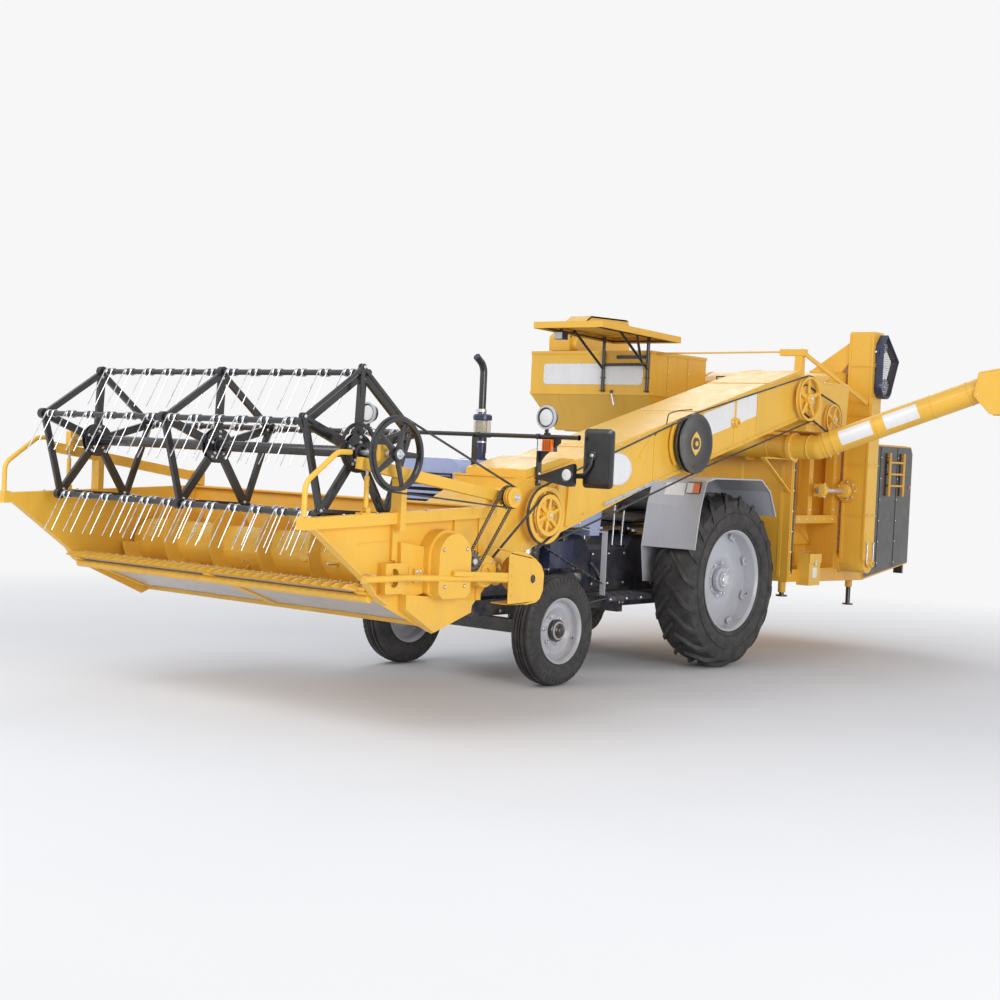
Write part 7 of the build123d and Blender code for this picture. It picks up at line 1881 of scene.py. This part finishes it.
class HARVESTER_OT_elevators(bpy.types.Operator):
    "Builds the elevators' seams and boot, and the chain guard's mesh and sprockets"
    bl_idname = "harvester.elevators"
    bl_label = "Elevators"

    def execute(self, context):
        form = Form()
        yellow, metal, navy, black = range(4)
        for x0, x1, y0, y1, top in ((-1660, -1500, 985, 1200, 2640), (-1310, -1150, -1275, -1060, 2419)):
            for x in (x0 - 4, x1 + 4):
                for y in (y0 + 9, y1 - 9):
                    form.box((x - 4, x + 4), (y - 9, y + 9), (800, top - 20), yellow)
            for z in (1150, 1560, 1960, 2360):
                form.box((x0 - 9, x1 + 9), (y0 - 9, y1 + 9) if y0 < 0 else (y0 + 2, y1 + 9), (z, z + 9),
                         yellow)
                for x in (x0 + 30, x1 - 30):
                    form.bolt((x, y1 + 5 if y0 > 0 else y0 - 9, z + 20), (0, 1 if y0 > 0 else -1, 0), 5, 4,
                              metal)
        face = 1200.0
        # boot of the left elevator: door, bearing and take-up screws
        c = (-1580, 770)
        flanged_bearing(form, c, face + 12.5, 1, 46, yellow, metal)
        form.box((-1646, -1514), (face + 0.5, face + 4), (860, 1010), yellow)
        for x in (-1634, -1526):
            form.rod((x, face + 16, 770), (x, face + 16, 930), 6, 12, metal)
            form.bolt((x, face + 16, 930), UP, 9, 8, metal)
        # far head: rounded drum cover with its navy band
        head = [(-1280, 2746), (-1250, 2749.6), (-726, 2737.6), (-616, 2667), (-434, 2538)]
        for y in (-1066, -1262):
            for a, b in zip(head, head[1:]):
                form.side_plate([(a[0], a[1] - 14), (b[0], b[1] - 14), b, a], y + 6, 12,
                                navy if y < -1200 else yellow)
        # chain guard: wire mesh on the open face, folded edge, stud, bracket and sprockets
        outline = [(GUARD[0] + 88, GUARD[1] - 20), (GUARD[0] + 86, GUARD[1] + 336),
                   (GUARD[0] + 18, GUARD[1] + 410), (GUARD[0] - 192, GUARD[1] + 218),
                   (GUARD[0] - 88, GUARD[1] - 25), (GUARD[0] - 60, GUARD[1] - 66), (GUARD[0], GUARD[1] - 88),
                   (GUARD[0] + 60, GUARD[1] - 66)]

        def span(z):
            "front and back x of the guard's outline at a height"
            hits = []
            for a, b in zip(outline, outline[1:] + outline[:1]):
                if (a[1] - z) * (b[1] - z) < 0:
                    hits.append(a[0] + (b[0] - a[0]) * (z - a[1]) / (b[1] - a[1]))
            return (min(hits), max(hits)) if len(hits) > 1 else None

        for k in range(27):
            z = GUARD[1] - 80 + 18 * k
            ends = span(z)
            if ends:
                form.rod((ends[0], 1263, z), (ends[1], 1263, z), 1.3, 6, black)
        for k in range(16):
            x = GUARD[0] - 180 + 18 * k
            rows = [GUARD[1] - 86 + 4 * j for j in range(126)]
            inside = [z for z in rows if span(z) and span(z)[0] < x < span(z)[1]]
            if len(inside) > 4:
                form.rod((x, 1265, inside[0]), (x, 1265, inside[-1]), 1.3, 6, black)
        form.tube([(x, 1266, z) for x, z in outline] + [(outline[0][0], 1266, outline[0][1])], 4, 8, navy)
        form.rod((GUARD[0] + 92, 1216, 2480), (GUARD[0] + 122, 1216, 2480), 9, 14, metal)
        form.box((GUARD[0] + 92, GUARD[0] + 97), (1202, 1232), (2440, 2510), navy)
        sprocket(form, GUARD, 1246, 15, 8, 24, metal)
        sprocket(form, (GUARD[0] + 30, GUARD[1] + 320), 1246, 9, 8, 18, metal)
        place_form("elevator_pieces", form, "yellow zinc navy black", "machine", 1.0)
        return {"FINISHED"}


class HARVESTER_OT_unloading(bpy.types.Operator):
    "Builds the rings, clamps, plates and mouth of the unloading tube and boom, and the upper belt pulleys"
    bl_idname = "harvester.unloading"
    bl_label = "Unloading boom and upper pulleys"

    def execute(self, context):
        x, z = SPOUT
        form = Form()
        yellow, white, metal = range(3)
        way, flat, across = boom_way()
        elbow = Vector((x, ELBOW_Y, z))
        for reach in (40, 470, 900, 1180):
            form.disc(elbow + way * reach, way, 94, 9, 90.4, 2, 48, yellow)
        form.disc((x, ELBOW_Y - 60, z), ACROSS, 95, 12, 90.4, 2, 48, yellow)
        bolt_ring(form, (x, 1029, z), ACROSS, 101, 10, 6, metal)
        for reach in (70, 128):
            c = elbow + way * reach
            form.disc(c, way, 97, 14, 90.4, 2, 48, yellow)
            top = c + across.cross(way).normalized() * -98
            form.rod(top - way * 6, top + way * 6, 8, 12, metal)
        # blank plates along the tube, curved with it
        up = way.cross(across).normalized()
        if up.z < 0:
            up = -up
        for start, end in ((190, 440), (540, 800)):
            sections = []
            for k in range(9):
                a = radians(74 * k / 8 - 34)
                out = -across * cos(a) + up * sin(a)
                if out.x < 0:
                    out = across * cos(a) + up * sin(a)
                near, far = elbow + way * start, elbow + way * end
                sections.append([near + out * 90.4, far + out * 90.4, far + out * 92.2, near + out * 92.2])
            form.loop(sections, mark=white)
        tip = elbow + way * BOOM_LENGTH
        lift = Vector(UP)
        for side in (-1, 1):
            face = across * side * 115.4
            for a, b in (((-30, 113), (188, 158)), ((188, 158), (263, 30)), ((263, 30), (228, -188)),
                         ((60, -188), (-58, -60)), ((-58, -60), (-30, 113))):
                form.tube([tip + face + flat * a[0] * 0.97 + lift * a[1] * 0.97,
                           tip + face + flat * b[0] * 0.97 + lift * b[1] * 0.97], 5, 8, yellow)
            for u, v in ((0, 80), (170, 130), (232, 20), (205, -150), (60, -150), (-35, -50)):
                form.bolt(tip + face + flat * u + lift * v, across * side, 5, 4, metal)
        plate = [tip + across * -115.8 + flat * u + lift * v
                 for u, v in ((30, -60), (170, -60), (170, 60), (30, 60))]
        form.prism(plate, across * -1.6, white)
        place_form("boom_pieces", form, "yellow white zinc", "boom", 1.0)

        fixed = Form()
        bolt_ring(fixed, (x, 995, z), (0, -1, 0), 101, 10, 6, 1, 0.5)
        for y in (820, 420, 0, -400):
            fixed.disc((x, y, z), ACROSS, 94, 9, 90.4, 2, 48, 0)
        fixed.disc((x, -762, z), ACROSS, 92, 5, 0, 2, 48, 0)
        fixed.rod((x, -800, z), (x, -760, z), 17, 20, 1)
        flanged_bearing(fixed, (x, z), -764.5, -1, 60, 0, 1)
        place_form("tube_pieces", fixed, "yellow zinc", "machine", 1.0)

        top = Form()
        pulley(top, TOP, 1238, 34, 166.6, 42, 5, 30, 1, 18, 16)
        tx, tz = TOP
        top.lathe([(40, -10), (96, -10), (98.4, -8), (92, -2), (92, 2), (98.4, 8), (96, 10), (40, 10)],
                  (tx, 1210, tz), ACROSS, 48, 0)
        key_hub(top, TOP, 1247, 1, 24, 1)
        place_form("top_wheel", top, "yellow zinc", "top_pulley", 0.8, 32, ["top_pulley"])

        second = Form()
        pulley(second, SECOND, 1205, 28, 118.4, 34, 4, 26, 1, 30, 14)
        key_hub(second, SECOND, 1213, 1, 20, 1)
        place_form("second_wheel", second, "yellow zinc", "second_pulley", 0.8, 32,
                   ["second_pulley"])
        return {"FINISHED"}


# Studio: the photograph's view, soft lights, a pale floor
VIEW_FROM = at(10462.25, 7150.22, 1526.03)
VIEW_YAW = 0.684458
VIEW_PITCH = -0.028626
VIEW_ROLL = 0.044793
VIEW_LENS = 58.154
SENSOR = 36.0
BACKDROP = (0.93, 0.93, 0.935, 1)
LAMP_SIZE = 6.0


def view_matrix():
    "stand and aim of the camera, from its yaw, pitch and roll"
    ahead = Vector((-cos(VIEW_YAW) * cos(VIEW_PITCH), -sin(VIEW_YAW) * cos(VIEW_PITCH), sin(VIEW_PITCH)))
    level_right = ahead.cross(Vector(UP)).normalized()
    level_up = level_right.cross(ahead)
    right = level_right * cos(VIEW_ROLL) + level_up * sin(VIEW_ROLL)
    up = level_up * cos(VIEW_ROLL) - level_right * sin(VIEW_ROLL)
    matrix = Matrix.Identity(4)
    for i in range(3):
        matrix[i][0], matrix[i][1], matrix[i][2], matrix[i][3] = right[i], up[i], -ahead[i], VIEW_FROM[i]
    return matrix


def soft_light(name, place, target, power):
    "large square lamp aimed at a place"
    lamp = bpy.data.lights.new(name, "AREA")
    lamp.size = LAMP_SIZE
    lamp.energy = power
    holder = bpy.data.objects.new(name, lamp)
    bpy.context.scene.collection.objects.link(holder)
    aim = (Vector(target) - Vector(place)).to_track_quat("-Z", "Y")
    holder.matrix_world = Matrix.Translation(place) @ aim.to_matrix().to_4x4()
    return holder


def pale_floor():
    "wide floor that keeps the machine's shadow and fades to the backdrop's shade far out"
    mesh = bpy.data.meshes.new("floor")
    mesh.from_pydata([(-60, -60, 0), (60, -60, 0), (60, 60, 0), (-60, 60, 0)], [], [(0, 1, 2, 3)])
    floor = bpy.data.objects.new("floor", mesh)
    bpy.context.scene.collection.objects.link(floor)
    f = Finish("pale_floor", (0.80, 0.80, 0.80), 0.85)
    f.tint((0.74, 0.74, 0.745), f.remap(f.noise(0.6, 3), 0.4, 0.7, 0.0, 0.4))
    material = f.done()
    far = f.node("ShaderNodeEmission")
    far.inputs["Color"].default_value = BACKDROP
    reach = f.node("ShaderNodeVectorMath", operation="LENGTH")
    f.link(f.coords, reach.inputs[0])
    mix = f.node("ShaderNodeMixShader")
    f.link(f.remap(reach.outputs["Value"], 3.2, 9.0), mix.inputs[0])
    f.link(f.shader.outputs[0], mix.inputs[1])
    f.link(far.outputs[0], mix.inputs[2])
    f.link(mix.outputs[0], f.tree.nodes["Material Output"].inputs["Surface"])
    mesh.materials.append(material)


def pale_world():
    "even soft light all round, white where the camera, gloss or glass sees it"
    world = bpy.data.worlds.new("studio")
    world.use_nodes = True
    tree = world.node_tree
    light = tree.nodes["Background"]
    light.inputs["Color"].default_value = (0.86, 0.90, 1.0, 1)
    light.inputs["Strength"].default_value = 0.62
    seen = tree.nodes.new("ShaderNodeBackground")
    seen.inputs["Color"].default_value = BACKDROP
    seen.inputs["Strength"].default_value = 1.0
    path = tree.nodes.new("ShaderNodeLightPath")
    gloss = tree.nodes.new("ShaderNodeMath")
    glass = tree.nodes.new("ShaderNodeMath")
    gloss.operation = glass.operation = "MAXIMUM"
    mix = tree.nodes.new("ShaderNodeMixShader")
    for source, socket in (
            (path.outputs["Is Camera Ray"], gloss.inputs[0]),
            (path.outputs["Is Glossy Ray"], gloss.inputs[1]),
            (gloss.outputs[0], glass.inputs[0]),
            (path.outputs["Is Transmission Ray"], glass.inputs[1]),
            (glass.outputs[0], mix.inputs[0]),
            (light.outputs[0], mix.inputs[1]),
            (seen.outputs[0], mix.inputs[2]),
            (mix.outputs[0], tree.nodes["World Output"].inputs["Surface"]),
    ):
        tree.links.new(source, socket)
    bpy.context.scene.world = world


class HARVESTER_OT_stage(bpy.types.Operator):
    "Sets the camera, the lights, the world and the floor"
    bl_idname = "harvester.stage"
    bl_label = "Stage"

    def execute(self, context):
        lens = bpy.data.cameras.new("view")
        lens.sensor_width = SENSOR
        lens.sensor_fit = "HORIZONTAL"
        lens.lens = VIEW_LENS
        lens.clip_end = 200
        camera = bpy.data.objects.new("view", lens)
        context.scene.collection.objects.link(camera)
        camera.matrix_world = view_matrix()
        context.scene.camera = camera
        context.scene.view_settings.view_transform = "Standard"
        pale_world()
        pale_floor()
        soft_light("key", (9.0, -1.0, 7.0), (0.5, 0, 1.0), 400)
        soft_light("fill", (5.5, 11.0, 3.2), (0, 0, 1.0), 620)
        soft_light("back", (-8.0, -6.0, 7.0), (0, 0, 1.2), 220)
        return {"FINISHED"}


STEPS = (HARVESTER_OT_finishes, HARVESTER_OT_wheels, HARVESTER_OT_reel, HARVESTER_OT_header,
         HARVESTER_OT_side_drives, HARVESTER_OT_lamp_bar, HARVESTER_OT_feeder, HARVESTER_OT_bonnet,
         HARVESTER_OT_station, HARVESTER_OT_chassis, HARVESTER_OT_tank, HARVESTER_OT_rear,
         HARVESTER_OT_elevators, HARVESTER_OT_unloading, HARVESTER_OT_stage)


class HARVESTER_PT_pieces(bpy.types.Panel):
    "Lists the pieces and their sizes and colours"
    bl_idname = "HARVESTER_PT_pieces"
    bl_label = "Combine harvester"
    bl_space_type = "VIEW_3D"
    bl_region_type = "UI"
    bl_category = "Harvester"

    def draw(self, context):
        for group in (context.scene.harvester_colours, context.scene.harvester_sizes):
            box = self.layout.box()
            for key in group.bl_rna.properties.keys():
                if key not in ("rna_type", "name"):
                    box.prop(group, key)
        for operator in STEPS:
            self.layout.operator(operator.bl_idname)


CLASSES = (HarvesterColours, HarvesterSizes, *STEPS, HARVESTER_PT_pieces)


def register():
    for cls in CLASSES:
        bpy.utils.register_class(cls)
    bpy.types.Scene.harvester_colours = PointerProperty(type=HarvesterColours)
    bpy.types.Scene.harvester_sizes = PointerProperty(type=HarvesterSizes)


def unregister():
    del bpy.types.Scene.harvester_colours
    del bpy.types.Scene.harvester_sizes
    for cls in reversed(CLASSES):
        bpy.utils.unregister_class(cls)


def main():
    register()
    for operator in STEPS:
        group, name = operator.bl_idname.split(".")
        getattr(getattr(bpy.ops, group), name)()


if __name__ == "__main__":
    main()
